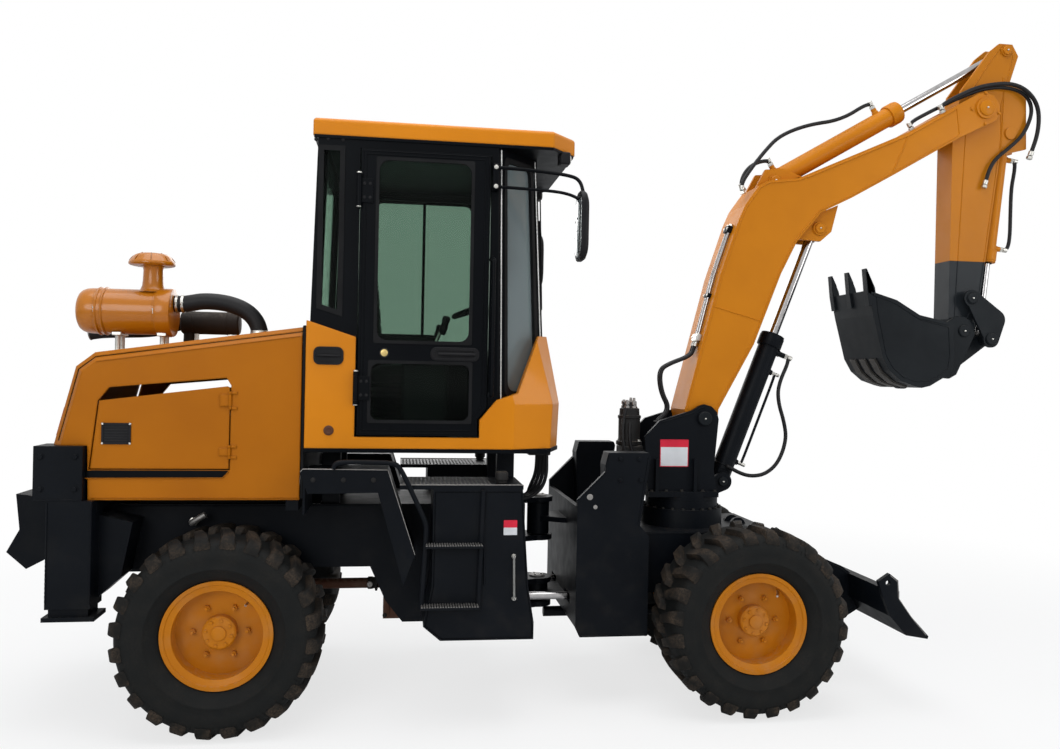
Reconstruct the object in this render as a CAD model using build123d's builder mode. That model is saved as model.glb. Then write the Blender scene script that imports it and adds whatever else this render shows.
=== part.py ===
"""Wheeled excavator with a hinged chassis: digging arm on the front frame, cab and engine on the rear frame.

Millimetres. +X points forward, +Y to the machine's left, +Z up, and the wheels stand on z = 0.
Lengths along the machine are given ahead of the rear axle, heights above the ground.
"""

from build123d import *
from math import atan2, cos, hypot, pi, radians, sin, tan
import os

# ---------------------------------------------------------------- driving dimensions
REAR_AXLE_X = -1818.0  # rear axle in the part's frame, so that the whole length is centred
WHEELBASE = 2632.0
HALF_TRACK = 546.0
PIN_FIT = 0.5  # radial play of a pin in its eye
SIDES = (1, -1)  # left, right

# wheels: rim radii and offsets outboard of the wheel's middle plane
TYRE_RADIUS = 482.5
TYRE_WIDTH = 390.0
TREAD_DEPTH = 30.0
LUG_COUNT = 24
LUG_SHARE = 0.56  # of the pitch
RIM_RADIUS = 226.0
FLANGE_RADIUS = 255.0
RIM_HALF_WIDTH = 145.0
FLANGE_THICK = 12.0
DISH_RADIUS = 206.0
DISC_OUT = 44.0
DISC_THICK = 16.0
HUB_RADIUS = 78.0
HUB_OUT = 97.0
SPINDLE_RADIUS = 45.0
STUD_COUNT = 6
STUD_CIRCLE = 125.0
STUD_RADIUS = 14.0
STUD_HEIGHT = 22.0

# axles
AXLE_TUBE = 62.0
CARRIER_RADIUS = 105.0
PAD_HALF = 90.0
PAD_IN = 230.0
PAD_OUT = 320.0

# rear frame
RAIL_OUT = 320.0
RAIL_THICK = 28.0
RAIL_TOP = 1040.0
RAIL_LOW = 718.0
FRAME_REAR = -640.0
FRAME_FRONT = WHEELBASE - 1152.0
BELLY = 430.0
DECK_Z = 1094.0

# chassis hinge
PIVOT_X = WHEELBASE - 1032.0
FORK_THICK = 28.0
FORK_GAP = 4.0
FORK_TIP = 80.0
HINGE_PIN = 35.0
HINGES = (  # low plate's bottom, high plate's top
    (430.0, 588.0),
    (800.0, 1040.0),
)

# front frame
NOSE_OUT = 450.0
TYRE_CLEAR = 29.5
FRONT_REAR = WHEELBASE - 897.0
WIDE_FRONT = WHEELBASE - TYRE_RADIUS - TYRE_CLEAR
FRONT_END = WHEELBASE + 308.0
SHELF = 885.0
FRONT_LOW = 366.0
NARROW_LOW = 560.0
TOWER_TOP = 1322.0
TOWER_IN = 330.0
PLATE = 25.0

# slew ring and turret
SLEW_X = WHEELBASE - 196.0
RING_RADIUS = 205.0
RING_LOW = 985.0
RING_SPLIT = 1033.0
RING_TOP = 1085.0
RING_GAP = 0.5
TURRET_IN = 140.0
TURRET_OUT = 165.0

# arm pins (ahead of rear axle, above ground)
BOOM_FOOT = (WHEELBASE - 122.0, 1493.0)
BOOM_RAM_BASE = (WHEELBASE + 23.0, 1130.0)
BOOM_RAM_EYE = (WHEELBASE + 580.0, 2604.0)
STICK_PIN = (WHEELBASE + 1590.0, 3353.0)
STICK_RAM_BASE = (WHEELBASE + 302.0, 2868.0)
STICK_RAM_EYE = (WHEELBASE + 1756.0, 3726.0)
BUCKET_PIN = (WHEELBASE + 1493.0, 2030.0)
ROCKER_PIN = (WHEELBASE + 1527.0, 2224.0)
CRANK_PIN = (WHEELBASE + 1655.0, 1985.0)
LINK_PIN = (WHEELBASE + 1403.0, 1800.0)
BUCKET_RAM_BASE = (WHEELBASE + 1793.0, 3230.0)

# arm sections
BOOM_HALF = 130.0
BOOM_NOSE = 92.0
ARM_PIN = 35.0
STICK_HALF = 75.0
ROCKER_IN = 112.0
ROCKER_OUT = 130.0
BUCKET_HALF = 225.0

# cab
CAB_REAR = 365.0
CAB_REAR_TOP = 403.0
CAB_CORNER = 1300.0
CAB_FRONT = 1583.0
CAB_FRONT_TOP = 1505.0
CAB_HALF = 560.0
CAB_FRONT_HALF = 330.0
CAB_FLOOR = 1343.0
CAB_TOP = 2860.0
CAB_WALL = 40.0
PANEL = 20.0
ROOF_TOP = 2947.0
ROOF_EYE_X = 440.0
ROOF_EYE = 11.0  # bore of the lifting eye
MIRROR_Y = CAB_HALF + 130.0

# bonnet
BONNET_HALF = 560.0
BONNET_WALL = 20.0
BONNET_CREST = 45.0

# air cleaner
CLEANER_Y = -300.0
CLEANER_Z = 1994.0

# rams
RAM_PIN = 22.0
STEER_Z = 525.0
STEER_BASE = (PIVOT_X - 550.0, 190.0)  # forward, sideways
STEER_EYE = (PIVOT_X + 190.0, 210.0)
STEER_BARREL = 330.0

# blade
BLADE_PIVOT = (WHEELBASE + 228.0, 440.0)
BLADE_PIN = 28.0
BLADE_RAM_BASE = (WHEELBASE + 128.0, 800.0)
BLADE_RAM_EYE = (WHEELBASE + 568.0, 560.0)
BLADE_HALF = 700.0

TANK_OUT = 680.0

# outriggers
POST_REAR = -782.0
POST_FRONT = -582.0
HEAD_REAR = -842.0
HEAD_FRONT = -628.0
POST_IN = 440.0
POST_OUT = 600.0
POST_LOW = 595.0
POST_HEAD = 1094.0
POST_TOP = 1348.0
POST_WALL = 12.0
LEG_GAP = 0.5
FOOT_Z = 540.0

# cab door
DOOR_REAR = 611.0
DOOR_FRONT = 1240.0
DOOR_LOW = 1410.0
DOOR_TOP = 2800.0
DOOR_IN = CAB_HALF + 2.0
DOOR_OUT = CAB_HALF + 25.0
DOOR_HINGE = (603.0, CAB_HALF + 40.0)  # forward, outward
DOOR_KNUCKLES = ((2537.0, 2654.0), (1580.0, 1697.0))
KNUCKLE = 12.0
KNUCKLE_END = 25.0

# bonnet doors
COVER_HINGE = (17.0, BONNET_HALF + 8.0)
COVER_KNUCKLES = ((1540.0, 1598.0), (1305.0, 1341.0))
COVER_KNUCKLE = 7.0
COVER_END = 14.0

# hoses and rails
HOSE = 11.0
TUBE_SIDES = 8
HOSE_FIT = 0.2  # between a hose and what it ends on
PIPE = 8.0
RAIL = 12.0
PORT = 15.0

# driveline
GEARBOX_X = (748.0, 891.0)
SHAFT_RADIUS = 28.0
REAR_SHAFT_Z = 560.0
FRONT_SHAFT_Z = 385.0
NOSE_REACH = 170.0


# ---------------------------------------------------------------- planes and simple solids
def side(y):
    """Plane seen from the right: local x forward of the rear axle, local y up, normal -Y."""
    return Plane(origin=(REAR_AXLE_X, y, 0), x_dir=(1, 0, 0), z_dir=(0, -1, 0))


def plan(z):
    """Plane seen from above: local x forward of the rear axle, local y to the left."""
    return Plane(origin=(REAR_AXLE_X, 0, z), x_dir=(1, 0, 0), z_dir=(0, 0, 1))


def across(x):
    """Plane seen from the front: local x to the left, local y up, normal +X."""
    return Plane(origin=(REAR_AXLE_X + x, 0, 0), x_dir=(0, 1, 0), z_dir=(1, 0, 0))


def plate(points, y_a, y_b, mode=Mode.ADD):
    """Flat plate with a side outline, between two values of Y."""
    low, high = sorted((y_a, y_b))
    with BuildSketch(side(high)) as profile:
        with BuildLine():
            Polyline(*points, close=True)
        make_face()
    extrude(profile.sketch, amount=high - low, mode=mode)


def disc(centre, radius, y_a, y_b, mode=Mode.ADD):
    """Cylinder across the machine, centred on a side-view point."""
    low, high = sorted((y_a, y_b))
    with BuildSketch(side(high)) as profile:
        with Locations(centre):
            Circle(radius)
    extrude(profile.sketch, amount=high - low, mode=mode)


def sheet(points, z_a, z_b, mode=Mode.ADD):
    """Flat plate with a plan outline, between two heights."""
    with BuildSketch(plan(z_a)) as profile:
        with BuildLine():
            Polyline(*points, close=True)
        make_face()
    extrude(profile.sketch, amount=z_b - z_a, mode=mode)


def post(centre, radius, z_a, z_b, mode=Mode.ADD):
    """Upright cylinder."""
    with BuildSketch(plan(z_a)) as profile:
        with Locations(centre):
            Circle(radius)
    extrude(profile.sketch, amount=z_b - z_a, mode=mode)


def block(x, y, z, mode=Mode.ADD):
    """Upright box from its three ranges."""
    low, high = sorted(y)
    with BuildSketch(plan(z[0])) as profile:
        with Locations(((x[0] + x[1]) / 2, (low + high) / 2)):
            Rectangle(x[1] - x[0], high - low)
    extrude(profile.sketch, amount=z[1] - z[0], mode=mode)


def hull(a, radius_a, b, radius_b, y_a, y_b, mode=Mode.ADD):
    """Bar with round ends about two side-view points."""
    low, high = sorted((y_a, y_b))
    angle = atan2(b[1] - a[1], b[0] - a[0])
    spread = hypot(b[0] - a[0], b[1] - a[1])
    lean = radians(90) - atan2(radius_b - radius_a, spread) * -1
    corners = []
    for centre, radius, turn in ((a, radius_a, lean), (b, radius_b, lean), (b, radius_b, -lean), (a, radius_a, -lean)):
        corners.append((centre[0] + radius * cos(angle + turn), centre[1] + radius * sin(angle + turn)))
    with BuildSketch(side(high)) as profile:
        with BuildLine():
            Polyline(*corners, close=True)
        make_face()
        with Locations(a):
            Circle(radius_a)
        with Locations(b):
            Circle(radius_b)
    extrude(profile.sketch, amount=high - low, mode=mode)


def ahead(*points):
    """Side-view points given ahead of the front axle."""
    return [(WHEELBASE + x, z) for x, z in points]


def tube(points, radius, datum=0.0):
    """Round tube along a route of points (ahead of a datum, left, up), its corners rounded."""
    knots = [Vector(REAR_AXLE_X + datum + x, y, z) for x, y, z in points]
    bends = []
    for before, corner, after in zip(knots, knots[1:], knots[2:]):
        turn = radians((corner - before).get_angle(after - corner))
        shorter = min((corner - before).length, (after - corner).length)
        bends.append(0.45 * shorter / tan(turn / 2))
    with BuildLine() as route:
        if bends:
            FilletPolyline(*knots, radius=bends)
        else:
            Line(*knots)
    with BuildSketch(Plane(origin=knots[0], z_dir=knots[1] - knots[0])) as profile:
        RegularPolygon(radius, TUBE_SIDES)
    sweep(profile.sketch, path=route.wires()[0])


def finish(builder, name):
    """Labels a finished piece and writes it."""
    builder.part.label = name
    export_step(builder.part, "parts/" + name + ".step")


# ---------------------------------------------------------------- wheels
def wheel_plane(x, hand):
    """Half-section plane of a wheel: local x radial, local y outboard."""
    origin = (REAR_AXLE_X + x, hand * HALF_TRACK, TYRE_RADIUS)
    return Plane(origin=origin, x_dir=(0, 0, 1), z_dir=(-hand, 0, 0))


def wheel_axis(x, hand):
    """Turning axis of a wheel."""
    return Axis((REAR_AXLE_X + x, hand * HALF_TRACK, TYRE_RADIUS), (0, hand, 0))


def make_tyre(name, x, hand):
    """Tyre: bead, bulged side wall, shoulder, crown and two staggered rows of lugs."""
    bead = RIM_HALF_WIDTH - FLANGE_THICK - 0.3
    bulge = TYRE_WIDTH / 2
    crown = bulge - 25
    floor = TYRE_RADIUS - TREAD_DEPTH
    section = (
        (RIM_RADIUS + 0.3, bead),
        (FLANGE_RADIUS + 3, bead),
        (FLANGE_RADIUS + 50, bulge - 9),
        (floor - 50, bulge - 1),
        (floor - 16, crown),
    )
    pitch = 2 * pi / LUG_COUNT
    with BuildPart() as tyre:
        with BuildSketch(wheel_plane(x, hand)):
            with BuildLine():
                Polyline(*section, *[(r, -y) for r, y in reversed(section)], close=True)
            make_face()
        revolve(axis=wheel_axis(x, hand))
        for row, end in enumerate(SIDES):
            outline = []
            for lug in range(LUG_COUNT):
                start = (lug + row / 2) * pitch
                for share, radius in ((0, floor), (0.06, TYRE_RADIUS), (LUG_SHARE, TYRE_RADIUS), (LUG_SHARE + 0.06, floor)):
                    turn = start + share * pitch
                    outline.append((radius * cos(turn), radius * sin(turn)))
            origin = (REAR_AXLE_X + x, hand * HALF_TRACK, TYRE_RADIUS)
            with BuildSketch(Plane(origin=origin, x_dir=(1, 0, 0), z_dir=(0, end, 0))) as ring:
                with BuildLine():
                    Polyline(*outline, close=True)
                make_face()
                Circle(floor - 35, mode=Mode.SUBTRACT)
            extrude(ring.sketch, amount=crown)
    finish(tyre, name)


def make_rim(name, x, hand):
    """Rim: flanged barrel, deep disc with studs, and hub with its cap."""
    disc_in = DISC_OUT - DISC_THICK
    inner = RIM_HALF_WIDTH - FLANGE_THICK
    with BuildPart() as rim:
        with BuildSketch(wheel_plane(x, hand)):
            with BuildLine():
                Polyline(
                    (0, HUB_OUT),
                    (HUB_RADIUS - 8, HUB_OUT),
                    (HUB_RADIUS, HUB_OUT - 8),
                    (HUB_RADIUS, DISC_OUT),
                    (DISH_RADIUS, DISC_OUT),
                    (DISH_RADIUS, inner - 4),
                    (FLANGE_RADIUS - 22, RIM_HALF_WIDTH - 6),
                    (FLANGE_RADIUS - 18, RIM_HALF_WIDTH),
                    (FLANGE_RADIUS, RIM_HALF_WIDTH),
                    (FLANGE_RADIUS, inner),
                    (RIM_RADIUS, inner),
                    (RIM_RADIUS, -inner),
                    (FLANGE_RADIUS, -inner),
                    (FLANGE_RADIUS, -RIM_HALF_WIDTH),
                    (DISH_RADIUS, -RIM_HALF_WIDTH),
                    (DISH_RADIUS, disc_in),
                    (SPINDLE_RADIUS + PIN_FIT + 30, disc_in),
                    (SPINDLE_RADIUS + PIN_FIT + 30, 10),
                    (SPINDLE_RADIUS + PIN_FIT, 10),
                    (SPINDLE_RADIUS + PIN_FIT, HUB_OUT - 36),
                    (0, HUB_OUT - 36),
                    close=True,
                )
            make_face()
        revolve(axis=wheel_axis(x, hand))
        face = Plane(
            origin=(REAR_AXLE_X + x, hand * (HALF_TRACK + DISC_OUT), TYRE_RADIUS), x_dir=(1, 0, 0), z_dir=(0, hand, 0)
        )
        with BuildSketch(face):
            with PolarLocations(STUD_CIRCLE, STUD_COUNT):
                RegularPolygon(STUD_RADIUS, 6)
        extrude(amount=STUD_HEIGHT)
    finish(rim, name)


# ---------------------------------------------------------------- axles
def make_axle(name, x, nose, nose_z, reach):
    """Rigid axle: tube, swollen middle with its nose and shaft, reduction carriers, spindles and frame seats."""
    outer = HALF_TRACK + 5
    centre = (x, TYRE_RADIUS)
    with BuildPart() as axle:
        disc(centre, AXLE_TUBE, -outer, outer)
        with BuildSketch(side(0)):
            with BuildLine():
                Polyline(
                    (x - 150, TYRE_RADIUS + 20),
                    (x - 110, TYRE_RADIUS + 110),
                    (x, TYRE_RADIUS + 150),
                    (x + 110, TYRE_RADIUS + 110),
                    (x + 150, TYRE_RADIUS + 20),
                    (x + 150, TYRE_RADIUS - 20),
                    (x + 110, TYRE_RADIUS - 110),
                    (x, TYRE_RADIUS - 150),
                    (x - 110, TYRE_RADIUS - 110),
                    (x - 150, TYRE_RADIUS - 20),
                    close=True,
                )
            make_face()
        extrude(amount=75, both=True, taper=12)
        with BuildSketch(across(x)) as flange:
            with Locations((0, nose_z)):
                Circle(SHAFT_RADIUS + 17)
        extrude(flange.sketch, amount=nose)
        if reach:
            with BuildSketch(across(x)) as shaft:
                with Locations((0, nose_z)):
                    Circle(SHAFT_RADIUS)
            extrude(shaft.sketch, amount=reach)
        for hand in SIDES:
            disc(centre, CARRIER_RADIUS, hand * (HALF_TRACK - 150), hand * outer)
            disc(centre, SPINDLE_RADIUS, hand * outer, hand * (HALF_TRACK + HUB_OUT - 37))
            block(
                (x - PAD_HALF, x + PAD_HALF),
                (hand * PAD_IN, hand * PAD_OUT),
                (TYRE_RADIUS - 40, TYRE_RADIUS + AXLE_TUBE),
            )
    finish(axle, name)


# ---------------------------------------------------------------- frames
def frame_pads(x, low_edge):
    """Seats that bring a frame's side plates down onto an axle."""
    for hand in SIDES:
        block(
            (x - PAD_HALF, x + PAD_HALF),
            (hand * PAD_IN, hand * PAD_OUT),
            (TYRE_RADIUS + AXLE_TUBE, low_edge),
        )


def make_rear_frame():
    """Rear frame: two deep side plates, cross members, hinge forks, outrigger sleeves and cab feet."""
    rail = (
        (FRAME_REAR, RAIL_TOP),
        (FRAME_FRONT, RAIL_TOP),
        (FRAME_FRONT, BELLY),
        (850, BELLY),
        (760, 544),
        (681, RAIL_LOW),
        (FRAME_REAR, RAIL_LOW),
    )
    inner = RAIL_OUT - RAIL_THICK
    with BuildPart() as frame:
        for hand in SIDES:
            plate(rail, hand * inner, hand * RAIL_OUT)
        # cross members: rear, before and behind the axle, and the plate that carries the hinge
        block((FRAME_REAR, FRAME_REAR + RAIL_THICK), (-inner, inner), (RAIL_LOW, RAIL_TOP))
        block((-300, -240), (-inner, inner), (RAIL_LOW, RAIL_LOW + 90))
        block((300, 360), (-inner, inner), (RAIL_LOW, RAIL_LOW + 90))
        block((FRAME_FRONT - RAIL_THICK, FRAME_FRONT), (-inner, inner), (BELLY, RAIL_TOP))
        block((420, FRAME_FRONT - RAIL_THICK), (-inner, inner), (RAIL_TOP - 20, RAIL_TOP))
        # openings for the steering rams
        for hand in SIDES:
            block(
                (FRAME_FRONT - RAIL_THICK - 1, FRAME_FRONT + 1),
                (hand * 100, hand * inner),
                (STEER_Z - 32, STEER_Z + 32),
                Mode.SUBTRACT,
            )
        frame_pads(0, RAIL_LOW)
        # forks of the chassis hinge with their pins
        for low, high in HINGES:
            for z in (low, high - FORK_THICK):
                sheet(
                    ((FRAME_FRONT, 120), (PIVOT_X, FORK_TIP - 6), (PIVOT_X, 6 - FORK_TIP), (FRAME_FRONT, -120)),
                    z,
                    z + FORK_THICK,
                )
                post((PIVOT_X, 0), FORK_TIP, z, z + FORK_THICK)
            post((PIVOT_X, 0), HINGE_PIN, low, high)
        # brackets and pins at the steering rams' bases
        for hand in SIDES:
            for z in (STEER_Z - 46, STEER_Z + 26):
                block((STEER_BASE[0] - 50, STEER_BASE[0] + 30), (hand * 140, hand * inner), (z, z + 20))
            post((STEER_BASE[0], hand * STEER_BASE[1]), RAM_PIN, STEER_Z - 46, STEER_Z + 46)
        # beams under the bonnet and the outrigger sleeves behind
        for x in (FRAME_REAR, 280):
            block((x, x + 60), (20 - BONNET_HALF, BONNET_HALF - 20), (RAIL_TOP, DECK_Z))
        block((POST_REAR, FRAME_REAR + 12), (-POST_IN, POST_IN), (800, RAIL_TOP))
        for hand in SIDES:
            block((POST_REAR, POST_FRONT), (hand * POST_IN, hand * POST_OUT), (POST_LOW, POST_HEAD))
            block((HEAD_REAR, HEAD_FRONT), (hand * POST_IN, hand * POST_OUT), (POST_HEAD, POST_TOP))
            bore = (hand * (POST_IN + POST_WALL), hand * (POST_OUT - POST_WALL))
            column = (POST_REAR + POST_WALL, POST_FRONT - POST_WALL)
            block(column, bore, (POST_LOW - 1, POST_HEAD - POST_WALL), Mode.SUBTRACT)
            head = (HEAD_REAR + POST_WALL, HEAD_FRONT - POST_WALL)
            block(head, bore, (POST_HEAD - POST_WALL - 1, POST_TOP - POST_WALL), Mode.SUBTRACT)
            plate(
                ((POST_FRONT, RAIL_TOP - 25), (-430, RAIL_TOP - 60), (-480, RAIL_LOW), (POST_FRONT, POST_LOW + 30)),
                hand * RAIL_OUT,
                hand * POST_OUT - hand * 100,
            )
        # feet that carry the cab
        for x in (430, FRAME_FRONT - 150):
            for hand in SIDES:
                block((x, x + 90), (hand * 230, hand * inner), (RAIL_TOP, CAB_FLOOR - 22))

    finish(frame, "rear_frame")


def make_front_frame():
    """Front frame: hinge lugs, wide box with two towers, narrow nose and the fixed half of the slew ring."""
    tower = (
        (FRONT_REAR, 417),
        (FRONT_REAR + 25, FRONT_LOW),
        (WIDE_FRONT, FRONT_LOW),
        (WIDE_FRONT, SHELF),
        (WIDE_FRONT - 50, 942),
        (WIDE_FRONT + 2, 1300),
        (WIDE_FRONT - 8, TOWER_TOP),
        (FRONT_REAR + 160, TOWER_TOP),
        (FRONT_REAR + 144, 1258),
        (FRONT_REAR + 147, 1224),
        (FRONT_REAR, 1078),
    )
    column = (
        (FRONT_REAR + 160, SHELF),
        (WIDE_FRONT - 60, SHELF),
        (WIDE_FRONT - 50, 942),
        (WIDE_FRONT + 2, 1300),
        (WIDE_FRONT - 8, TOWER_TOP),
        (FRONT_REAR + 160, TOWER_TOP),
        (FRONT_REAR + 144, 1258),
    )
    nose = (
        (WIDE_FRONT, SHELF),
        (FRONT_END - 60, SHELF),
        (FRONT_END, SHELF - 80),
        (FRONT_END, 380),
        (FRONT_END - 150, 380),
        (FRONT_END - 180, NARROW_LOW),
        (WIDE_FRONT, NARROW_LOW),
    )
    with BuildPart() as frame:
        for hand in SIDES:
            plate(tower, hand * (NOSE_OUT - PLATE), hand * NOSE_OUT)
            plate(column, hand * TOWER_IN, hand * (NOSE_OUT - PLATE))
            plate(nose, hand * (RAIL_OUT - PLATE), hand * RAIL_OUT)
        block((FRONT_REAR, FRONT_REAR + PLATE), (-NOSE_OUT + PLATE, NOSE_OUT - PLATE), (417, RAIL_TOP))
        block((WIDE_FRONT - PLATE, WIDE_FRONT), (-NOSE_OUT + PLATE, NOSE_OUT - PLATE), (FRONT_LOW, SHELF))
        block((FRONT_REAR + PLATE, WIDE_FRONT), (-NOSE_OUT + PLATE, NOSE_OUT - PLATE), (SHELF - 20, SHELF))
        block((WIDE_FRONT, FRONT_END - 60), (-RAIL_OUT + PLATE, RAIL_OUT - PLATE), (SHELF - 20, SHELF))
        block((WIDE_FRONT, WIDE_FRONT + 60), (-RAIL_OUT + PLATE, RAIL_OUT - PLATE), (NARROW_LOW, NARROW_LOW + 60))
        frame_pads(WHEELBASE, NARROW_LOW)
        for low, high in HINGES:
            lug_low = low + FORK_THICK + FORK_GAP
            lug_high = high - FORK_THICK - FORK_GAP
            middle = (low + high) / 2
            sheet(
                ((FRONT_REAR, 140), (PIVOT_X, 60), (PIVOT_X, -60), (FRONT_REAR, -140)),
                middle - FORK_THICK / 2,
                middle + FORK_THICK / 2,
            )
            post((PIVOT_X, 0), 62, lug_low, lug_high)
            post((PIVOT_X, 0), HINGE_PIN + PIN_FIT, lug_low, lug_high, Mode.SUBTRACT)
        # pedestal and fixed half of the slew ring
        post((SLEW_X, 0), RING_RADIUS + 25, SHELF, RING_LOW)
        post((SLEW_X, 0), RING_RADIUS, RING_LOW, RING_SPLIT - RING_GAP)
        # windows and ears for the steering rams
        for hand in SIDES:
            opening = (hand * (STEER_EYE[1] - 75), hand * (STEER_EYE[1] + 75))
            block(
                (FRONT_REAR - 1, FRONT_REAR + PLATE + 1),
                opening,
                (STEER_Z - 26, STEER_Z + 26),
                Mode.SUBTRACT,
            )
            for z in (STEER_Z - 46, STEER_Z + 26):
                block(
                    (FRONT_REAR + PLATE, STEER_EYE[0] + 50),
                    (hand * (STEER_EYE[1] - 40), hand * (STEER_EYE[1] + 40)),
                    (z, z + 20),
                )
        # hole for the drive shaft
        with BuildSketch(across(WIDE_FRONT - PLATE - 1)) as hole:
            with Locations((0, FRONT_SHAFT_Z)):
                Circle(SHAFT_RADIUS + 12)
        extrude(hole.sketch, amount=PLATE + 2, mode=Mode.SUBTRACT)
        # lugs of the blade ram
        for hand in SIDES:
            hull(BLADE_RAM_BASE, 45, (BLADE_RAM_BASE[0], SHELF - 10), 45, hand * 40, hand * 60)
            disc(BLADE_PIVOT, BLADE_PIN, hand * (RAIL_OUT - PLATE), hand * 230)
        disc(BLADE_RAM_BASE, RAM_PIN, -60, 60)
    finish(frame, "front_frame")


# ---------------------------------------------------------------- rams
def along(a, b, offset=0.0):
    """Plane across the line from one side-view point to another, some way along it."""
    length = hypot(b[0] - a[0], b[1] - a[1])
    dx, dz = (b[0] - a[0]) / length, (b[1] - a[1]) / length
    origin = (REAR_AXLE_X + a[0] + dx * offset, 0, a[1] + dz * offset)
    return Plane(origin=origin, x_dir=(0, 1, 0), z_dir=(dx, 0, dz))


def make_barrel(name, base, eye, radius, rod, length, half_eye, ports=(), turn=1):
    """Ram barrel: eye on its pin, tube, gland collar, hose ports on one side and a bore for the rod."""
    with BuildPart() as barrel:
        disc(base, radius * 0.73, -half_eye, half_eye)
        with BuildSketch(along(base, eye)):
            Circle(radius)
        extrude(amount=length)
        with BuildSketch(along(base, eye, length - 70)):
            Circle(radius * 1.14)
        extrude(amount=70)
        for offset, reach in ports:
            axis = along(base, eye, offset)
            outward = axis.x_dir.cross(axis.z_dir) * turn
            with BuildSketch(Plane(origin=axis.origin, x_dir=axis.x_dir, z_dir=outward)):
                Circle(PORT)
            extrude(amount=reach)
        with BuildSketch(along(base, eye, radius * 1.4)):
            Circle(rod + PIN_FIT)
        extrude(amount=length, mode=Mode.SUBTRACT)
        disc(base, RAM_PIN + PIN_FIT, -half_eye, half_eye, Mode.SUBTRACT)
        for hand in SIDES:
            disc(base, radius * 1.2, hand * half_eye, hand * (half_eye + radius), Mode.SUBTRACT)
    finish(barrel, name)


def make_rod(name, base, eye, rod, start, half_eye, eye_radius):
    """Ram rod: chromed bar with its eye and the eye's own bush."""
    length = hypot(eye[0] - base[0], eye[1] - base[1])
    with BuildPart() as bar:
        with BuildSketch(along(base, eye, start)):
            Circle(rod)
        extrude(amount=length - start)
        disc(eye, eye_radius, -half_eye, half_eye)
    finish(bar, name)


def make_steering(hand, word):
    """Steering ram lying level between the two frames."""
    base = (STEER_BASE[0], hand * STEER_BASE[1])
    eye = (STEER_EYE[0], hand * STEER_EYE[1])
    length = hypot(eye[0] - base[0], eye[1] - base[1])
    direction = ((eye[0] - base[0]) / length, (eye[1] - base[1]) / length, 0)

    def station(offset):
        origin = (REAR_AXLE_X + base[0] + direction[0] * offset, base[1] + direction[1] * offset, STEER_Z)
        return Plane(origin=origin, x_dir=(0, 0, 1), z_dir=direction)

    with BuildPart() as barrel:
        post(base, 40, STEER_Z - 25, STEER_Z + 25)
        with BuildSketch(station(36)):
            Circle(38)
        extrude(amount=STEER_BARREL - 36)
        with BuildSketch(station(70)):
            Circle(20 + PIN_FIT)
        extrude(amount=STEER_BARREL, mode=Mode.SUBTRACT)
        post(base, RAM_PIN + PIN_FIT, STEER_Z - 60, STEER_Z + 60, Mode.SUBTRACT)
    finish(barrel, word + "_steering_barrel")
    with BuildPart() as bar:
        with BuildSketch(station(210)):
            Circle(20)
        extrude(amount=length - 210)
        post(eye, 34, STEER_Z - 25.5, STEER_Z + 25.5)
    finish(bar, word + "_steering_rod")


# ---------------------------------------------------------------- digging arm
def make_turret():
    """Turret: turning half of the ring, two cheek plates, boom foot pin and ram pin."""
    cheek = ahead(
        (-442, RING_TOP),
        (-465, 1387),
        (-380, 1478),
        (-192, 1538),
        (-150, 1565),
        (-122, 1573),
        (-82, 1562),
        (-50, 1532),
        (-38, 1490),
        (-62, 1207),
        (-42, RING_TOP),
    )
    with BuildPart() as turret:
        post((SLEW_X, 0), RING_RADIUS, RING_SPLIT, RING_TOP)
        block((SLEW_X - 246, SLEW_X + 154), (-195, 195), (RING_TOP - 30, RING_TOP))
        for hand in SIDES:
            plate(cheek, hand * TURRET_IN, hand * TURRET_OUT)
            hull((SLEW_X + 124, RING_TOP), 45, BOOM_RAM_BASE, 52, hand * 62, hand * 85)
            disc(BOOM_FOOT, 42, hand * TURRET_OUT, hand * (TURRET_OUT + 10))
            for x in (SLEW_X - 211, SLEW_X + 9):
                block((x, x + 18), (hand * TURRET_OUT, hand * 195), (RING_TOP, 1266))
        disc(BOOM_FOOT, ARM_PIN, -TURRET_OUT, TURRET_OUT)
        disc(BOOM_RAM_BASE, RAM_PIN, -85, 85)
        block((SLEW_X - 246, SLEW_X - 221), (-TURRET_IN, TURRET_IN), (RING_TOP, 1300))
    finish(turret, "turret")
    with BuildPart() as motor:
        block((SLEW_X - 376, SLEW_X - 246), (-75, 75), (1120, 1330))
        post((SLEW_X - 316, 0), 62, 1330, 1540)
        post((SLEW_X - 316, 0), 40, 1540, 1575)
        for y in (-36, 36):
            post((SLEW_X - 340, y), 16, 1540, 1588)
            post((SLEW_X - 300, y), 16, 1540, 1600)
    finish(motor, "slew_motor")


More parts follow.
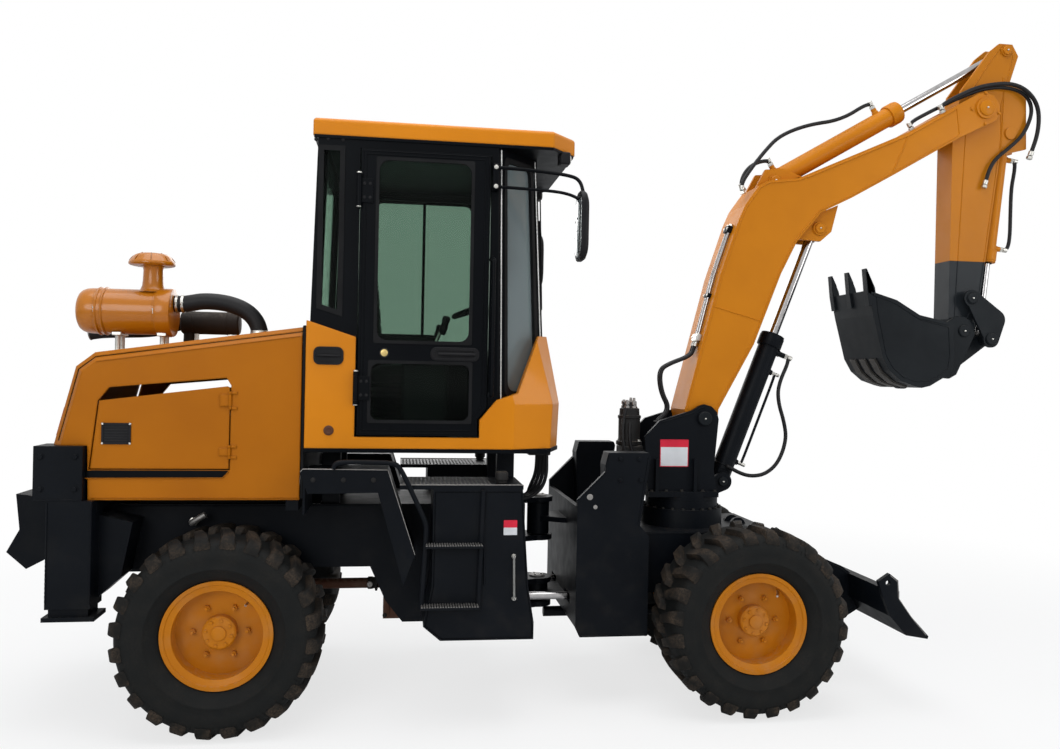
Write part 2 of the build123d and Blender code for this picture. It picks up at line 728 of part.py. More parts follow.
def make_boom():
    """Boom: bent box with a fork for the stick and lugs for both rams."""
    outline = ahead(
        (-207, 1455),
        (-227, 1541),
        (-35, 2300),
        (72, 2625),
        (108, 2710),
        (189, 2824),
        (245, 2857),
        (425, 2880),
        (1108, 3187),
        (1415, 3366),
        (1548, 3440),
        (1644, 3434),
        (1685, 3353),
        (1658, 3286),
        (1436, 3176),
        (1010, 2928),
        (758, 2785),
        (568, 2690),
        (424, 2516),
        (330, 2326),
        (175, 1918),
        (-28, 1544),
        (-36, 1460),
        (-122, 1408),
    )
    with BuildPart() as boom:
        plate(outline, -BOOM_HALF, BOOM_HALF)
        disc(STICK_PIN, BOOM_NOSE, -BOOM_HALF, BOOM_HALF)
        # fork for the stick and hollows around the rams
        plate(
            ahead((1318, 3000), (1318, 3500), (1768, 3500), (1768, 3000)),
            -STICK_HALF - 10,
            STICK_HALF + 10,
            Mode.SUBTRACT,
        )
        disc(BOOM_FOOT, ARM_PIN + PIN_FIT, -BOOM_HALF, BOOM_HALF, Mode.SUBTRACT)
        hull(STICK_RAM_BASE, 68, (WHEELBASE + 698, 3102), 68, -62, 62, Mode.SUBTRACT)
        disc(BOOM_RAM_EYE, 85, -62, 62, Mode.SUBTRACT)
        for hand in SIDES:
            plate(ahead((189, 2824), (245, 2930), (358, 2940), (468, 2900)), hand * 62, hand * 85)
            plate(
                ahead((465, 2536), (589, 2530), (655, 2588), (694, 2745), (568, 2690), (424, 2516)),
                hand * 62,
                hand * 85,
            )
            disc(STICK_PIN, 62, hand * BOOM_HALF, hand * (BOOM_HALF + 12))
            disc(STICK_RAM_BASE, 36, hand * 85, hand * 95)
            disc(BOOM_RAM_EYE, 40, hand * 85, hand * 95)
        disc(STICK_RAM_BASE, RAM_PIN, -85, 85)
        disc(STICK_PIN, ARM_PIN, -BOOM_HALF, BOOM_HALF)
    finish(boom, "boom")


def make_stick():
    """Stick: box with a horn for its ram and the bucket's ram bracket."""
    outline = ahead(
        (1418, 3180),
        (1468, 3467),
        (1649, 3715),
        (1713, 3768),
        (1798, 3768),
        (1838, 3700),
        (1741, 3400),
        (1741, 3180),
        (1648, 2470),
        (1618, 2256),
        (1578, 2180),
        (1558, 1990),
        (1493, 1965),
        (1428, 2000),
        (1413, 2103),
    )
    with BuildPart() as stick:
        plate(outline, -STICK_HALF, STICK_HALF)
        plate(
            ahead((1418, 3385), (1590, 3495), (1698, 3590), (1888, 3590), (1888, 3850), (1418, 3850)),
            -55,
            55,
            Mode.SUBTRACT,
        )
        for hand in SIDES:
            plate(ahead((1741, 3566), (1895, 3487), (1902, 3142), (1741, 3100)), hand * 50, hand * STICK_HALF)
            disc(BUCKET_RAM_BASE, 36, hand * STICK_HALF, hand * (STICK_HALF + 10))
            disc(STICK_RAM_EYE, 34, hand * STICK_HALF, hand * (STICK_HALF + 10))
        disc(STICK_PIN, ARM_PIN + PIN_FIT, -STICK_HALF, STICK_HALF, Mode.SUBTRACT)
        disc(BUCKET_PIN, ARM_PIN - 5 + PIN_FIT, -STICK_HALF, STICK_HALF, Mode.SUBTRACT)
        disc(BUCKET_RAM_BASE, RAM_PIN, -STICK_HALF, STICK_HALF)
        disc(ROCKER_PIN, RAM_PIN, -ROCKER_OUT, ROCKER_OUT)
    finish(stick, "stick")


def make_linkage():
    """Bucket linkage: curved rocker plates and the tie to the bucket."""
    bend = (WHEELBASE + 1683, 2100)
    with BuildPart() as rocker:
        for hand in SIDES:
            inner, outer = hand * ROCKER_IN, hand * ROCKER_OUT
            hull(ROCKER_PIN, 50, bend, 60, inner, outer)
            hull(bend, 60, CRANK_PIN, 50, inner, outer)
            hull(ROCKER_PIN, 40, CRANK_PIN, 40, inner, outer)
            disc(ROCKER_PIN, RAM_PIN + PIN_FIT, inner, outer, Mode.SUBTRACT)
            disc(CRANK_PIN, 34, hand * 60, inner)
    finish(rocker, "bucket_rocker")
    with BuildPart() as link:
        for hand in SIDES:
            hull(LINK_PIN, 40, CRANK_PIN, 40, hand * 34, hand * 54)
        disc(LINK_PIN, 40, -54, 54)
        disc(LINK_PIN, RAM_PIN + PIN_FIT, -54, 54, Mode.SUBTRACT)
    finish(link, "bucket_link")


def make_bucket():
    """Bucket: rolled shell with wear strips, side plates, lip, teeth and hinge ears."""
    shell = ahead(
        (818, 2240),
        (848, 2100),
        (913, 1855),
        (958, 1780),
        (1028, 1725),
        (1112, 1698),
        (1156, 1688),
        (1206, 1700),
        (1292, 1750),
        (1323, 1757),
        (1343, 1800),
        (1356, 1880),
        (1343, 2065),
        (1311, 2072),
        (1135, 2107),
        (991, 2189),
        (831, 2235),
    )
    inner = ahead(
        (823, 2300),
        (870, 2104),
        (935, 1862),
        (976, 1795),
        (1040, 1745),
        (1112, 1720),
        (1206, 1722),
        (1288, 1775),
        (1318, 1850),
        (1315, 2000),
        (1311, 2300),
    )
    strip = ahead(
        (922, 1858),
        (965, 1786),
        (1032, 1731),
        (1112, 1706),
        (1112, 1688),
        (1024, 1715),
        (951, 1771),
        (904, 1849),
    )
    ear = ahead(
        (1328, 2040),
        (1428, 2110),
        (1493, 2115),
        (1558, 2080),
        (1563, 2010),
        (1448, 1770),
        (1403, 1745),
        (1340, 1750),
        (1322, 1800),
    )
    with BuildPart() as bucket:
        plate(shell, -BUCKET_HALF, BUCKET_HALF)
        plate(inner, -BUCKET_HALF + 18, BUCKET_HALF - 18, Mode.SUBTRACT)
        for y in (-BUCKET_HALF + 22, 0, BUCKET_HALF - 22):
            tooth = ahead((824, 2150), (808, 2237), (795, 2363), (803, 2363), (855, 2256), (868, 2180))
            plate(tooth, y - 22, y + 22)
        for y in (-BUCKET_HALF / 2, 0, BUCKET_HALF / 2):
            plate(strip, y - 30, y + 30)
        for hand in SIDES:
            plate(ear, hand * 85, hand * 107)
        hull((WHEELBASE + 1150, 1716), 36, (WHEELBASE + 1166, 1716), 36, -20, 20)
        plate(inner, -BUCKET_HALF + 18, BUCKET_HALF - 18, Mode.SUBTRACT)
        disc(BUCKET_PIN, ARM_PIN - 5, -107, 107)
        disc(LINK_PIN, RAM_PIN, -107, 107)
    finish(bucket, "bucket")


def port_end(base, eye, offset, reach, turn=1):
    """Side-view point some way along a ram and some way out on its ports' side."""
    length = hypot(eye[0] - base[0], eye[1] - base[1])
    dx, dz = (eye[0] - base[0]) / length, (eye[1] - base[1]) / length
    return base[0] + dx * offset + turn * dz * reach, base[1] + dz * offset - turn * dx * reach


def on_face(start, end, low, high, reach, y_a, y_b):
    """Block on the face that runs upwards from one side-view point to another."""
    length = hypot(end[0] - start[0], end[1] - start[1])
    dx, dz = (end[0] - start[0]) / length, (end[1] - start[1]) / length
    corners = []
    for run, rise in ((low, HOSE_FIT), (high, HOSE_FIT), (high, reach), (low, reach)):
        corners.append((start[0] + dx * run - dz * rise, start[1] + dz * run + dx * rise))
    plate(corners, y_a, y_b)


def make_hoses():
    """Hoses and pipes of the arm, each group on the piece that carries it."""
    back_low, back_mid, back_high = ahead((-227, 1541), (-35, 2300), (72, 2625))
    with BuildPart() as boom_hoses:
        on_face(back_low, back_mid, 400, 440, 26, -95, -5)
        on_face(back_low, back_mid, 660, 684, 22, -72, -8)
        on_face(back_mid, back_high, 270, 310, 26, -72, -8)
        for y in (-20, -60):
            tube(((-140, y, 1930), (-47, y, 2304), (55, y, 2610)), PIPE, WHEELBASE)
        for y in (-40, -70):
            tube(
                (
                    (-140, y, 1946),
                    (-176, y, 1846),
                    (-358, y, 1776),
                    (-334, y, 1637),
                    (-262, y, 1536),
                    (-371, y, 1459),
                ),
                HOSE,
                WHEELBASE,
            )
        tube(
            (
                (1142.46, -97, 3207.32),
                (1119.79, -97, 3246.2),
                (1418, -97, 3408),
                (1640, -97, 3500),
                (1870, -97, 3492),
                (1950, -97, 3340),
                (1800, -97, 3162),
                (1640, -97, 3040),
                (1611, -97, 2888),
            ),
            HOSE,
            WHEELBASE,
        )
        tube(
            (
                (1323.87, -121, 3313.1),
                (1301.2, -121, 3351.98),
                (1569, -121, 3492),
                (1820, -121, 3532),
                (1980, -121, 3330),
                (1900, -102, 3075),
            ),
            HOSE,
            WHEELBASE,
        )
    finish(boom_hoses, "boom_hoses")
    with BuildPart() as ram_hoses:
        pins = (BOOM_RAM_BASE, BOOM_RAM_EYE)
        start, rise = (port_end(*pins, 821, 110 + lift) for lift in (HOSE_FIT, 34))
        tube(
            (
                (start[0] - WHEELBASE, 0, start[1]),
                (rise[0] - WHEELBASE, 0, rise[1]),
                (368, -35, 1690),
                (367, -40, 1590),
                (424, -50, 1370),
                (340, -60, 1200),
                (190, -56, 1150),
                (108, -50, 1170),
            ),
            HOSE,
            WHEELBASE,
        )
        bends = [port_end(*pins, offset, reach) for offset, reach in ((136, 74.2), (136, 99), (700, 99), (700, 74.2))]
        tube([(x, 0, z) for x, z in bends], PIPE)
    finish(ram_hoses, "boom_ram_hoses")
    with BuildPart() as stick_hoses:
        pins = (STICK_RAM_BASE, STICK_RAM_EYE)
        low, low_rise = (port_end(*pins, 65, 86 + lift, -1) for lift in (HOSE_FIT, 34))
        high, high_rise = (port_end(*pins, 800, 86 + lift, -1) for lift in (HOSE_FIT, 46))
        tube(
            (
                (135, -40, 2808),
                (114, -40, 2845),
                (145, -36, 2915),
                (220, -24, 2985),
                (low_rise[0] - WHEELBASE, 0, low_rise[1]),
                (low[0] - WHEELBASE, 0, low[1]),
            ),
            HOSE,
            WHEELBASE,
        )
        tube(
            (
                (109, -90, 2781),
                (96, -90, 2835),
                (150, -80, 2920),
                (340, -50, 3140),
                (520, -30, 3220),
                (740, -15, 3266),
                (high_rise[0] - WHEELBASE, 0, high_rise[1]),
                (high[0] - WHEELBASE, 0, high[1]),
            ),
            HOSE,
            WHEELBASE,
        )
    finish(stick_hoses, "stick_ram_hoses")
    with BuildPart() as bucket_hose:
        pins = (BUCKET_RAM_BASE, CRANK_PIN)
        stations = ((135, 72 + HOSE_FIT), (135, 112), (300, 104), (600, 136), (684, 112), (684, 72 + HOSE_FIT))
        route = [port_end(*pins, offset, reach, -1) for offset, reach in stations]
        tube([(x, 0, z) for x, z in route], HOSE)
    finish(bucket_hose, "bucket_ram_hose")


def make_blade():
    """Levelling blade: curved board, end plates with lifting ears and two deep arms."""
    end_plate = ahead(
        (636, 692),
        (697, 731),
        (745, 695),
        (752, 602),
        (821, 508),
        (919, 404),
        (914, 390),
        (794, 411),
        (706, 510),
        (657, 626),
    )
    board = ahead((752, 640), (752, 602), (821, 508), (919, 404), (914, 390), (794, 411), (706, 510), (698, 640))
    arm = ahead(
        (198, 510),
        (328, 640),
        (518, 735),
        (658, 680),
        (713, 640),
        (768, 440),
        (671, 383),
        (268, 372),
        (178, 400),
    )
    ear = (WHEELBASE + 689, 683)
    with BuildPart() as blade:
        plate(board, -BLADE_HALF, BLADE_HALF)
        for hand in SIDES:
            plate(end_plate, hand * (BLADE_HALF - 25), hand * BLADE_HALF)
            plate(arm, hand * 240, hand * 268)
            disc(ear, 13, hand * (BLADE_HALF - 25), hand * BLADE_HALF, Mode.SUBTRACT)
            disc(BLADE_PIVOT, BLADE_PIN + PIN_FIT, hand * 240, hand * 268, Mode.SUBTRACT)
        disc((WHEELBASE + 658, 620), 30, -240, 240)
        for hand in SIDES:
            hull(BLADE_RAM_EYE, 45, (WHEELBASE + 698, 590), 45, hand * 40, hand * 60)
    finish(blade, "blade")


# ---------------------------------------------------------------- cab
def cab_volume(inset, mode):
    """Outer form of the cab body, drawn in by an inset."""
    sections = (  # height, rear x, corner x, front x
        (CAB_FLOOR + (inset if inset else 0), CAB_REAR, CAB_CORNER, CAB_FRONT),
        (CAB_TOP - inset, CAB_REAR_TOP, CAB_CORNER - 20, CAB_FRONT_TOP),
    )
    levels = []
    for z, rear, corner, front in sections:
        with BuildSketch(plan(z)) as level:
            with BuildLine():
                Polyline(
                    (rear + inset, CAB_HALF - inset),
                    (corner - inset * 0.4, CAB_HALF - inset),
                    (front - inset, CAB_FRONT_HALF - inset * 0.6),
                    (front - inset, -CAB_FRONT_HALF + inset * 0.6),
                    (corner - inset * 0.4, -CAB_HALF + inset),
                    (rear + inset, -CAB_HALF + inset),
                    close=True,
                )
            make_face()
        levels.append(level.sketch.faces()[0])
    loft(levels, ruled=True, mode=mode)


def corner_plane(hand):
    """Plane on a slanting front corner of the cab, its normal outward."""
    dx, dy = CAB_FRONT - CAB_CORNER, CAB_FRONT_HALF - CAB_HALF
    length = hypot(dx, dy)
    middle = (REAR_AXLE_X + (CAB_CORNER + CAB_FRONT) / 2 - 15, hand * (CAB_HALF + CAB_FRONT_HALF) / 2, 0)
    return Plane(origin=middle, x_dir=(dx / length, hand * dy / length, 0), z_dir=(-dy / length, hand * dx / length, 0))


def cab_windows():
    """Solids that cut every fixed window of the cab."""
    with BuildPart() as windows:
        for hand in SIDES:
            plate(((418, 2800), (420, 2030), (520, 2000), (520, 2800)), hand * (CAB_HALF - 80), hand * (CAB_HALF + 40))
            with BuildSketch(corner_plane(hand)):
                with Locations((0, 2210)):
                    Rectangle(250, 1180)
            extrude(amount=90, both=True)
        block((635, 1250), (CAB_HALF - 80, CAB_HALF + 40), (1850, 2770))
        block((330, 480), (-430, 430), (1980, 2780))
        block((1420, 1640), (-270, 270), (1960, 2800))
    return windows.part


def make_cab():
    """Cab: black frame, yellow panels, roof cap, fixed glass, door and what stands inside."""
    windows = cab_windows()
    side_y = CAB_HALF + PANEL
    with BuildPart() as frame:
        cab_volume(0, Mode.ADD)
        cab_volume(CAB_WALL, Mode.SUBTRACT)
        add(windows, mode=Mode.SUBTRACT)
        opening = (-CAB_HALF - 40, 80 - CAB_HALF)
        block((DOOR_REAR - 6, DOOR_FRONT + 6), opening, (DOOR_LOW - 6, DOOR_TOP + 6), Mode.SUBTRACT)
        block((CAB_REAR + 5, 1560), (-520, 520), (CAB_FLOOR - 22, CAB_FLOOR))
        for low, high in DOOR_KNUCKLES:
            for z in (low - PIN_FIT - KNUCKLE_END, high + PIN_FIT):
                post((DOOR_HINGE[0], -DOOR_HINGE[1]), KNUCKLE, z, z + KNUCKLE_END)
                block((600.5, 608), (-CAB_HALF + 6, -DOOR_HINGE[1]), (z, z + KNUCKLE_END))
    finish(frame, "cab_frame")
    with BuildPart() as glass:
        cab_volume(12, Mode.ADD)
        cab_volume(20, Mode.SUBTRACT)
        add(windows, mode=Mode.INTERSECT)
    finish(glass, "cab_glass")
    with BuildPart() as panels:
        with BuildSketch(plan(CAB_FLOOR)):
            with BuildLine():
                Polyline(
                    (CAB_REAR, side_y), (1380, side_y), (1580, 480), (1645, 300),
                    (1645, -300), (1580, -480), (1380, -side_y), (CAB_REAR, -side_y), close=True,
                )
            make_face()
        with BuildSketch(plan(1571)):
            with BuildLine():
                Polyline(
                    (CAB_REAR, side_y), (1380, side_y), (1590, 480), (1654, 300),
                    (1654, -300), (1590, -480), (1380, -side_y), (CAB_REAR, -side_y), close=True,
                )
            make_face()
        loft(ruled=True)
        with BuildSketch(plan(1571)):
            with BuildLine():
                Polyline(
                    (CAB_REAR, side_y), (1380, side_y), (1590, 480), (1654, 300),
                    (1654, -300), (1590, -480), (1380, -side_y), (CAB_REAR, -side_y), close=True,
                )
            make_face()
        with BuildSketch(plan(1960)):
            with BuildLine():
                Polyline(
                    (CAB_REAR, side_y), (1290, side_y), (1490, 440), (1572, 300),
                    (1572, -300), (1490, -440), (1290, -side_y), (CAB_REAR, -side_y), close=True,
                )
            make_face()
        loft(ruled=True)
        plate(
            (
                (CAB_REAR, CAB_FLOOR),
                (CAB_REAR, 1962),
                (600, 1886),
                (600, 1402),
                (1207, 1402),
                (1207, 1490),
                (1290, 1590),
                (1400, 1625),
                (1517, 1919),
                (1700, 1930),
                (1700, CAB_FLOOR),
            ),
            -700,
            700,
            Mode.INTERSECT,
        )
        cab_volume(0, Mode.SUBTRACT)
    finish(panels, "cab_panels")
    with BuildPart() as roof:
        rim = ((378, 560), (1560, 560), (1690, 420), (1690, -420), (1560, -560), (378, -560))
        sheet(rim, CAB_TOP, ROOF_TOP)
        fillet(roof.edges().group_by(Axis.Z)[-1], 22)
        eye = ((-35, -5), (-22, 42), (22, 42), (35, -5))
        plate([(ROOF_EYE_X + x, ROOF_TOP + z) for x, z in eye], -6, 6)
        disc((ROOF_EYE_X, ROOF_TOP + 22), ROOF_EYE, -6, 6, Mode.SUBTRACT)
    finish(roof, "cab_roof")
    with BuildPart() as door:
        leaf = (
            (DOOR_REAR, DOOR_LOW),
            (1195, DOOR_LOW),
            (1195, 1492),
            (DOOR_FRONT, 1550),
            (DOOR_FRONT, DOOR_TOP),
            (DOOR_REAR, DOOR_TOP),
        )
        plate(leaf, -DOOR_IN, -DOOR_OUT)
        block((689, 1156), (-DOOR_IN, -DOOR_OUT), (1864, 2758), Mode.SUBTRACT)
        block((636 + 30, 1161), (-DOOR_IN, -DOOR_OUT), (1456 + 20, 1770), Mode.SUBTRACT)
        for low, high in DOOR_KNUCKLES:
            post((DOOR_HINGE[0], -DOOR_HINGE[1]), KNUCKLE, low, high)
            block((DOOR_HINGE[0], 670), (-DOOR_OUT, -DOOR_OUT - 8), (low, high))
    finish(door, "right_door")
    with BuildPart() as pane:
        block((689, 1156), (-DOOR_IN - 8, -DOOR_IN - 16), (1864, 2758))
        block((666, 1161), (-DOOR_IN - 8, -DOOR_IN - 16), (1476, 1770))
    finish(pane, "right_door_glass")
    with BuildPart() as seat:
        block((640, 1060), (-210, 210), (CAB_FLOOR + CAB_WALL, 1640))
        block((620, 1080), (-240, 240), (1640, 1760))
        plate(((600, 1700), (700, 1700), (640, 2350), (540, 2330)), -230, 230)
    finish(seat, "seat")
    with BuildPart() as controls:
        block((1250, 1360), (-60, 60), (CAB_FLOOR + CAB_WALL, 1900))
        plate(((1250, 1880), (1360, 1880), (1300, 2095), (1270, 2095)), -30, 30)
        with BuildSketch(Plane(origin=(REAR_AXLE_X + 1270, 0, 2085), x_dir=(0, 1, 0), z_dir=(-0.35, 0, 0.94))):
            Circle(190)
            Circle(160, mode=Mode.SUBTRACT)
            Rectangle(340, 30)
            Circle(40)
        extrude(amount=25)
        for hand in SIDES:
            block((820, 1060), (hand * 330, hand * 480), (CAB_FLOOR + CAB_WALL, 1800))
            plate(((960, 1800), (1000, 1800), (1060, 1990), (1030, 2000)), hand * 390, hand * 420)
    finish(controls, "controls")
    with BuildPart() as mirrors:
        for hand in SIDES:
            block((1250, 1280), (hand * CAB_HALF, hand * (CAB_HALF + 40)), (2627, 2759))
            wall = hand * (CAB_HALF + 30)
            tube(((1265, wall, 2740), (1506, wall, 2730), (1676, hand * (CAB_HALF + 75), 2704), (1690, hand * MIRROR_Y, 2600)), 9)
            tube(((1265, wall, 2645), (1480, wall, 2640), (1690, hand * MIRROR_Y, 2560)), 9)
            with BuildSketch(across(1664)) as head:
                with Locations((hand * MIRROR_Y, 2449)):
                    RectangleRounded(170, 342, 70)
            extrude(head.sketch, amount=42)
            rail = hand * (CAB_HALF + 48)
            tube(
                (
                    (1262, hand * (CAB_HALF + HOSE_FIT), 2287),
                    (1262, rail, 2287),
                    (1262, rail, 1612),
                    (1262, hand * (CAB_HALF + PANEL + HOSE_FIT), 1612),
                ),
                10,
            )
    finish(mirrors, "mirrors_and_rails")


# ---------------------------------------------------------------- engine end
def make_bonnet():
    """Bonnet: sloping cover with chamfered crests, side openings and slots, and its two side doors."""
    low = POST_TOP + 0.3
    profile = (
        (345, DECK_Z),
        (345, 1930),
        (-609, 1786),
        (-693, 1718),
        (-785, low),
        (HEAD_FRONT + 6, low),
        (HEAD_FRONT + 12, DECK_Z),
    )
    inner = (
        (360, DECK_Z - 1),
        (360, 1910),
        (-600, 1766),
        (-676, 1706),
        (-759, low + BONNET_WALL),
        (HEAD_FRONT + 28, low + BONNET_WALL),
        (HEAD_FRONT + 34, DECK_Z - 1),
    )
    shroud = ((HEAD_FRONT + 16, low), (-785, low), (-768, DECK_Z + 15), (HEAD_FRONT + 16, DECK_Z + 15))
    with BuildPart() as bonnet:
        plate(profile, -BONNET_HALF, BONNET_HALF)
        crests = [
            edge
            for edge in bonnet.edges()
            if abs(edge.center().Y) > BONNET_HALF - 1
            and edge.center().Z > 1500
            and edge.center().X < REAR_AXLE_X + 300
        ]
        chamfer(crests, BONNET_CREST)
        plate(inner, -BONNET_HALF + BONNET_WALL, BONNET_HALF - BONNET_WALL, Mode.SUBTRACT)
        plate(shroud, -POST_IN + 6, POST_IN - 6)
        for hand in SIDES:
            plate(
                ((-580, 1560), (-531, 1623), (-2, 1676), (20, 1640), (20, 1236), (-616, 1236)),
                hand * (BONNET_HALF - 30),
                hand * (BONNET_HALF + 10),
                Mode.SUBTRACT,
            )
            for low, high in COVER_KNUCKLES:
                for z in (low - PIN_FIT - COVER_END, high + PIN_FIT):
                    post((COVER_HINGE[0], hand * COVER_HINGE[1]), COVER_KNUCKLE, z, z + COVER_END)
                    block((COVER_HINGE[0], 50), (hand * BONNET_HALF, hand * (BONNET_HALF + 6)), (z, z + COVER_END))
    finish(bonnet, "bonnet")
    for hand, word in ((1, "left"), (-1, "right")):
        with BuildPart() as cover:
            plate(
                ((-573, 1560), (0, 1636), (14, 1630), (14, 1242), (-608, 1242)),
                hand * (BONNET_HALF - 18),
                hand * BONNET_HALF,
            )
            for low, high in COVER_KNUCKLES:
                post((COVER_HINGE[0], hand * COVER_HINGE[1]), COVER_KNUCKLE, low, high)
                block((-30, COVER_HINGE[0]), (hand * BONNET_HALF, hand * (BONNET_HALF + 6)), (low, high))
        finish(cover, word + "_bonnet_door")


def bonnet_top(x):
    """Height of a seat on the bonnet's sloping top."""
    return 1930 - (345 - x) * (1930 - 1786) / (345 + 609) + 0.3


def make_engine_end():
    """Engine block, air cleaner with its intake pipe, exhaust and tail lamps."""
    with BuildPart() as engine:
        block((-480, 200), (-230, 230), (RAIL_LOW + 90, 1480))
    finish(engine, "engine")
    with BuildPart() as cleaner:
        profile = (
            (-752, 0),
            (-752, 62),
            (-742, 92),
            (-716, 108),
            (-690, 112),
            (-658, 112),
            (-658, 120),
            (-629, 120),
            (-629, 112),
            (-378, 112),
            (-378, 120),
            (-308, 120),
            (-308, 0),
        )
        with BuildSketch(side(CLEANER_Y)) as section:
            with BuildLine():
                Polyline(*[(x, CLEANER_Z + r) for x, r in profile], close=True)
            make_face()
        revolve(section.sketch, axis=Axis((REAR_AXLE_X, CLEANER_Y, CLEANER_Z), (1, 0, 0)))
        post((-413, CLEANER_Y), 49, CLEANER_Z + 80, 2226)
        post((-419, CLEANER_Y), 110, 2221, 2252)
        post((-419, CLEANER_Y), 96, 2252, 2272)
        post((-419, CLEANER_Y), 60, 2272, 2290)
        for x in (-590, -380):
            foot = ((x, bonnet_top(x)), (x + 52, bonnet_top(x + 52)), (x + 52, 1900), (x, 1900))
            plate(foot, CLEANER_Y - 40, CLEANER_Y + 40)
    finish(cleaner, "air_cleaner")
    with BuildPart() as pipe:
        tube(
            (
                (-307.8, CLEANER_Y, 2040),
                (-240, CLEANER_Y, 2040),
                (-171, CLEANER_Y, 2058),
                (-29, CLEANER_Y, 2044),
                (78, CLEANER_Y, 1998),
                (110, CLEANER_Y, bonnet_top(110) + 9.2),
            ),
            42,
        )
    finish(pipe, "intake_pipe")
    with BuildPart() as exhaust:
        with BuildSketch(across(-330)):
            with Locations((-60, 1960)):
                Circle(60)
        extrude(amount=300)
        with BuildSketch(across(-790)):
            with Locations((-60, 1900)):
                Circle(30)
        extrude(amount=500)
        post((-290, -60), 30, bonnet_top(-260), 1960)
    finish(exhaust, "exhaust")
    with BuildPart() as lamps:
        for hand in SIDES:
            plate(((-755, 1523), (-742, 1523), (-775, 1390), (-788, 1390)), hand * 330, hand * 480)
    finish(lamps, "tail_lamps")


def make_side_gear():
    """Side tanks, steps, mudguards, driveline, ballast and outrigger legs."""
    with BuildPart() as tanks:
        for hand in SIDES:
            plate(
                ((985, 1160), (1417, 1160), (1452, 690), (1482, 515), (1482, 432), (1029, 434), (947, 503), (985, 700)),
                hand * RAIL_OUT,
                hand * TANK_OUT,
            )
            block((825, 1420), (hand * RAIL_OUT, hand * TANK_OUT), (1160, 1180))
            post((1320, hand * (TANK_OUT - 70)), 17, 1180, 1246)
    finish(tanks, "side_tanks")
    with BuildPart() as guards:
        for hand in SIDES:
            plate(
                ((374, 1240), (767, 1240), (903, 833), (893, 829), (760, 1230), (374, 1230)),
                hand * RAIL_OUT,
                hand * TANK_OUT,
            )
            plate(
                ((360, 1242), (373, 1256), (767, 1253), (902, 848), (849, 700), (722, 1144), (394, 1139)),
                hand * (TANK_OUT - 12),
                hand * TANK_OUT,
            )
            block((374, 384), (hand * RAIL_OUT, hand * TANK_OUT), (1040, 1230))
    finish(guards, "mudguards")
    with BuildPart() as steps:
        stile = -TANK_OUT - RAIL - 0.2
        for x, length, z in ((948, 276, 890), (930, 280, 600)):
            block((x, x + length), (-TANK_OUT - 80, -TANK_OUT - 0.2), (z, z + 12))
        tube(
            (
                (512, stile, 1258),
                (543, stile, 1291),
                (814, stile, 1288),
                (956, stile, 992),
                (936, stile, 590),
            ),
            RAIL,
        )
        tube(((1224, stile, 1160), (1208, stile, 582)), RAIL)
    finish(steps, "steps")
    with BuildPart() as driveline:
        block(GEARBOX_X, (-150, 150), (402, 800))
        block((800, 850), (-292, 292), (600, 640))
        with BuildSketch(across(NOSE_REACH + 0.3)):
            with Locations((0, REAR_SHAFT_Z)):
                Circle(SHAFT_RADIUS)
        extrude(amount=GEARBOX_X[0] - NOSE_REACH)
        with BuildSketch(across(GEARBOX_X[1] - 10)):
            with Locations((0, FRONT_SHAFT_Z + 15)):
                Circle(SHAFT_RADIUS + 20)
        extrude(amount=60)
        with BuildSketch(across(GEARBOX_X[1])):
            with Locations((0, FRONT_SHAFT_Z)):
                Circle(SHAFT_RADIUS)
        extrude(amount=PIVOT_X - 40 - GEARBOX_X[1])
    finish(driveline, "driveline")
    with BuildPart() as ballast:
        plate(
            (
                (-983, 1104),
                (-930, 1099),
                (-844, 1075),
                (POST_REAR, 1060),
                (POST_REAR, 815),
                (-835, 798),
                (-932, 746),
                (-1022, 828),
                (-965, 935),
            ),
            -420,
            420,
        )
    finish(ballast, "rear_ballast")
    for hand, word in ((1, "left"), (-1, "right")):
        with BuildPart() as leg:
            inset = POST_WALL + LEG_GAP
            width = (hand * (POST_IN + inset), hand * (POST_OUT - inset))
            block((POST_REAR + inset, POST_FRONT - inset), width, (FOOT_Z + 20, POST_HEAD - 20))
            block((POST_REAR + inset, HEAD_FRONT - inset), width, (FOOT_Z + 20, POST_TOP - 28))
            block((POST_REAR - 10, POST_FRONT + 20), (hand * POST_IN, hand * (POST_OUT + 10)), (FOOT_Z, FOOT_Z + 20))
        finish(leg, word + "_outrigger")


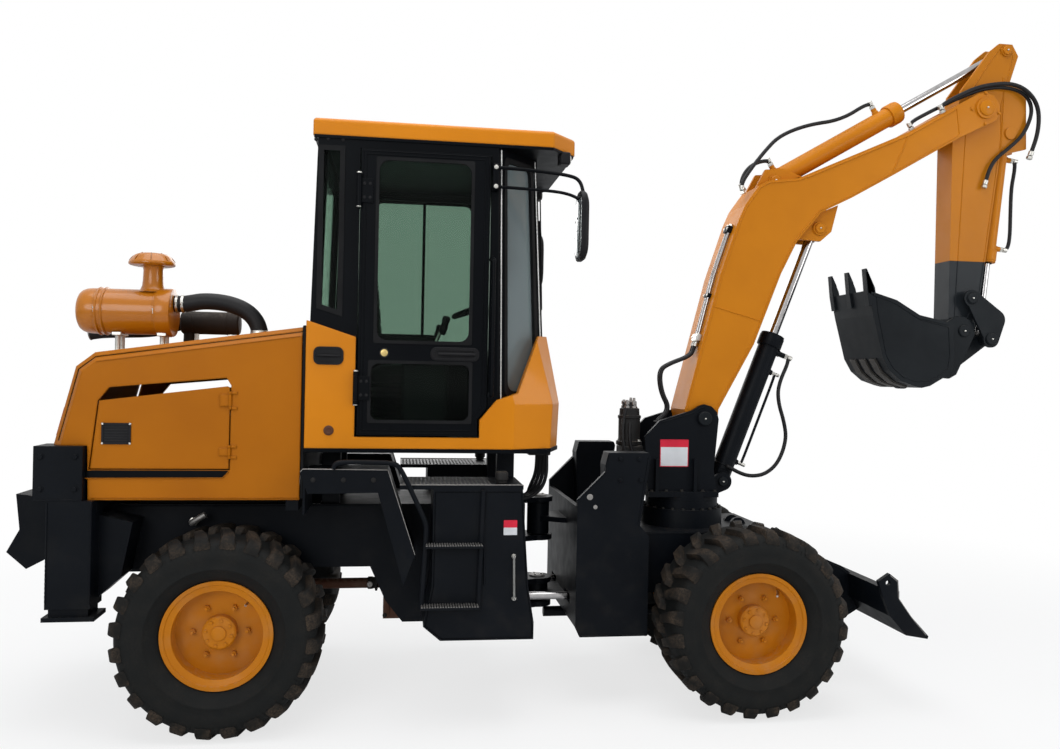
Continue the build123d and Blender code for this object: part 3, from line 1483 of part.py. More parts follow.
def main():
    os.makedirs("parts", exist_ok=True)
    ends = (
        (0, "rear", NOSE_REACH, REAR_SHAFT_Z, 0),
        (WHEELBASE, "front", -NOSE_REACH, FRONT_SHAFT_Z, PIVOT_X + 40 - WHEELBASE),
    )
    for x, end, nose, nose_z, reach in ends:
        for hand, word in ((1, "left"), (-1, "right")):
            make_tyre(end + "_" + word + "_tyre", x, hand)
            make_rim(end + "_" + word + "_rim", x, hand)
        make_axle(end + "_axle", x, nose, nose_z, reach)
    make_rear_frame()
    make_front_frame()
    for hand, word in ((1, "left"), (-1, "right")):
        make_steering(hand, word)
    make_turret()
    make_boom()
    make_barrel("boom_ram_barrel", BOOM_RAM_BASE, BOOM_RAM_EYE, 60, 27, 910, 50, ((821, 110), (136, 74), (700, 74)))
    make_rod("boom_ram_rod", BOOM_RAM_BASE, BOOM_RAM_EYE, 27, 400, 61.5, 45)
    make_stick()
    make_barrel("stick_ram_barrel", STICK_RAM_BASE, STICK_RAM_EYE, 56, 25, 930, 50, ((65, 86), (800, 86)), -1)
    make_rod("stick_ram_rod", STICK_RAM_BASE, STICK_RAM_EYE, 25, 605, 54.5, 42)
    make_linkage()
    make_hoses()
    make_barrel("bucket_ram_barrel", BUCKET_RAM_BASE, CRANK_PIN, 42, 21, 775, 40, ((135, 72), (684, 72)), -1)
    make_rod("bucket_ram_rod", BUCKET_RAM_BASE, CRANK_PIN, 21, 440, 33.5, 36)
    make_bucket()
    make_blade()
    make_barrel("blade_ram_barrel", BLADE_RAM_BASE, BLADE_RAM_EYE, 40, 20, 330, 32)
    make_rod("blade_ram_rod", BLADE_RAM_BASE, BLADE_RAM_EYE, 20, 160, 39.5, 36)
    make_cab()
    make_bonnet()
    make_engine_end()
    make_side_gear()


main()
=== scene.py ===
"""Dresses the wheeled excavator: paint, tyres, glass, hoses, fittings and what stands in the cab."""

import logging
import math
from dataclasses import dataclass
from enum import Enum
from typing import Sequence

import bpy
import numpy as np
from mathutils import Matrix, Vector


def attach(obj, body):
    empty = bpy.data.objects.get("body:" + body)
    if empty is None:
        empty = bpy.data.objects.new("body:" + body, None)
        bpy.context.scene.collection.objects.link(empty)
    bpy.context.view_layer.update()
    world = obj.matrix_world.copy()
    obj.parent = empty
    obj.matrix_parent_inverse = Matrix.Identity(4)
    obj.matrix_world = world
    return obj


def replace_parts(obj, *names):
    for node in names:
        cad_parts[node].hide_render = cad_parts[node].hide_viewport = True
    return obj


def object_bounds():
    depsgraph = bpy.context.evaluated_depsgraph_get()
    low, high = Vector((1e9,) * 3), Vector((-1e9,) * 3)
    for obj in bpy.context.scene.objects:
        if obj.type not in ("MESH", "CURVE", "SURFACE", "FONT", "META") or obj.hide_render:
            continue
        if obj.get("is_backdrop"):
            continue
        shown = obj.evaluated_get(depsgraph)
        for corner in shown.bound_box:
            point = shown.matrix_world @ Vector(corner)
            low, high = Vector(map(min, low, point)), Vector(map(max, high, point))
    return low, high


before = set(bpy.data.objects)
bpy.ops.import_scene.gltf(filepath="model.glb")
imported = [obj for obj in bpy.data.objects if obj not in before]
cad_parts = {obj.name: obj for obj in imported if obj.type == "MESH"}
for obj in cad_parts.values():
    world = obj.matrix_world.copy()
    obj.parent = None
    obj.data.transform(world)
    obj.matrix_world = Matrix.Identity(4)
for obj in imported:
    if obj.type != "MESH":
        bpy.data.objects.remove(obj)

LOG = logging.getLogger("excavator")
Point = Sequence[float]
Colour = tuple[float, float, float]
Side = tuple[int, str]
Socket = bpy.types.NodeSocket

MM_PER_M = 1000.0
REAR_AXLE_X = -1.818
WHEELBASE = 2.632
HALF_TRACK = 0.546
WHEEL_Z = 0.4825
FULL_TURN = 2 * math.pi
BOTH = ((1, "left"), (-1, "right"))


def at(x: float, z: float, y: float = 0.0) -> tuple[float, float, float]:
    """Row-frame point, in metres, from millimetres ahead of the rear axle, above ground and to the left."""
    return (REAR_AXLE_X + x / MM_PER_M, y / MM_PER_M, z / MM_PER_M)


def route(points: Sequence[Point]) -> list[tuple[float, float, float]]:
    """Row-frame points from (ahead, left, up) millimetres."""
    return [at(x, z, y) for x, y, z in points]


# ------------------------------------------------------------------ finishes
class NodeTools:
    """Short calls for laying out a material's nodes."""

    def __init__(self, name: str) -> None:
        """Starts a material with its shader, its output and object coordinates.

        Args:
            name: The material's name.
        """
        self.material = bpy.data.materials.new(name)
        self.material.use_nodes = True
        self.tree = self.material.node_tree
        self.tree.nodes.clear()
        self.output = self.add("ShaderNodeOutputMaterial")
        self.shader = self.add("ShaderNodeBsdfPrincipled")
        self.link(self.shader.outputs["BSDF"], self.output.inputs["Surface"])
        self.coords = self.add("ShaderNodeTexCoord").outputs["Object"]

    def add(self, kind: str, **values: object) -> bpy.types.Node:
        """New node with some of its properties set.

        Args:
            kind: The node's type.
            values: Property values by name.

        Returns:
            The node.
        """
        node = self.tree.nodes.new(kind)
        for key, value in values.items():
            setattr(node, key, value)
        return node

    def link(self, source: Socket, target: Socket) -> None:
        """Joins two sockets."""
        self.tree.links.new(source, target)

    def feed(self, target: Socket, value: object) -> None:
        """Gives an input a value, or joins it where the value is a socket."""
        if isinstance(value, Socket):
            self.link(value, target)
        else:
            target.default_value = value

    def shade(self, **values: object) -> None:
        """Sets the shader's inputs, with an underscore for each space in their names."""
        for key, value in values.items():
            self.feed(self.shader.inputs[key.replace("_", " ")], value)

    def colour(self, value: Socket) -> None:
        """Joins a colour to the shader."""
        self.shade(Base_Color=value)

    def noise(self, scale: float, detail: float = 3.0, stretch: Point = (1, 1, 1)) -> Socket:
        """Noise over object coordinates.

        Args:
            scale: Lumps per metre.
            detail: Octaves.
            stretch: Scale along each axis.

        Returns:
            The noise's factor socket.
        """
        mapping = self.add("ShaderNodeMapping")
        mapping.inputs["Scale"].default_value = stretch
        self.link(self.coords, mapping.inputs["Vector"])
        noise = self.add("ShaderNodeTexNoise")
        noise.inputs["Scale"].default_value = scale
        noise.inputs["Detail"].default_value = detail
        self.link(mapping.outputs["Vector"], noise.inputs["Vector"])
        return noise.outputs["Fac"]

    def ranged(self, source: Socket, smooth: bool = False, **ends: object) -> Socket:
        """Maps a socket from one range to another, clamped.

        Args:
            source: The socket to map.
            smooth: Eases in and out of the range.
            ends: From_Min, From_Max, To_Min and To_Max as numbers or sockets; 0 and 1 where left out.

        Returns:
            The mapped socket.
        """
        node = self.add("ShaderNodeMapRange", interpolation_type="SMOOTHSTEP" if smooth else "LINEAR")
        for key, value in ends.items():
            self.feed(node.inputs[key.replace("_", " ")], value)
        self.link(source, node.inputs["Value"])
        return node.outputs["Result"]

    def ramp(self, source: Socket, low: float, high: float) -> Socket:
        """Stretches low..high of a socket to 0..1, clamped."""
        return self.ranged(source, From_Min=low, From_Max=high)

    def times(self, a: Socket, b: Socket | float) -> Socket:
        """Product of a socket and a socket or number."""
        node = self.add("ShaderNodeMath", operation="MULTIPLY")
        self.link(a, node.inputs[0])
        self.feed(node.inputs[1], b)
        return node.outputs[0]

    def mix(self, factor: Socket, a: Socket | Colour, b: Socket | Colour) -> Socket:
        """Mixes two colours, each a socket or a triple."""
        node = self.add("ShaderNodeMix", data_type="RGBA")
        self.link(factor, node.inputs[0])
        for socket, value in ((node.inputs[6], a), (node.inputs[7], b)):
            self.feed(socket, value if isinstance(value, Socket) else (*value, 1.0))
        return node.outputs[2]

    def bump(self, height: Socket, distance: float, edge: float = 0.0) -> None:
        """Gives the shader a bumped normal.

        Args:
            height: The relief, 0 to 1.
            distance: Depth of the relief in metres.
            edge: Radius in metres to which sharp edges are rounded under the relief; none at 0.
        """
        node = self.add("ShaderNodeBump")
        node.inputs["Distance"].default_value = distance
        self.link(height, node.inputs["Height"])
        if edge:
            bevel = self.add("ShaderNodeBevel", samples=4)
            bevel.inputs["Radius"].default_value = edge
            self.link(bevel.outputs["Normal"], node.inputs["Normal"])
        self.shade(Normal=node.outputs["Normal"])

    def upward(self) -> Socket:
        """How far the surface faces up, from 0 to 1."""
        split = self.add("ShaderNodeSeparateXYZ")
        self.link(self.add("ShaderNodeNewGeometry").outputs["Normal"], split.inputs[0])
        return self.ramp(split.outputs["Z"], 0.3, 1.0)

    def reach(self, axis: str, low: float, high: float) -> Socket:
        """Place along one axis of the object from low to high, as 0 to 1."""
        split = self.add("ShaderNodeSeparateXYZ")
        self.link(self.coords, split.inputs[0])
        return self.ramp(split.outputs[axis], low, high)

    def blend(self, factor: Socket, first: bpy.types.Node, second: bpy.types.Node) -> None:
        """Sends a mix of two shaders to the surface: the second one by the factor."""
        node = self.add("ShaderNodeMixShader")
        for socket, source in zip(node.inputs, (factor, first.outputs[0], second.outputs[0])):
            self.link(source, socket)
        self.link(node.outputs[0], self.output.inputs["Surface"])


@dataclass(frozen=True)
class Paint:
    """Sprayed paint: slow change of tone, orange-peel surface, soft edges and a film of dust on top."""

    name: str
    colour: Colour
    shade: Colour
    dust: Colour = (0.32, 0.27, 0.20)
    dust_amount: float = 0.10
    roughness: float = 0.42
    coat: float = 0.0
    coat_roughness: float = 0.12
    edge: float = 0.003
    specular: float = 0.25
    foot: Colour | None = None
    foot_height: float = 0.0
    foot_fade: float = 0.002
    peel: float = 0.00012
    splash: tuple[float, float] = (1.3, 0.2)

    def build(self) -> bpy.types.Material:
        """Lays the coats: tone, another colour below foot_height, dust on top and splashes low down.

        Returns:
            The paint's material.
        """
        tools = NodeTools(self.name)
        base = tools.mix(tools.ramp(tools.noise(2.3, 4.0), 0.35, 0.7), self.colour, self.shade)
        if self.foot is not None:
            above = tools.reach("Z", self.foot_height - self.foot_fade, self.foot_height + self.foot_fade)
            base = tools.mix(above, self.foot, base)
        specks = tools.ramp(tools.noise(55.0, 6.0), 0.45, 0.72)
        film = tools.times(tools.times(tools.upward(), specks), self.dust_amount * 2.0)
        base = tools.mix(film, base, self.dust)
        spots = tools.times(tools.ramp(tools.noise(9.0, 5.0), 0.5, 0.75), tools.reach("Z", *self.splash))
        tools.colour(tools.mix(tools.times(spots, self.dust_amount), base, self.dust))
        rough = tools.ranged(tools.noise(14.0, 5.0), To_Min=self.roughness - 0.07, To_Max=self.roughness + 0.13)
        tools.shade(Roughness=rough, Specular_IOR_Level=self.specular)
        tools.shade(Coat_Weight=self.coat, Coat_Roughness=self.coat_roughness)
        tools.bump(tools.noise(260.0, 2.0), self.peel, self.edge)
        return tools.material


@dataclass(frozen=True)
class Metal:
    """Bare or plated metal, with fine marks along it."""

    name: str
    colour: Colour
    roughness: float
    marks: float = 0.05
    edge: float = 0.001
    shadow: float = 0.72

    def build(self) -> bpy.types.Material:
        """Returns the metal's material."""
        tools = NodeTools(self.name)
        darker = tuple(channel * self.shadow for channel in self.colour)
        tools.colour(tools.mix(tools.ramp(tools.noise(30.0, 5.0), 0.3, 0.75), self.colour, darker))
        rough = tools.ranged(tools.noise(90.0, 4.0), To_Min=self.roughness, To_Max=self.roughness + self.marks * 2)
        tools.shade(Metallic=1.0, Roughness=rough)
        tools.bump(tools.noise(420.0, 3.0), 0.001 * self.marks, self.edge)
        return tools.material


@dataclass(frozen=True)
class Rubber:
    """Rubber: nearly black, dusty where it is worn, with a fine grain."""

    name: str
    colour: Colour
    dust: Colour
    dusty: float
    grain: float = 0.0006
    roughness: float = 0.72

    def build(self) -> bpy.types.Material:
        """Returns the rubber's material."""
        tools = NodeTools(self.name)
        patches = tools.ramp(tools.noise(11.0, 6.0), 0.42, 0.68)
        fine = tools.ramp(tools.noise(120.0, 4.0), 0.3, 0.8)
        tools.colour(tools.mix(tools.times(tools.times(patches, fine), self.dusty), self.colour, self.dust))
        tools.shade(Roughness=self.roughness, Specular_IOR_Level=0.18)
        tools.bump(tools.noise(150.0, 5.0), self.grain)
        return tools.material


@dataclass(frozen=True)
class Moulded:
    """Moulded plastic or vinyl with a pebbled grain."""

    name: str
    colour: Colour
    roughness: float = 0.5
    grain: float = 0.0003
    scale: float = 300.0
    edge: float = 0.0015

    def build(self) -> bpy.types.Material:
        """Returns the plastic's material."""
        tools = NodeTools(self.name)
        lighter = tuple(channel * 1.35 + 0.004 for channel in self.colour)
        tools.colour(tools.mix(tools.ramp(tools.noise(6.0, 4.0), 0.3, 0.7), self.colour, lighter))
        tools.shade(Roughness=self.roughness, Specular_IOR_Level=0.12)
        tools.bump(tools.noise(self.scale, 2.0), self.grain, self.edge)
        return tools.material


@dataclass(frozen=True)
class Glazing:
    """Tinted safety glass: mostly clear, more mirror-like at a slant, and ahead of a line across x painted with a light
    grey-blue sheen that stands for reflected light.
    """

    name: str
    tint: Colour
    clear: float
    painted_sheen_share: float
    painted_sheen_from: float
    # Painted reflection: light grey-blue colour that stands for the bright surroundings reflected in the glass ahead of
    # the line.
    painted_sheen: Colour = (0.30, 0.35, 0.37)
    painted_sheen_fade: float = 0.01

    def build(self) -> bpy.types.Material:
        """Mixes a see-through part with a glossy part that takes over at a slant and where the reflection is painted
        on.

        Returns:
            The glass's material.
        """
        tools = NodeTools(self.name)
        film = tools.ramp(tools.noise(3.0, 2.0), 0.3, 0.8)
        low, high = (tuple(channel * share for channel in self.tint) for share in (0.02, 0.06))
        # Painted reflection: ahead of this line the glass's colour turns to the light grey-blue sheen, and its glossy
        # share rises.
        ahead = tools.reach("X", self.painted_sheen_from - self.painted_sheen_fade, self.painted_sheen_from + self.painted_sheen_fade)
        tools.colour(tools.mix(ahead, tools.mix(film, low, high), self.painted_sheen))
        tools.shade(Roughness=tools.ranged(film, To_Min=0.03, To_Max=0.07))
        tools.bump(tools.noise(1.5, 1.0), 0.0004)
        see = tools.add("ShaderNodeBsdfTransparent")
        see.inputs["Color"].default_value = (*self.tint, 1.0)
        facing = tools.add("ShaderNodeLayerWeight")
        facing.inputs["Blend"].default_value = 0.2
        gloss = 1.0 - self.clear
        least = tools.ranged(ahead, To_Min=gloss, To_Max=max(self.painted_sheen_share, gloss))
        amount = tools.ranged(facing.outputs["Fresnel"], To_Min=least, To_Max=0.7)
        tools.blend(amount, see, tools.shader)
        return tools.material


@dataclass(frozen=True)
class Lens:
    """Coloured lamp lens with moulded ribs."""

    name: str
    colour: Colour
    shadow: float = 0.55

    def build(self) -> bpy.types.Material:
        """Returns the lens's material."""
        tools = NodeTools(self.name)
        ribs = tools.noise(240.0, 1.0, (0.1, 1, 0.1))
        tools.colour(tools.mix(ribs, self.colour, tuple(channel * self.shadow for channel in self.colour)))
        tools.shade(Roughness=0.12, Coat_Weight=0.8)
        tools.bump(ribs, 0.0008)
        return tools.material


class Look(Enum):
    """Every finish on the machine."""

    CLEANER_YELLOW = Paint(
        "air cleaner yellow", (0.42, 0.135, 0.003), (0.37, 0.115, 0.002), dust_amount=0.02, roughness=0.30, coat=0.40,
        edge=0.010, specular=0.20,
    )
    CAB_YELLOW = Paint(
        "cab yellow", (0.60, 0.200, 0.003), (0.54, 0.175, 0.002), dust_amount=0.02, roughness=0.34, coat=0.16,
        edge=0.016, specular=0.12,
    )
    BONNET_YELLOW = Paint(
        "bonnet yellow", (0.39, 0.122, 0.002), (0.345, 0.104, 0.0015), dust_amount=0.03, coat=0.03, edge=0.012,
        specular=0.10,
    )
    ARM_YELLOW = Paint(
        "arm yellow", (0.52, 0.178, 0.006), (0.46, 0.153, 0.005), dust_amount=0.03, coat=0.04, specular=0.10
    )
    STICK_PAINT = Paint(
        "stick paint", (0.48, 0.164, 0.006), (0.43, 0.145, 0.005), dust_amount=0.03, coat=0.04, specular=0.10,
        foot=(0.014, 0.017, 0.020), foot_height=2.45,
    )
    RIM_YELLOW = Paint(
        "rim yellow", (0.50, 0.168, 0.004), (0.41, 0.132, 0.004), dust_amount=0.16, coat=0.05, specular=0.12
    )
    FRAME_BLACK = Paint(
        "frame blue-black", (0.0020, 0.0030, 0.0048), (0.0042, 0.0054, 0.0076), dust_amount=0.02, specular=0.08
    )
    CAB_BLACK = Paint(
        "cab black", (0.0010, 0.0016, 0.0026), (0.0018, 0.0025, 0.0036), dust_amount=0.008, roughness=0.36,
        specular=0.06,
    )
    BUCKET_BLACK = Paint(
        "bucket black", (0.0030, 0.0045, 0.0062), (0.0075, 0.0098, 0.012), dust_amount=0.06, roughness=0.50,
        specular=0.12,
    )
    PRIMER = Paint("brown primer", (0.085, 0.030, 0.014), (0.055, 0.022, 0.012), dust_amount=0.15, roughness=0.6)
    CASTING = Paint("casting black", (0.007, 0.007, 0.0075), (0.013, 0.012, 0.011), roughness=0.6, specular=0.2)
    MUFFLER = Paint("muffler black", (0.010, 0.0095, 0.009), (0.026, 0.017, 0.012), roughness=0.62, specular=0.2)
    CHROME = Metal("rod chrome", (0.44, 0.43, 0.43), 0.12, 0.02)
    ZINC = Metal("zinc plate", (0.62, 0.61, 0.57), 0.28, 0.08)
    BRASS = Metal("lock brass", (0.72, 0.55, 0.22), 0.25)
    RUBBED_STEEL = Metal("rubbed steel", (0.085, 0.080, 0.074), 0.50, 0.15)
    WORN_STEEL = Metal("worn steel", (0.30, 0.29, 0.28), 0.42, 0.15)
    MIRROR = Metal("mirror silver", (0.86, 0.88, 0.88), 0.03, 0.01)
    TYRE = Rubber("tyre rubber", (0.0032, 0.0038, 0.0038), (0.05, 0.040, 0.030), 0.16)
    TREAD = Rubber("tread rubber", (0.0050, 0.0046, 0.0040), (0.095, 0.066, 0.044), 0.75, 0.0012)
    HOSE = Rubber("hose rubber", (0.008, 0.008, 0.009), (0.05, 0.045, 0.04), 0.15, 0.0002, 0.48)
    TRIM = Moulded("black trim", (0.006, 0.006, 0.007))
    SEAL = Moulded("rubber seal", (0.0022, 0.0024, 0.003), 0.6, 0.0002)
    VENT = Moulded("vent mesh", (0.012, 0.012, 0.013), 0.6, 0.0008, 520.0)
    SEAT = Moulded("seat vinyl", (0.010, 0.010, 0.011), 0.55, 0.0005, 220.0)
    # Ahead of x = -0.53 m this glass takes a painted light grey-blue reflection.
    GLASS = Glazing("tinted glass", (0.61, 0.70, 0.645), 0.94, 0.42, -0.53)
    RED_LENS = Lens("red lens", (0.55, 0.02, 0.015))
    GAUGE_GLASS = Lens("gauge glass", (0.20, 0.20, 0.19))
    CLEAR_LENS = Lens("clear lens", (0.75, 0.75, 0.72))
    WHITE_LABEL = Moulded("white label", (0.52, 0.53, 0.55), 0.4, 0.0001)
    RED_LABEL = Moulded("red label", (0.50, 0.018, 0.04), 0.4, 0.0001)

    @property
    def material(self) -> bpy.types.Material:
        """The finish's material, made when it is first asked for."""
        made = bpy.data.materials.get(self.value.name)
        return made if made is not None else self.value.build()


# ------------------------------------------------------------------ surfaces
def turn_outwards(mesh: bpy.types.Mesh) -> None:
    """Flips a closed mesh whose faces look inwards, which its signed volume tells.

    Args:
        mesh: The mesh, changed in place.
    """
    places = np.empty(len(mesh.vertices) * 3)
    mesh.vertices.foreach_get("co", places)
    places = places.reshape(-1, 3) - places.reshape(-1, 3).mean(axis=0)
    mesh.calc_loop_triangles()
    corners = np.empty(len(mesh.loop_triangles) * 3, dtype=np.int32)
    mesh.loop_triangles.foreach_get("vertices", corners)
    a, b, c = np.moveaxis(places[corners.reshape(-1, 3)], 1, 0)
    if np.einsum("ij,ij->", a, np.cross(b, c)) < 0:
        mesh.flip_normals()


def add_mesh(
    name: str, points: np.ndarray, faces: list, look: Look, body: str = "chassis", smooth: float = 35.0
) -> bpy.types.Object:
    """Puts a surface into the scene on a body, with its faces turned outwards.

    Args:
        name: Piece name.
        points: Row-frame points in metres, in any shape whose last axis is (x, y, z).
        faces: Vertex indices of each face, either way round as long as all go the same way.
        look: The finish.
        body: CAD body that it rides.
        smooth: Angle in degrees under which edges shade smooth.

    Returns:
        The new object.
    """
    mesh = bpy.data.meshes.new(name)
    mesh.from_pydata(np.asarray(points, float).reshape(-1, 3).tolist(), [], faces)
    mesh.update()
    turn_outwards(mesh)
    mesh.polygons.foreach_set("use_smooth", [True] * len(mesh.polygons))
    mesh.set_sharp_from_angle(angle=math.radians(smooth))
    thing = bpy.data.objects.new(name, mesh)
    bpy.context.collection.objects.link(thing)
    mesh.materials.append(look.material)
    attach(thing, body)
    LOG.info("piece %s on %s: %d points, %s", name, body, len(mesh.vertices), look.value.name)
    return thing


def grid_faces(rows: int, columns: int, wrap_rows: bool = False, wrap_columns: bool = False, start: int = 0) -> list:
    """Quads over a grid of points stored row by row.

    Args:
        rows: Rows in the grid.
        columns: Columns in the grid.
        wrap_rows: Joins the last row to the first.
        wrap_columns: Joins the last column to the first.
        start: Index of the first point.

    Returns:
        A list of four-index faces.
    """
    i = np.arange(rows if wrap_rows else rows - 1)[:, None]
    j = np.arange(columns if wrap_columns else columns - 1)[None, :]
    a = i * columns + j
    b = i * columns + (j + 1) % columns
    c = ((i + 1) % rows) * columns + (j + 1) % columns
    d = ((i + 1) % rows) * columns + j
    return (np.stack([a, b, c, d], -1).reshape(-1, 4) + start).tolist()


def capped(rows: int, columns: int, start: int = 0) -> list:
    """Faces of a closed barrel whose rings of points are stored one after another.

    Args:
        rows: Number of rings.
        columns: Points in a ring.
        start: Index of the first point.

    Returns:
        The skin's quads and the two end faces.
    """
    last = start + (rows - 1) * columns
    ends = [list(range(start, start + columns))[::-1], list(range(last, last + columns))]
    return grid_faces(rows, columns, wrap_columns=True, start=start) + ends


def around(count: int, start: float = 0.0) -> np.ndarray:
    """Equal angles round a full turn from a starting angle."""
    return np.linspace(0, FULL_TURN, count, endpoint=False) + start


def square_to(direction: np.ndarray) -> tuple[np.ndarray, np.ndarray]:
    """Two unit vectors square to a direction and to each other."""
    seed = np.array([0.0, 0.0, 1.0]) if abs(direction[2]) < 0.9 else np.array([1.0, 0.0, 0.0])
    across = np.cross(direction, seed)
    across /= np.linalg.norm(across)
    return across, np.cross(direction, across)


def swept(path: np.ndarray, radii: np.ndarray, sides: int) -> tuple[np.ndarray, list]:
    """Round tube: point(u, v) = path(u) + radius(u) (cos v across + sin v up), with closed ends.

    The two normals turn as little as possible from point to point.

    Args:
        path: (n, 3) points in metres.
        radii: Radius at each point.
        sides: Facets round the tube.

    Returns:
        The points and the faces.
    """
    tangent = np.gradient(path, axis=0)
    tangent /= np.linalg.norm(tangent, axis=1)[:, None]
    across = np.zeros_like(path)
    current = np.array([0.0, 1.0, 0.0]) if abs(tangent[0][1]) < 0.9 else np.array([1.0, 0.0, 0.0])
    for index, direction in enumerate(tangent):
        current = current - direction * current.dot(direction)
        current = current / np.linalg.norm(current)
        across[index] = current
    up = np.cross(tangent, across)
    v = around(sides)[None, :, None]
    ring = np.cos(v) * across[:, None] + np.sin(v) * up[:, None]
    return path[:, None] + ring * radii[:, None, None], capped(len(path), sides)


def spline(points: Sequence[Point], count: int) -> np.ndarray:
    """Smooth curve near a route: a uniform quadratic B-spline whose ends lie on the first and last point.

    Args:
        points: The route's corners.
        count: Points asked for before both half spans outside the ends are dropped.

    Returns:
        (n, 3) points on the curve.
    """
    control = np.asarray(points, float)
    control = np.vstack([2 * control[0] - control[1], control, 2 * control[-1] - control[-2]])
    spans = len(control) - 2
    u = np.linspace(0, spans - 1e-9, count)
    i = u.astype(int)
    t = (u - i)[:, None]
    a, b, c = control[i], control[i + 1], control[i + 2]
    curve = 0.5 * (1 - t) ** 2 * a + (0.5 + t - t * t) * b + 0.5 * t * t * c
    return curve[(u >= 0.5) & (u <= spans - 0.5)]


def tube(
    name: str, points: Sequence[Point], radius: float, look: Look, body: str = "chassis", sides: int = 14
) -> bpy.types.Object:
    """Pipe or hose of one radius along a smooth route, all in metres."""
    path = spline(points, max(24, 10 * len(points)))
    return add_mesh(name, *swept(path, np.full(len(path), radius), sides), look, body)


def rod(
    name: str, a: Point, b: Point, profile: Sequence[Point], look: Look, body: str = "chassis", sides: int = 28
) -> bpy.types.Object:
    """Turned piece: centre(share) + radius (cos v across + sin v up), closed at both ends.

    Args:
        name: Piece name.
        a: Start of the axis in metres.
        b: End of the axis.
        profile: (share of the length, radius in metres) pairs.
        look: The finish.
        body: CAD body that it rides.
        sides: Facets round the axis.

    Returns:
        The new object.
    """
    start, end = np.asarray(a, float), np.asarray(b, float)
    across, up = square_to((end - start) / np.linalg.norm(end - start))
    share, radius = np.asarray(profile, float).T[:, :, None]
    v = around(sides)[None, :, None]
    centre = start + share * (end - start)
    points = centre[:, None] + (np.cos(v) * across + np.sin(v) * up) * radius[:, None]
    return add_mesh(name, points, capped(len(profile), sides), look, body)


def slab(
    name: str, outline: Sequence[Point], y: Point, look: Look, body: str = "chassis", edge: float = 0.003
) -> bpy.types.Object:
    """Flat plate with rounded edges.

    Args:
        name: Piece name.
        outline: Side-view outline in (ahead, up) millimetres.
        y: The two faces, in millimetres to the left.
        look: The finish.
        body: CAD body that it rides.
        edge: Radius of the edges in metres.

    Returns:
        The new object.
    """
    points = [at(x, z, level) for level in sorted(y) for x, z in outline]
    thing = add_mesh(name, np.array(points), capped(2, len(outline)), look, body)
    bevel = thing.modifiers.new("edges", "BEVEL")
    bevel.width = edge
    bevel.segments = 2
    bevel.limit_method = "ANGLE"
    bevel.angle_limit = math.radians(40)
    return thing


def brick(
    name: str, low: Point, high: Point, look: Look, body: str = "chassis", edge: float = 0.003
) -> bpy.types.Object:
    """Upright block with rounded edges from two corners in (ahead, left, up) millimetres."""
    outline = [(low[0], low[2]), (high[0], low[2]), (high[0], high[2]), (low[0], high[2])]
    return slab(name, outline, (low[1], high[1]), look, body, edge)


def knob(
    name: str, centre: Point, axis: Point, radius: float, height: float, look: Look, body: str, sides: int = 20
) -> bpy.types.Object:
    """Low round boss with a chamfered rim, standing on a surface at centre, in metres."""
    end = np.asarray(centre, float) + np.asarray(axis, float) * height
    return rod(name, centre, end, [(0, radius), (0.75, radius), (1.0, radius * 0.82)], look, body, sides)


def bolts(
    name: str, places: Sequence[Point], axis: Point, radius: float, height: float, look: Look, body: str = "chassis"
) -> bpy.types.Object:
    """Hexagon bolt heads with round washers under them, all in one piece.

    Args:
        name: Piece name.
        places: Row-frame centres of the seats.
        axis: Direction the heads stand out.
        radius: Across-corners radius.
        height: Height of the head.
        look: The finish.
        body: CAD body that they ride.

    Returns:
        The new object.
    """
    direction = np.asarray(axis, float)
    across, up = square_to(direction)
    washer, head = ((0.0, 1.35), (0.16, 1.35)), ((0.16, 1.0), (0.85, 1.0), (1.0, 0.86))
    vertices, faces = [], []
    for place in places:
        for sides, layers in ((16, washer), (6, head)):
            v = around(sides)[:, None]
            circle = np.cos(v) * across + np.sin(v) * up
            faces += capped(len(layers), sides, len(vertices))
            for rise, share in layers:
                vertices.extend(np.asarray(place) + direction * height * rise + circle * radius * share)
    return add_mesh(name, np.array(vertices), faces, look, body)


def ring(
    name: str, outer: Sequence[Point], inner: Sequence[Point], y: Point, look: Look, body: str = "chassis"
) -> bpy.types.Object:
    """Flat frame between two side-view outlines.

    Args:
        name: Piece name.
        outer: Outer outline in (ahead, up) millimetres.
        inner: Inner outline, point for point with the outer one.
        y: The two faces, in millimetres to the left.
        look: The finish.
        body: CAD body that it rides.

    Returns:
        The new object.
    """
    loops = ((outer, y[0]), (inner, y[0]), (inner, y[1]), (outer, y[1]))
    points = np.array([at(x, z, level) for loop, level in loops for x, z in loop])
    return add_mesh(name, points, grid_faces(4, len(outer), wrap_rows=True, wrap_columns=True), look, body)


def round_rectangle(x: Point, z: Point, radius: float, steps: int = 6) -> list:
    """Outline of an upright rectangle with rounded corners, in millimetres.

    Args:
        x: Rear and front edge.
        z: Lower and upper edge.
        radius: Radius of the corners.
        steps: Points round each corner.

    Returns:
        The outline as (ahead, up) points.
    """
    turn = np.linspace(0, math.pi / 2, steps)
    corners = ((x[1] - radius, z[1] - radius), (x[0] + radius, z[1] - radius), (x[0] + radius, z[0] + radius))
    corners += ((x[1] - radius, z[0] + radius),)
    outline = []
    for quarter, (cx, cz) in enumerate(corners):
        outline += [(cx + radius * math.cos(a), cz + radius * math.sin(a)) for a in turn + quarter * math.pi / 2]
    return outline


def grown(x: Point, z: Point, radius: float, by: float) -> list:
    """The same rounded rectangle grown outwards by a margin."""
    return round_rectangle((x[0] - by, x[1] + by), (z[0] - by, z[1] + by), max(radius + by, 1))


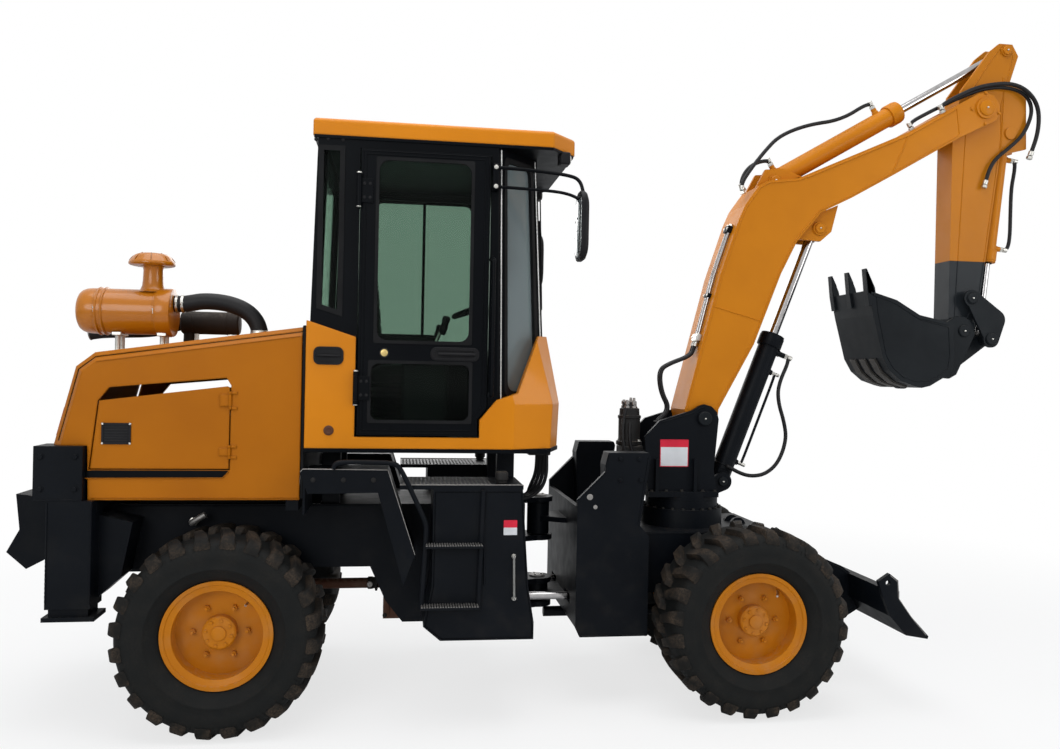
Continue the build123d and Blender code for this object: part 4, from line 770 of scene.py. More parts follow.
def bead(
    name: str, points: Sequence[Point], look: Look, body: str = "chassis", radius: float = 0.0035
) -> bpy.types.Object:
    """Weld bead: a thin tube whose radius ripples along its length, straight from point to point, in metres.

    Args:
        name: Piece name.
        points: Row-frame corners of the bead.
        look: The finish.
        body: CAD body that it rides.
        radius: Mean radius.

    Returns:
        The new object.
    """
    step, ripple, pace = 0.006, 0.12, 1.9
    knots = np.asarray(points, float)
    lengths = np.r_[0, np.cumsum(np.linalg.norm(np.diff(knots, axis=0), axis=1))]
    count = max(8, int(lengths[-1] / step))
    at_length = np.linspace(0, lengths[-1], count)
    path = np.stack([np.interp(at_length, lengths, knots[:, axis]) for axis in range(3)], 1)
    radii = radius * (1.0 + ripple * np.sin(np.arange(count) * pace))
    return add_mesh(name, *swept(path, radii, 6), look, body, 60)


def bead_on(
    side: Side, name: str, line: Sequence[Point], y: float, look: Look, body: str = "chassis", radius: float = 0.0035
) -> None:
    """Bead on one side's face of a pair.

    Args:
        side: The side's sign and word, as in BOTH.
        name: Start of the piece's name.
        line: Side-view line in (ahead, up) millimetres.
        y: The face, in millimetres out from the middle.
        look: Finish.
        body: Body it rides on.
        radius: Bead radius in metres.
    """
    hand, word = side
    bead(f"{name}_{word}", [at(x, z, hand * y) for x, z in line], look, body, radius)


def bolts_on(
    side: Side, name: str, places: Sequence[Point], y: float, radius: float, height: float, look: Look,
    body: str = "chassis",
) -> None:
    """Bolts on one side's face of a pair, pointing outwards.

    Args:
        side: The side's sign and word, as in BOTH.
        name: Start of the piece's name.
        places: Side-view centres in (ahead, up) millimetres.
        y: The face, in millimetres out from the middle.
        radius: Bolt radius in metres.
        height: Head height in metres.
        look: Finish.
        body: Body they ride on.
    """
    hand, word = side
    bolts(f"{name}_{word}", [at(x, z, hand * y) for x, z in places], (0, hand, 0), radius, height, look, body)


def slab_on(
    side: Side, name: str, outline: Sequence[Point], y: Point, look: Look, body: str = "chassis", edge: float = 0.003
) -> None:
    """Plate on one side of a pair.

    Args:
        side: The side's sign and word, as in BOTH.
        name: Start of the piece's name.
        outline: Side-view outline in (ahead, up) millimetres.
        y: Both faces, in millimetres out from the middle.
        look: Finish.
        body: Body it rides on.
        edge: Edge rounding in metres.
    """
    hand, word = side
    slab(f"{name}_{word}", outline, (hand * y[0], hand * y[1]), look, body, edge)


def pin_head(name: str, centre: Point, y: float, radius: float, body: str, look: Look, hand: int) -> None:
    """End of a joint pin: a chamfered cap with a grease nipple in its middle.

    Args:
        name: Start of the pieces' names.
        centre: Pin centre in (ahead, up) millimetres.
        y: Where the pin's boss ends, in millimetres to the left.
        radius: Pin radius in metres.
        body: CAD body that it rides.
        look: Finish of the cap.
        hand: 1 on the left face, -1 on the right.
    """
    height = hand * 10
    seat, top, tip = (at(*centre, y + run * height) for run in (0, 1, 2))
    rod(f"{name}_cap", seat, top, [(0, radius), (0.6, radius), (1.0, radius * 0.86)], look, body)
    nipple = [(0, 0.005), (0.4, 0.005), (0.5, 0.003), (0.8, 0.004), (1, 0.002)]
    rod(f"{name}_nipple", top, tip, nipple, Look.ZINC, body, 10)


def finish_nodes(look: Look, *names: str) -> None:
    """Gives CAD nodes a finish."""
    for name in names:
        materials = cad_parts[name].data.materials
        materials.clear()
        materials.append(look.material)


# ------------------------------------------------------------------ wheels
@dataclass
class Wheel:
    """One wheel: treaded tyre over the CAD rim, with its nuts, cap bolts and valve."""

    end: str
    side: str
    x: float
    hand: int
    lug_count: int = 24
    rib_count: int = 100
    facets: int = 144
    section: tuple = (
        (0.2285, 0.1320),
        (0.2560, 0.1325),
        (0.2640, 0.1500),
        (0.2800, 0.1640),
        (0.3000, 0.1760),
        (0.3120, 0.1830),
        (0.3160, 0.1880),
        (0.3220, 0.1885),
        (0.3270, 0.1860),
        (0.3600, 0.1925),
        (0.3900, 0.1915),
        (0.4150, 0.1860),
        (0.4350, 0.1740),
        (0.4480, 0.1560),
        (0.4510, 0.1300),
        (0.4520, 0.0900),
        (0.4520, 0.0450),
    )

    @property
    def body(self) -> str:
        """The CAD body that the wheel turns with."""
        return f"{self.end}_{self.side}_wheel"

    def place(self, radius: np.ndarray, offset: np.ndarray, turn: np.ndarray) -> np.ndarray:
        """Points of the wheel: the radius swung about the axle by the turn, the offset outwards from the middle.

        Args:
            radius: Distance from the axle in metres.
            offset: Distance outboard of the tyre's middle in metres.
            turn: Angle from straight up in radians.

        Returns:
            Row-frame points, in the arguments' common shape.
        """
        x = REAR_AXLE_X + self.x / MM_PER_M + radius * np.sin(turn)
        y = self.hand * (HALF_TRACK + offset)
        z = WHEEL_Z + radius * np.cos(turn)
        return np.stack(np.broadcast_arrays(x, y, z), -1)

    def carcass(self) -> bpy.types.Object:
        """Tyre body: the section carried round the axle, closed through the rim's barrel."""
        half = np.array(self.section)
        profile = np.vstack([half, [[0.4520, 0.0]], (half * (1, -1))[::-1]])
        turn = around(self.facets)
        points = self.place(profile[None, :, 0], profile[None, :, 1], turn[:, None])
        faces = grid_faces(len(turn), len(profile), wrap_rows=True, wrap_columns=True)
        return add_mesh(f"{self.body}_tyre_carcass", points, faces, Look.TYRE, self.body, 50)

    def lugs(self) -> bpy.types.Object:
        """Tread bars: each runs from the middle over the shoulder, swept back, its flanks sloping in.

        Along a bar its offset, top and root radius, half width and sweep come from tables; across it the
        radius rises from root to top by a trapezium.

        Returns:
            All the wheel's bars as one piece.
        """
        offset = np.array([-0.012, 0.018, 0.060, 0.105, 0.140, 0.163, 0.181, 0.189, 0.188])
        top = np.array([0.4780, 0.4820, 0.4824, 0.4815, 0.4785, 0.4700, 0.4520, 0.4330, 0.4180])
        root = np.array([0.4480, 0.4480, 0.4480, 0.4480, 0.4460, 0.4400, 0.4280, 0.4180, 0.4120])
        width = np.array([0.017, 0.020, 0.0225, 0.025, 0.028, 0.031, 0.033, 0.032, 0.027])
        sweep = np.array([0.00, 0.012, 0.040, 0.072, 0.095, 0.106, 0.110, 0.110, 0.110])
        pitch = FULL_TURN / self.lug_count
        across = np.array([-1.25, -1.0, -0.86, 0.86, 1.0, 1.25])
        rise = np.array([0.0, 0.85, 1.0, 1.0, 0.85, 0.0])
        half_angle = width / 0.47
        vertices, faces = [], []
        base = 0
        for row, mirror in enumerate((1, -1)):
            start = pitch * (np.arange(self.lug_count) + 0.5 * row)
            angle = half_angle[:, None] * across[None, :] + sweep[:, None]
            radius = root[:, None] + (top - root)[:, None] * rise[None, :]
            radius[0] = root[0]
            radius[-1] = root[-1]
            shift = np.broadcast_to(offset[:, None] * mirror, radius.shape)
            turn = start[:, None, None] + angle[None]
            block = self.place(radius[None], shift[None], turn)
            vertices.append(block.reshape(-1, 3))
            for index in range(self.lug_count):
                first = base + index * radius.size
                skin = capped(len(offset), len(across), first)
                faces += skin if mirror > 0 else [face[::-1] for face in skin]
            base += self.lug_count * radius.size
        return add_mesh(f"{self.body}_tread", np.vstack(vertices), faces, Look.TREAD, self.body, 30)

    def ribs(self) -> bpy.types.Object:
        """Short moulded ribs round the side wall near the shoulder."""
        shape = np.array([(0.4080, 0.1885), (0.4080, 0.1905), (0.4260, 0.1835), (0.4260, 0.1800)])
        spread = np.array([-0.004, 0.004])
        angle = around(self.rib_count)[:, None, None] + spread[None, :, None]
        points = self.place(shape[None, None, :, 0], shape[None, None, :, 1], angle)
        faces = []
        for a in range(0, 8 * self.rib_count, 8):
            faces += [[a + 1, a + 5, a + 6, a + 2], [a, a + 4, a + 5, a + 1], [a + 2, a + 6, a + 7, a + 3]]
            faces += [[a, a + 1, a + 2, a + 3], [a + 7, a + 6, a + 5, a + 4], [a, a + 3, a + 7, a + 4]]
        return add_mesh(f"{self.body}_side_ribs", points, faces, Look.TYRE, self.body)

    def fittings(self) -> None:
        """Hub cap with its bolts, the wheel studs and the valve."""
        outward = (0, self.hand, 0)
        places = self.place(0.060, 0.097, around(8, 0.2))
        bolts(f"{self.body}_cap_bolts", places, outward, 0.0075, 0.007, Look.RIM_YELLOW, self.body)
        knob(f"{self.body}_cap_boss", self.place(0.0, 0.097, 0.0), outward, 0.034, 0.010, Look.RIM_YELLOW, self.body)
        stud = [(0, 0.0075), (0.8, 0.0075), (1, 0.006)]
        for index, place in enumerate(self.place(0.125, 0.066, around(6, math.pi / 2))):
            tip = place + np.array(outward) * 0.012
            rod(f"{self.body}_stud_{index}", place, tip, stud, Look.RIM_YELLOW, self.body, 10)
        foot = self.place(0.200, 0.052, 0.75)
        tip = self.place(0.172, 0.092, 0.75)
        rod(
            f"{self.body}_valve", foot, tip, [(0, 0.006), (0.5, 0.005), (0.55, 0.0065), (1, 0.006)], Look.ZINC,
            self.body, 12,
        )

    def build(self) -> None:
        """Makes the tyre and hangs the fittings on the rim."""
        carcass = self.carcass()
        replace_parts(carcass, f"{self.end}_{self.side}_tyre")
        for thing in (carcass, self.lugs(), self.ribs()):
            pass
        self.fittings()
        finish_nodes(Look.RIM_YELLOW, f"{self.end}_{self.side}_rim")


# ------------------------------------------------------------------ more shapes
FRONT_AXLE = WHEELBASE * MM_PER_M

BOOM_FOOT = (2510.0, 1493.0)
BOOM_RAM_BASE = (2655.0, 1130.0)
BOOM_RAM_EYE = (3212.0, 2604.0)
STICK_PIN = (4222.0, 3353.0)
STICK_RAM_BASE = (2934.0, 2868.0)
STICK_RAM_EYE = (4388.0, 3726.0)
BUCKET_PIN = (4125.0, 2030.0)
ROCKER_PIN = (4159.0, 2224.0)
CRANK_PIN = (4287.0, 1985.0)
LINK_PIN = (4035.0, 1800.0)
BUCKET_RAM_BASE = (4425.0, 3230.0)
BLADE_PIVOT = (2860.0, 440.0)
BLADE_RAM_BASE = (2760.0, 800.0)
BLADE_RAM_EYE = (3200.0, 560.0)


def forward(points: Sequence[Point]) -> list:
    """Points measured ahead of the rear axle from points measured ahead of the front axle, in millimetres."""
    return [(point[0] + FRONT_AXLE, *point[1:]) for point in points]


def by_ram(base: Point, eye: Point, offset: float, reach: float, turn: int = 1) -> tuple[float, float]:
    """Side-view point by a ram.

    Args:
        base: The ram's lower pin as (ahead, up) millimetres.
        eye: Its upper pin.
        offset: Millimetres from the lower pin along the axis.
        reach: Millimetres out from the axis.
        turn: 1 for the front side of a ram that points up, -1 for the other.

    Returns:
        The point as (ahead, up) millimetres.
    """
    start, end = np.asarray(base, float), np.asarray(eye, float)
    direction = (end - start) / np.linalg.norm(end - start)
    place = start + direction * offset + np.array([direction[1], -direction[0]]) * reach * turn
    return float(place[0]), float(place[1])


def inset(outline: Sequence[Point], by: float) -> np.ndarray:
    """Closed outline moved inwards: each corner goes along its bisector so that every run moves by the same.

    Args:
        outline: (ahead, up) points.
        by: Distance in the same unit; outwards where it is negative.

    Returns:
        The moved points, anticlockwise.
    """
    loop = np.asarray(outline, float)
    area = np.sum(loop[:, 0] * np.roll(loop[:, 1], -1) - np.roll(loop[:, 0], -1) * loop[:, 1])
    loop = loop if area > 0 else loop[::-1]
    ahead = np.roll(loop, -1, axis=0) - loop
    ahead /= np.linalg.norm(ahead, axis=1)[:, None]
    inward = np.stack([-ahead[:, 1], ahead[:, 0]], 1)
    before = np.roll(inward, 1, axis=0)
    bisector = inward + before
    share = by * 2.0 / np.maximum(np.sum(bisector * bisector, axis=1), 0.5)
    return loop + bisector * share[:, None]


def seam(name: str, outline: Sequence[Point], y: float, look: Look, body: str, by: float, radius: float) -> None:
    """Weld beads inside a closed side-view outline on both faces of a plate or box."""
    loop = inset(outline, by)
    for side in BOTH:
        bead_on(side, name, np.vstack([loop, loop[:1]]), y, look, body, radius / MM_PER_M)


def turned(
    name: str, a: Point, b: Point, profile: Sequence[Point], look: Look, body: str = "chassis", sides: int = 32
) -> bpy.types.Object:
    """Turned piece about the line from a to b, all in millimetres: (along from a, radius) revolved.

    Args:
        name: Piece name.
        a: Start of the axis as (ahead, left, up).
        b: A point further along the axis.
        profile: (distance from a, radius) pairs.
        look: The finish.
        body: CAD body that it rides.
        sides: Facets round the axis.

    Returns:
        The new object.
    """
    start, end = np.array(at(a[0], a[2], a[1])), np.array(at(b[0], b[2], b[1]))
    length = np.linalg.norm(end - start) * MM_PER_M
    return rod(name, start, end, [(s / length, r / MM_PER_M) for s, r in profile], look, body, sides)


def sheet_between(corners: Sequence[Point], s: np.ndarray, t: np.ndarray, rise: float) -> np.ndarray:
    """Points on a four-cornered skew panel: both pairs of edges interpolated, then lifted along its normal.

    Args:
        corners: Bottom start, bottom end, top end and top start as (ahead, left, up) millimetres.
        s: Shares along the bottom edge.
        t: Shares up the side edges.
        rise: Lift in millimetres.

    Returns:
        (n, 3) row-frame points in metres.
    """
    a, b, c, d = (np.array(at(p[0], p[2], p[1])) for p in corners)
    s, t = np.asarray(s)[:, None], np.asarray(t)[:, None]
    points = (1 - s) * (1 - t) * a + s * (1 - t) * b + s * t * c + (1 - s) * t * d
    normal = np.cross((b + c - a - d), (c + d - a - b))
    return points + normal / np.linalg.norm(normal) * rise / MM_PER_M


def panel_ring(
    name: str, corners: Sequence[Point], low: Point, high: Point, width: float, rise: Point, look: Look
) -> bpy.types.Object:
    """Seal round a window in a skew panel: a rounded-rectangle band following the panel.

    Args:
        name: Piece name.
        corners: The panel's corners as for sheet_between, seen from outside with the first at the lower left.
        low: Lower left corner of the window in millimetres along and up from the first corner.
        high: Upper right corner.
        width: Width of the band inwards of the window's edge.
        rise: Lift of the band's back and front faces in millimetres.
        look: The finish.

    Returns:
        The new object.
    """
    a, b, d = (np.asarray(corners[i], float) for i in (0, 1, 3))
    size = np.array([np.linalg.norm(b - a), np.linalg.norm(d - a)])
    outer = np.array(grown((low[0], high[0]), (low[1], high[1]), 22, 10)) / size
    inner = np.array(round_rectangle((low[0] + width, high[0] - width), (low[1] + width, high[1] - width), 45)) / size
    loops = [(outer, rise[0]), (inner, rise[0]), (inner, rise[1]), (outer, rise[1])]
    points = np.vstack([sheet_between(corners, loop[:, 0], loop[:, 1], lift) for loop, lift in loops])
    return add_mesh(name, points, grid_faces(4, len(outer), wrap_rows=True, wrap_columns=True), look)


@dataclass
class Hose:
    """Hose or steel pipe on a smooth route, with a crimped ferrule and a hexagon nut where it screws in."""

    name: str
    points: Sequence[Point]
    radius: float
    body: str
    look: Look = Look.HOSE
    ends: tuple[bool, bool] = (True, True)

    def fitting(self, tag: str, place: Point, towards: Point) -> None:
        """Nut and rippled ferrule at one end, pointing along the hose.

        Args:
            tag: Which end, for the pieces' names.
            place: The end as (ahead, left, up) millimetres.
            towards: The route's next point.
        """
        start, aim = np.asarray(place, float), np.asarray(towards, float)
        aim = start + (aim - start) / np.linalg.norm(aim - start) * 100.0
        r = self.radius
        nut = [(0, r * 1.15), (1, r * 1.45), (17, r * 1.45), (18.5, r * 1.2)]
        turned(f"{self.name}_{tag}_nut", start, aim, nut, Look.ZINC, self.body, 6)
        crimp = [
            (18, r * 0.95), (22, r * 1.0), (24, r * 1.3), (30, r * 1.3), (31.5, r * 1.2), (33, r * 1.3), (39, r * 1.3)
        ]
        crimp += [(40.5, r * 1.2), (42, r * 1.3), (47, r * 1.3), (49, r * 1.05)]
        turned(f"{self.name}_{tag}_ferrule", start, aim, crimp, Look.ZINC, self.body, 18)

    def build(self) -> bpy.types.Object:
        """Makes the hose and its fittings."""
        line = tube(self.name, route(self.points), self.radius / MM_PER_M, self.look, self.body, 16)
        for screwed, tag, last, next_to in zip(self.ends, ("start", "end"), (0, -1), (1, -2)):
            if screwed:
                self.fitting(tag, self.points[last], self.points[next_to])
        return line


# ------------------------------------------------------------------ digging arm
@dataclass
class Ram:
    """Dress of one hydraulic ram: gland nut, wiper ring, weld at the foot and the neck of the rod's eye."""

    name: str
    base: Point
    eye: Point
    radius: float
    bar: float
    length: float
    look: Look

    def build(self) -> None:
        """Rings on the barrel's ends and the neck of the rod's eye, as sections of (along, radius)."""
        tube_body, bar_body = f"{self.name}_tube", f"{self.name}_bar"
        r = self.radius
        gland = [
            (self.length - 74, r * 1.15), (self.length - 70, r * 1.19), (self.length - 12, r * 1.19),
            (self.length - 10, r * 1.10), (self.length + 2, r * 1.08), (self.length + 3, r * 0.9),
            (self.length + 3, self.bar + 1.5), (self.length - 74, self.bar + 1.5),
        ]
        self.ringed(f"{self.name}_gland", gland, self.look, tube_body)
        wiper = [
            (self.length + 2, self.bar + 9), (self.length + 9, self.bar + 7), (self.length + 9, self.bar + 1),
            (self.length + 2, self.bar + 1),
        ]
        self.ringed(f"{self.name}_wiper", wiper, Look.SEAL, tube_body)
        foot = [
            (r * 1.5, r * 1.0), (r * 1.5 + 4, r * 1.05), (r * 1.5 + 9, r * 1.0), (r * 1.5 + 9, r * 0.98),
            (r * 1.5, r * 0.98),
        ]
        self.ringed(f"{self.name}_foot_weld", foot, self.look, tube_body)
        whole = math.dist(self.base, self.eye)
        neck = [
            (whole - self.bar * 2.5, self.bar + 0.5), (whole - self.bar * 2.3, self.bar + 6),
            (whole - self.bar * 1.2, self.bar + 8), (whole - self.bar * 1.2, self.bar - 2),
            (whole - self.bar * 2.5, self.bar - 2),
        ]
        self.ringed(f"{self.name}_neck", neck, Look.WORN_STEEL, bar_body)

    def ringed(self, name: str, section: Sequence[Point], look: Look, body: str) -> bpy.types.Object:
        """Ring about the ram's axis: centre + along * direction + radius (cos v across + sin v up).

        Args:
            name: Piece name.
            section: Closed section as (along, radius) millimetres.
            look: The finish.
            body: CAD body that it rides.

        Returns:
            The new object.
        """
        start, end = np.array(at(*self.base)), np.array(at(*self.eye))
        direction = (end - start) / np.linalg.norm(end - start)
        across = np.array([0.0, 1.0, 0.0])
        up = np.cross(direction, across)
        loop = np.asarray(section, float) / MM_PER_M
        v = around(40)[None, :, None]
        circle = np.cos(v) * across + np.sin(v) * up
        points = start + loop[:, 0, None, None] * direction + circle * loop[:, 1, None, None]
        return add_mesh(name, points, grid_faces(*points.shape[:2], wrap_rows=True, wrap_columns=True), look, body, 40)


@dataclass
class Arm:
    """Boom, stick, rocker, link and their pins, weld beads and hoses."""

    boom_y: float = 130.4
    stick_y: float = 75.4
    boom_outline: tuple = (
        (-207, 1455), (-227, 1541), (-35, 2300), (72, 2625), (108, 2710), (189, 2824), (245, 2857), (425, 2880),
        (1108, 3187), (1415, 3366), (1440, 3180), (1010, 2928), (758, 2785), (568, 2690), (424, 2516), (330, 2326),
        (175, 1918), (-28, 1544), (-60, 1480),
    )
    stick_outline: tuple = (
        (1490, 3150), (1500, 3440), (1665, 3690), (1713, 3745), (1798, 3745), (1815, 3690), (1741, 3400), (1741, 3180),
        (1648, 2470), (1618, 2256), (1578, 2180), (1540, 2100), (1440, 2110),
    )
    pins: tuple = (
        ("boom_foot", BOOM_FOOT, 175.0, 0.040, "slewing_turret"),
        ("boom_ram_base", BOOM_RAM_BASE, 85.0, 0.027, "slewing_turret"),
        ("boom_ram_eye", BOOM_RAM_EYE, 95.0, 0.030, "boom_arm"),
        ("stick_pin", STICK_PIN, 142.0, 0.046, "boom_arm"),
        ("stick_ram_base", STICK_RAM_BASE, 95.0, 0.027, "boom_arm"),
        ("stick_ram_eye", STICK_RAM_EYE, 85.0, 0.026, "stick_arm"),
        ("bucket_ram_base", BUCKET_RAM_BASE, 85.0, 0.027, "stick_arm"),
        ("rocker_pin", ROCKER_PIN, 130.0, 0.032, "stick_arm"),
        ("crank_pin", CRANK_PIN, 130.0, 0.036, "rocker"),
        ("bucket_pin", BUCKET_PIN, 107.0, 0.036, "bucket_shell"),
        ("link_pin", LINK_PIN, 107.0, 0.030, "bucket_shell"),
        ("blade_pivot", BLADE_PIVOT, 320.0, 0.036, "front_chassis"),
        ("blade_ram_base", BLADE_RAM_BASE, 60.0, 0.026, "front_chassis"),
    )

    def joints(self) -> None:
        """Caps and nipples on both ends of every pin, except the right end of the bucket ram's base, which gets none.
        """
        for name, centre, y, radius, body in self.pins:
            dark = body in ("slewing_turret", "bucket_shell", "front_chassis", "rocker") or name == "rocker_pin"
            for hand, word in BOTH:
                if name == "bucket_ram_base" and hand < 0:
                    continue
                pin_head(
                    f"{name}_{word}", centre, hand * y, radius, body, Look.BUCKET_BLACK if dark else Look.ARM_YELLOW,
                    hand,
                )

    def boom(self) -> None:
        """Boom's edge welds, top ridge, two plate seams and the bolts round the stick's pin."""
        seam("boom_weld", forward(self.boom_outline), self.boom_y, Look.ARM_YELLOW, "boom_arm", 13, 3.5)
        places = ((4222, 3445), (4310, 3330), (4222, 3262), (4134, 3345))
        for side in BOTH:
            for name, line, radius in (
                ("boom_ridge", [(3110, 2886), (3740, 3168), (4030, 3336)], 0.005),
                ("boom_seam", [(3735, 3170), (3640, 2945)], 0.004),
                ("boom_low_seam", [(2566, 2128), (2850, 2052)], 0.0035),
            ):
                bead_on(side, name, line, self.boom_y, Look.ARM_YELLOW, "boom_arm", radius)
            bolts_on(side, "stick_pin_bolts", places, self.boom_y + 0.2, 0.009, 0.007, Look.ARM_YELLOW, "boom_arm")

    def stick(self) -> None:
        """Stick's edge welds and the weld along its fold."""
        seam("stick_weld", forward(self.stick_outline), self.stick_y, Look.STICK_PAINT, "stick_arm", 10, 3.0)
        fold = [(4373, 3566), (4380, 3440), (4366, 3120)]
        for side in BOTH:
            bead_on(side, "stick_fold", fold, self.stick_y, Look.STICK_PAINT, "stick_arm", 0.004)

    def linkage(self) -> None:
        """Welds round the rocker's bosses."""
        turn = np.linspace(0, FULL_TURN, 25)
        circle = np.stack([np.cos(turn), np.sin(turn)], 1)
        bosses = (("rocker_boss", CRANK_PIN, 40, 112.0), ("rocker_top", ROCKER_PIN, 34, 130.3))
        for hand, word in BOTH:
            for name, centre, radius, y in bosses:
                loop = [at(x, z, hand * y) for x, z in centre + circle * radius]
                bead(f"{name}_weld_{word}", loop, Look.BUCKET_BLACK, "rocker", 0.003)

    def rams(self) -> None:
        """Rings of every ram on the arm and the blade."""
        for ram in (
            Ram("boom_ram", BOOM_RAM_BASE, BOOM_RAM_EYE, 60, 27, 910, Look.FRAME_BLACK),
            Ram("stick_ram", STICK_RAM_BASE, STICK_RAM_EYE, 56, 25, 930, Look.ARM_YELLOW),
            Ram("bucket_ram", BUCKET_RAM_BASE, CRANK_PIN, 42, 21, 775, Look.ARM_YELLOW),
            Ram("blade_ram", BLADE_RAM_BASE, BLADE_RAM_EYE, 40, 20, 330, Look.FRAME_BLACK),
        ):
            ram.build()

    def boom_hoses(self) -> None:
        """Pipes up the boom's back, their blocks, and the hoses over the boom's ends."""
        lines = []
        for index, y in enumerate((-20.0, -60.0)):
            points = forward(
                [(-140, y, 1930), (-120, y, 2010), (-70, y, 2210), (-47, y, 2304), (5, y, 2460), (55, y, 2610)]
            )
            lines.append(Hose(f"boom_pipe_{index}", points, 8, "boom_arm", Look.CHROME).build())
        for index, y in enumerate((-40.0, -70.0)):
            points = forward(
                [
                    (-140, y, 1946), (-158, y - 2, 1895), (-176, y - 4, 1846), (-300, y - 4, 1800), (-358, y, 1760),
                    (-345, y, 1637), (-290, y, 1540), (-371, y, 1459),
                ]
            )
            Hose(f"boom_foot_hose_{index}", points, 11, "boom_arm", ends=(True, False)).build()
        stick_loop = [
            (1142.46, -97, 3207.32), (1119.79, -97, 3246.2), (1250, -97, 3320), (1418, -97, 3408), (1640, -97, 3500),
            (1850, -97, 3492), (1930, -97, 3390), (1880, -97, 3240), (1790, -97, 3150), (1660, -97, 3050),
            (1611, -97, 2888),
        ]
        Hose("boom_top_hose_0", forward(stick_loop), 11, "boom_arm").build()
        ram_loop = [
            (1323.87, -121, 3313.1), (1301.2, -121, 3351.98), (1420, -121, 3420), (1569, -121, 3492),
            (1800, -121, 3525), (1940, -121, 3420), (1955, -116, 3250), (1900, -102, 3075),
        ]
        Hose("boom_top_hose_1", forward(ram_loop), 12, "boom_arm").build()
        low, top = forward([(-227, 1541), (-35, 2300)]), forward([(-35, 2300), (72, 2625)])
        for name, (start, end), reach, y in (
            ("pipe_manifold", low, (400, 440, 28), (-95, -5)),
            ("pipe_clip", low, (660, 684, 23), (-74, -6)),
            ("pipe_block", top, (270, 310, 28), (-74, -6)),
        ):
            begin, finish = np.asarray(start, float), np.asarray(end, float)
            direction = (finish - begin) / np.linalg.norm(finish - begin)
            outward = np.array([-direction[1], direction[0]])
            corners = [begin + direction * run + outward * rise for run, rise in (
                (reach[0], 0.3), (reach[1], 0.3), (reach[1], reach[2]), (reach[0], reach[2]))]
            slab(name, corners, y, Look.ZINC if name == "pipe_manifold" else Look.FRAME_BLACK, "boom_arm", 0.003)
            middle = begin + direction * (reach[0] + reach[1]) / 2 + outward * reach[2]
            places = [at(middle[0], middle[1], side) for side in (y[0] + 9, y[1] - 9)]
            bolts(f"{name}_bolts", places, (outward[0], 0, outward[1]), 0.006, 0.005, Look.ZINC, "boom_arm")
        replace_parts(lines[0], "boom_hoses")

    def ram_hoses(self) -> None:
        """Hoses and pipes of the three arm rams."""
        pins = (BOOM_RAM_BASE, BOOM_RAM_EYE)
        start, rise = by_ram(*pins, 821, 110.2), by_ram(*pins, 821, 150)
        points = [(start[0], 0, start[1]), (rise[0], 0, rise[1])]
        points += forward(
            [(368, -35, 1690), (367, -40, 1590), (405, -46, 1470), (418, -50, 1370), (370, -58, 1240), (290, -60, 1170)]
        )
        foot = by_ram(*pins, 92, 0)
        points += forward([(195, -70, 1158), (120, -77, 1180)]) + [(foot[0], -76, foot[1]), (foot[0], -59, foot[1])]
        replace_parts(Hose("boom_ram_hose", points, 11, "boom_ram_tube", ends=(True, False)).build(), "boom_ram_hoses")
        bends = [
            by_ram(*pins, o, r)
            for o, r in ((136, 74.2), (136, 94), (156, 99), (400, 99), (680, 99), (700, 94), (700, 74.2))
        ]
        Hose("boom_ram_pipe", [(x, 0, z) for x, z in bends], 8, "boom_ram_tube", Look.FRAME_BLACK).build()
        pins = (STICK_RAM_BASE, STICK_RAM_EYE)
        low, low_rise = by_ram(*pins, 65, 86.2, -1), by_ram(*pins, 65, 122, -1)
        high, high_rise = by_ram(*pins, 800, 86.2, -1), by_ram(*pins, 800, 132, -1)
        points = forward([(135, -40, 2808), (114, -40, 2845), (128, -38, 2900), (165, -34, 2950), (220, -24, 2985)])
        points += [(low_rise[0], 0, low_rise[1]), (low[0], 0, low[1])]
        short = Hose("stick_ram_hose_0", points, 11, "stick_ram_tube").build()
        points = forward(
            [
                (109, -90, 2781), (96, -90, 2835), (150, -80, 2920), (245, -66, 3040), (340, -50, 3140),
                (520, -30, 3220), (740, -15, 3266),
            ]
        )
        points += [(high_rise[0], 0, high_rise[1]), (high[0], 0, high[1])]
        Hose("stick_ram_hose_1", points, 11, "stick_ram_tube").build()
        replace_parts(short, "stick_ram_hoses")
        pins = (BUCKET_RAM_BASE, CRANK_PIN)
        stations = (
            (135, 72.2), (135, 108), (200, 112), (300, 104), (450, 118), (600, 134), (670, 128), (684, 105), (684, 72.2)
        )
        points = [(x, 0, z) for x, z in (by_ram(*pins, o, r, -1) for o, r in stations)]
        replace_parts(Hose("bucket_ram_line", points, 11, "bucket_ram_tube").build(), "bucket_ram_hose")
        for name, ends, body, radius, turn, places in (
            ("boom_ram", (BOOM_RAM_BASE, BOOM_RAM_EYE), "boom_ram_tube", 60, 1, ((821, 110), (136, 74), (700, 74))),
            ("stick_ram", (STICK_RAM_BASE, STICK_RAM_EYE), "stick_ram_tube", 56, -1, ((65, 86), (800, 86))),
            ("bucket_ram", (BUCKET_RAM_BASE, CRANK_PIN), "bucket_ram_tube", 42, -1, ((135, 72), (684, 72))),
        ):
            for index, (offset, reach) in enumerate(places):
                a, b = by_ram(*ends, offset, radius - 3, turn), by_ram(*ends, offset, reach + 40, turn)
                run = reach - radius + 3
                profile = [(0, 19), (run * 0.35, 19), (run * 0.45, 15.6), (run - 1.5, 15.6), (run, 13)]
                look = Look.FRAME_BLACK if name == "boom_ram" else Look.ARM_YELLOW
                turned(f"{name}_port_{index}", (a[0], 0, a[1]), (b[0], 0, b[1]), profile, look, body, 20)

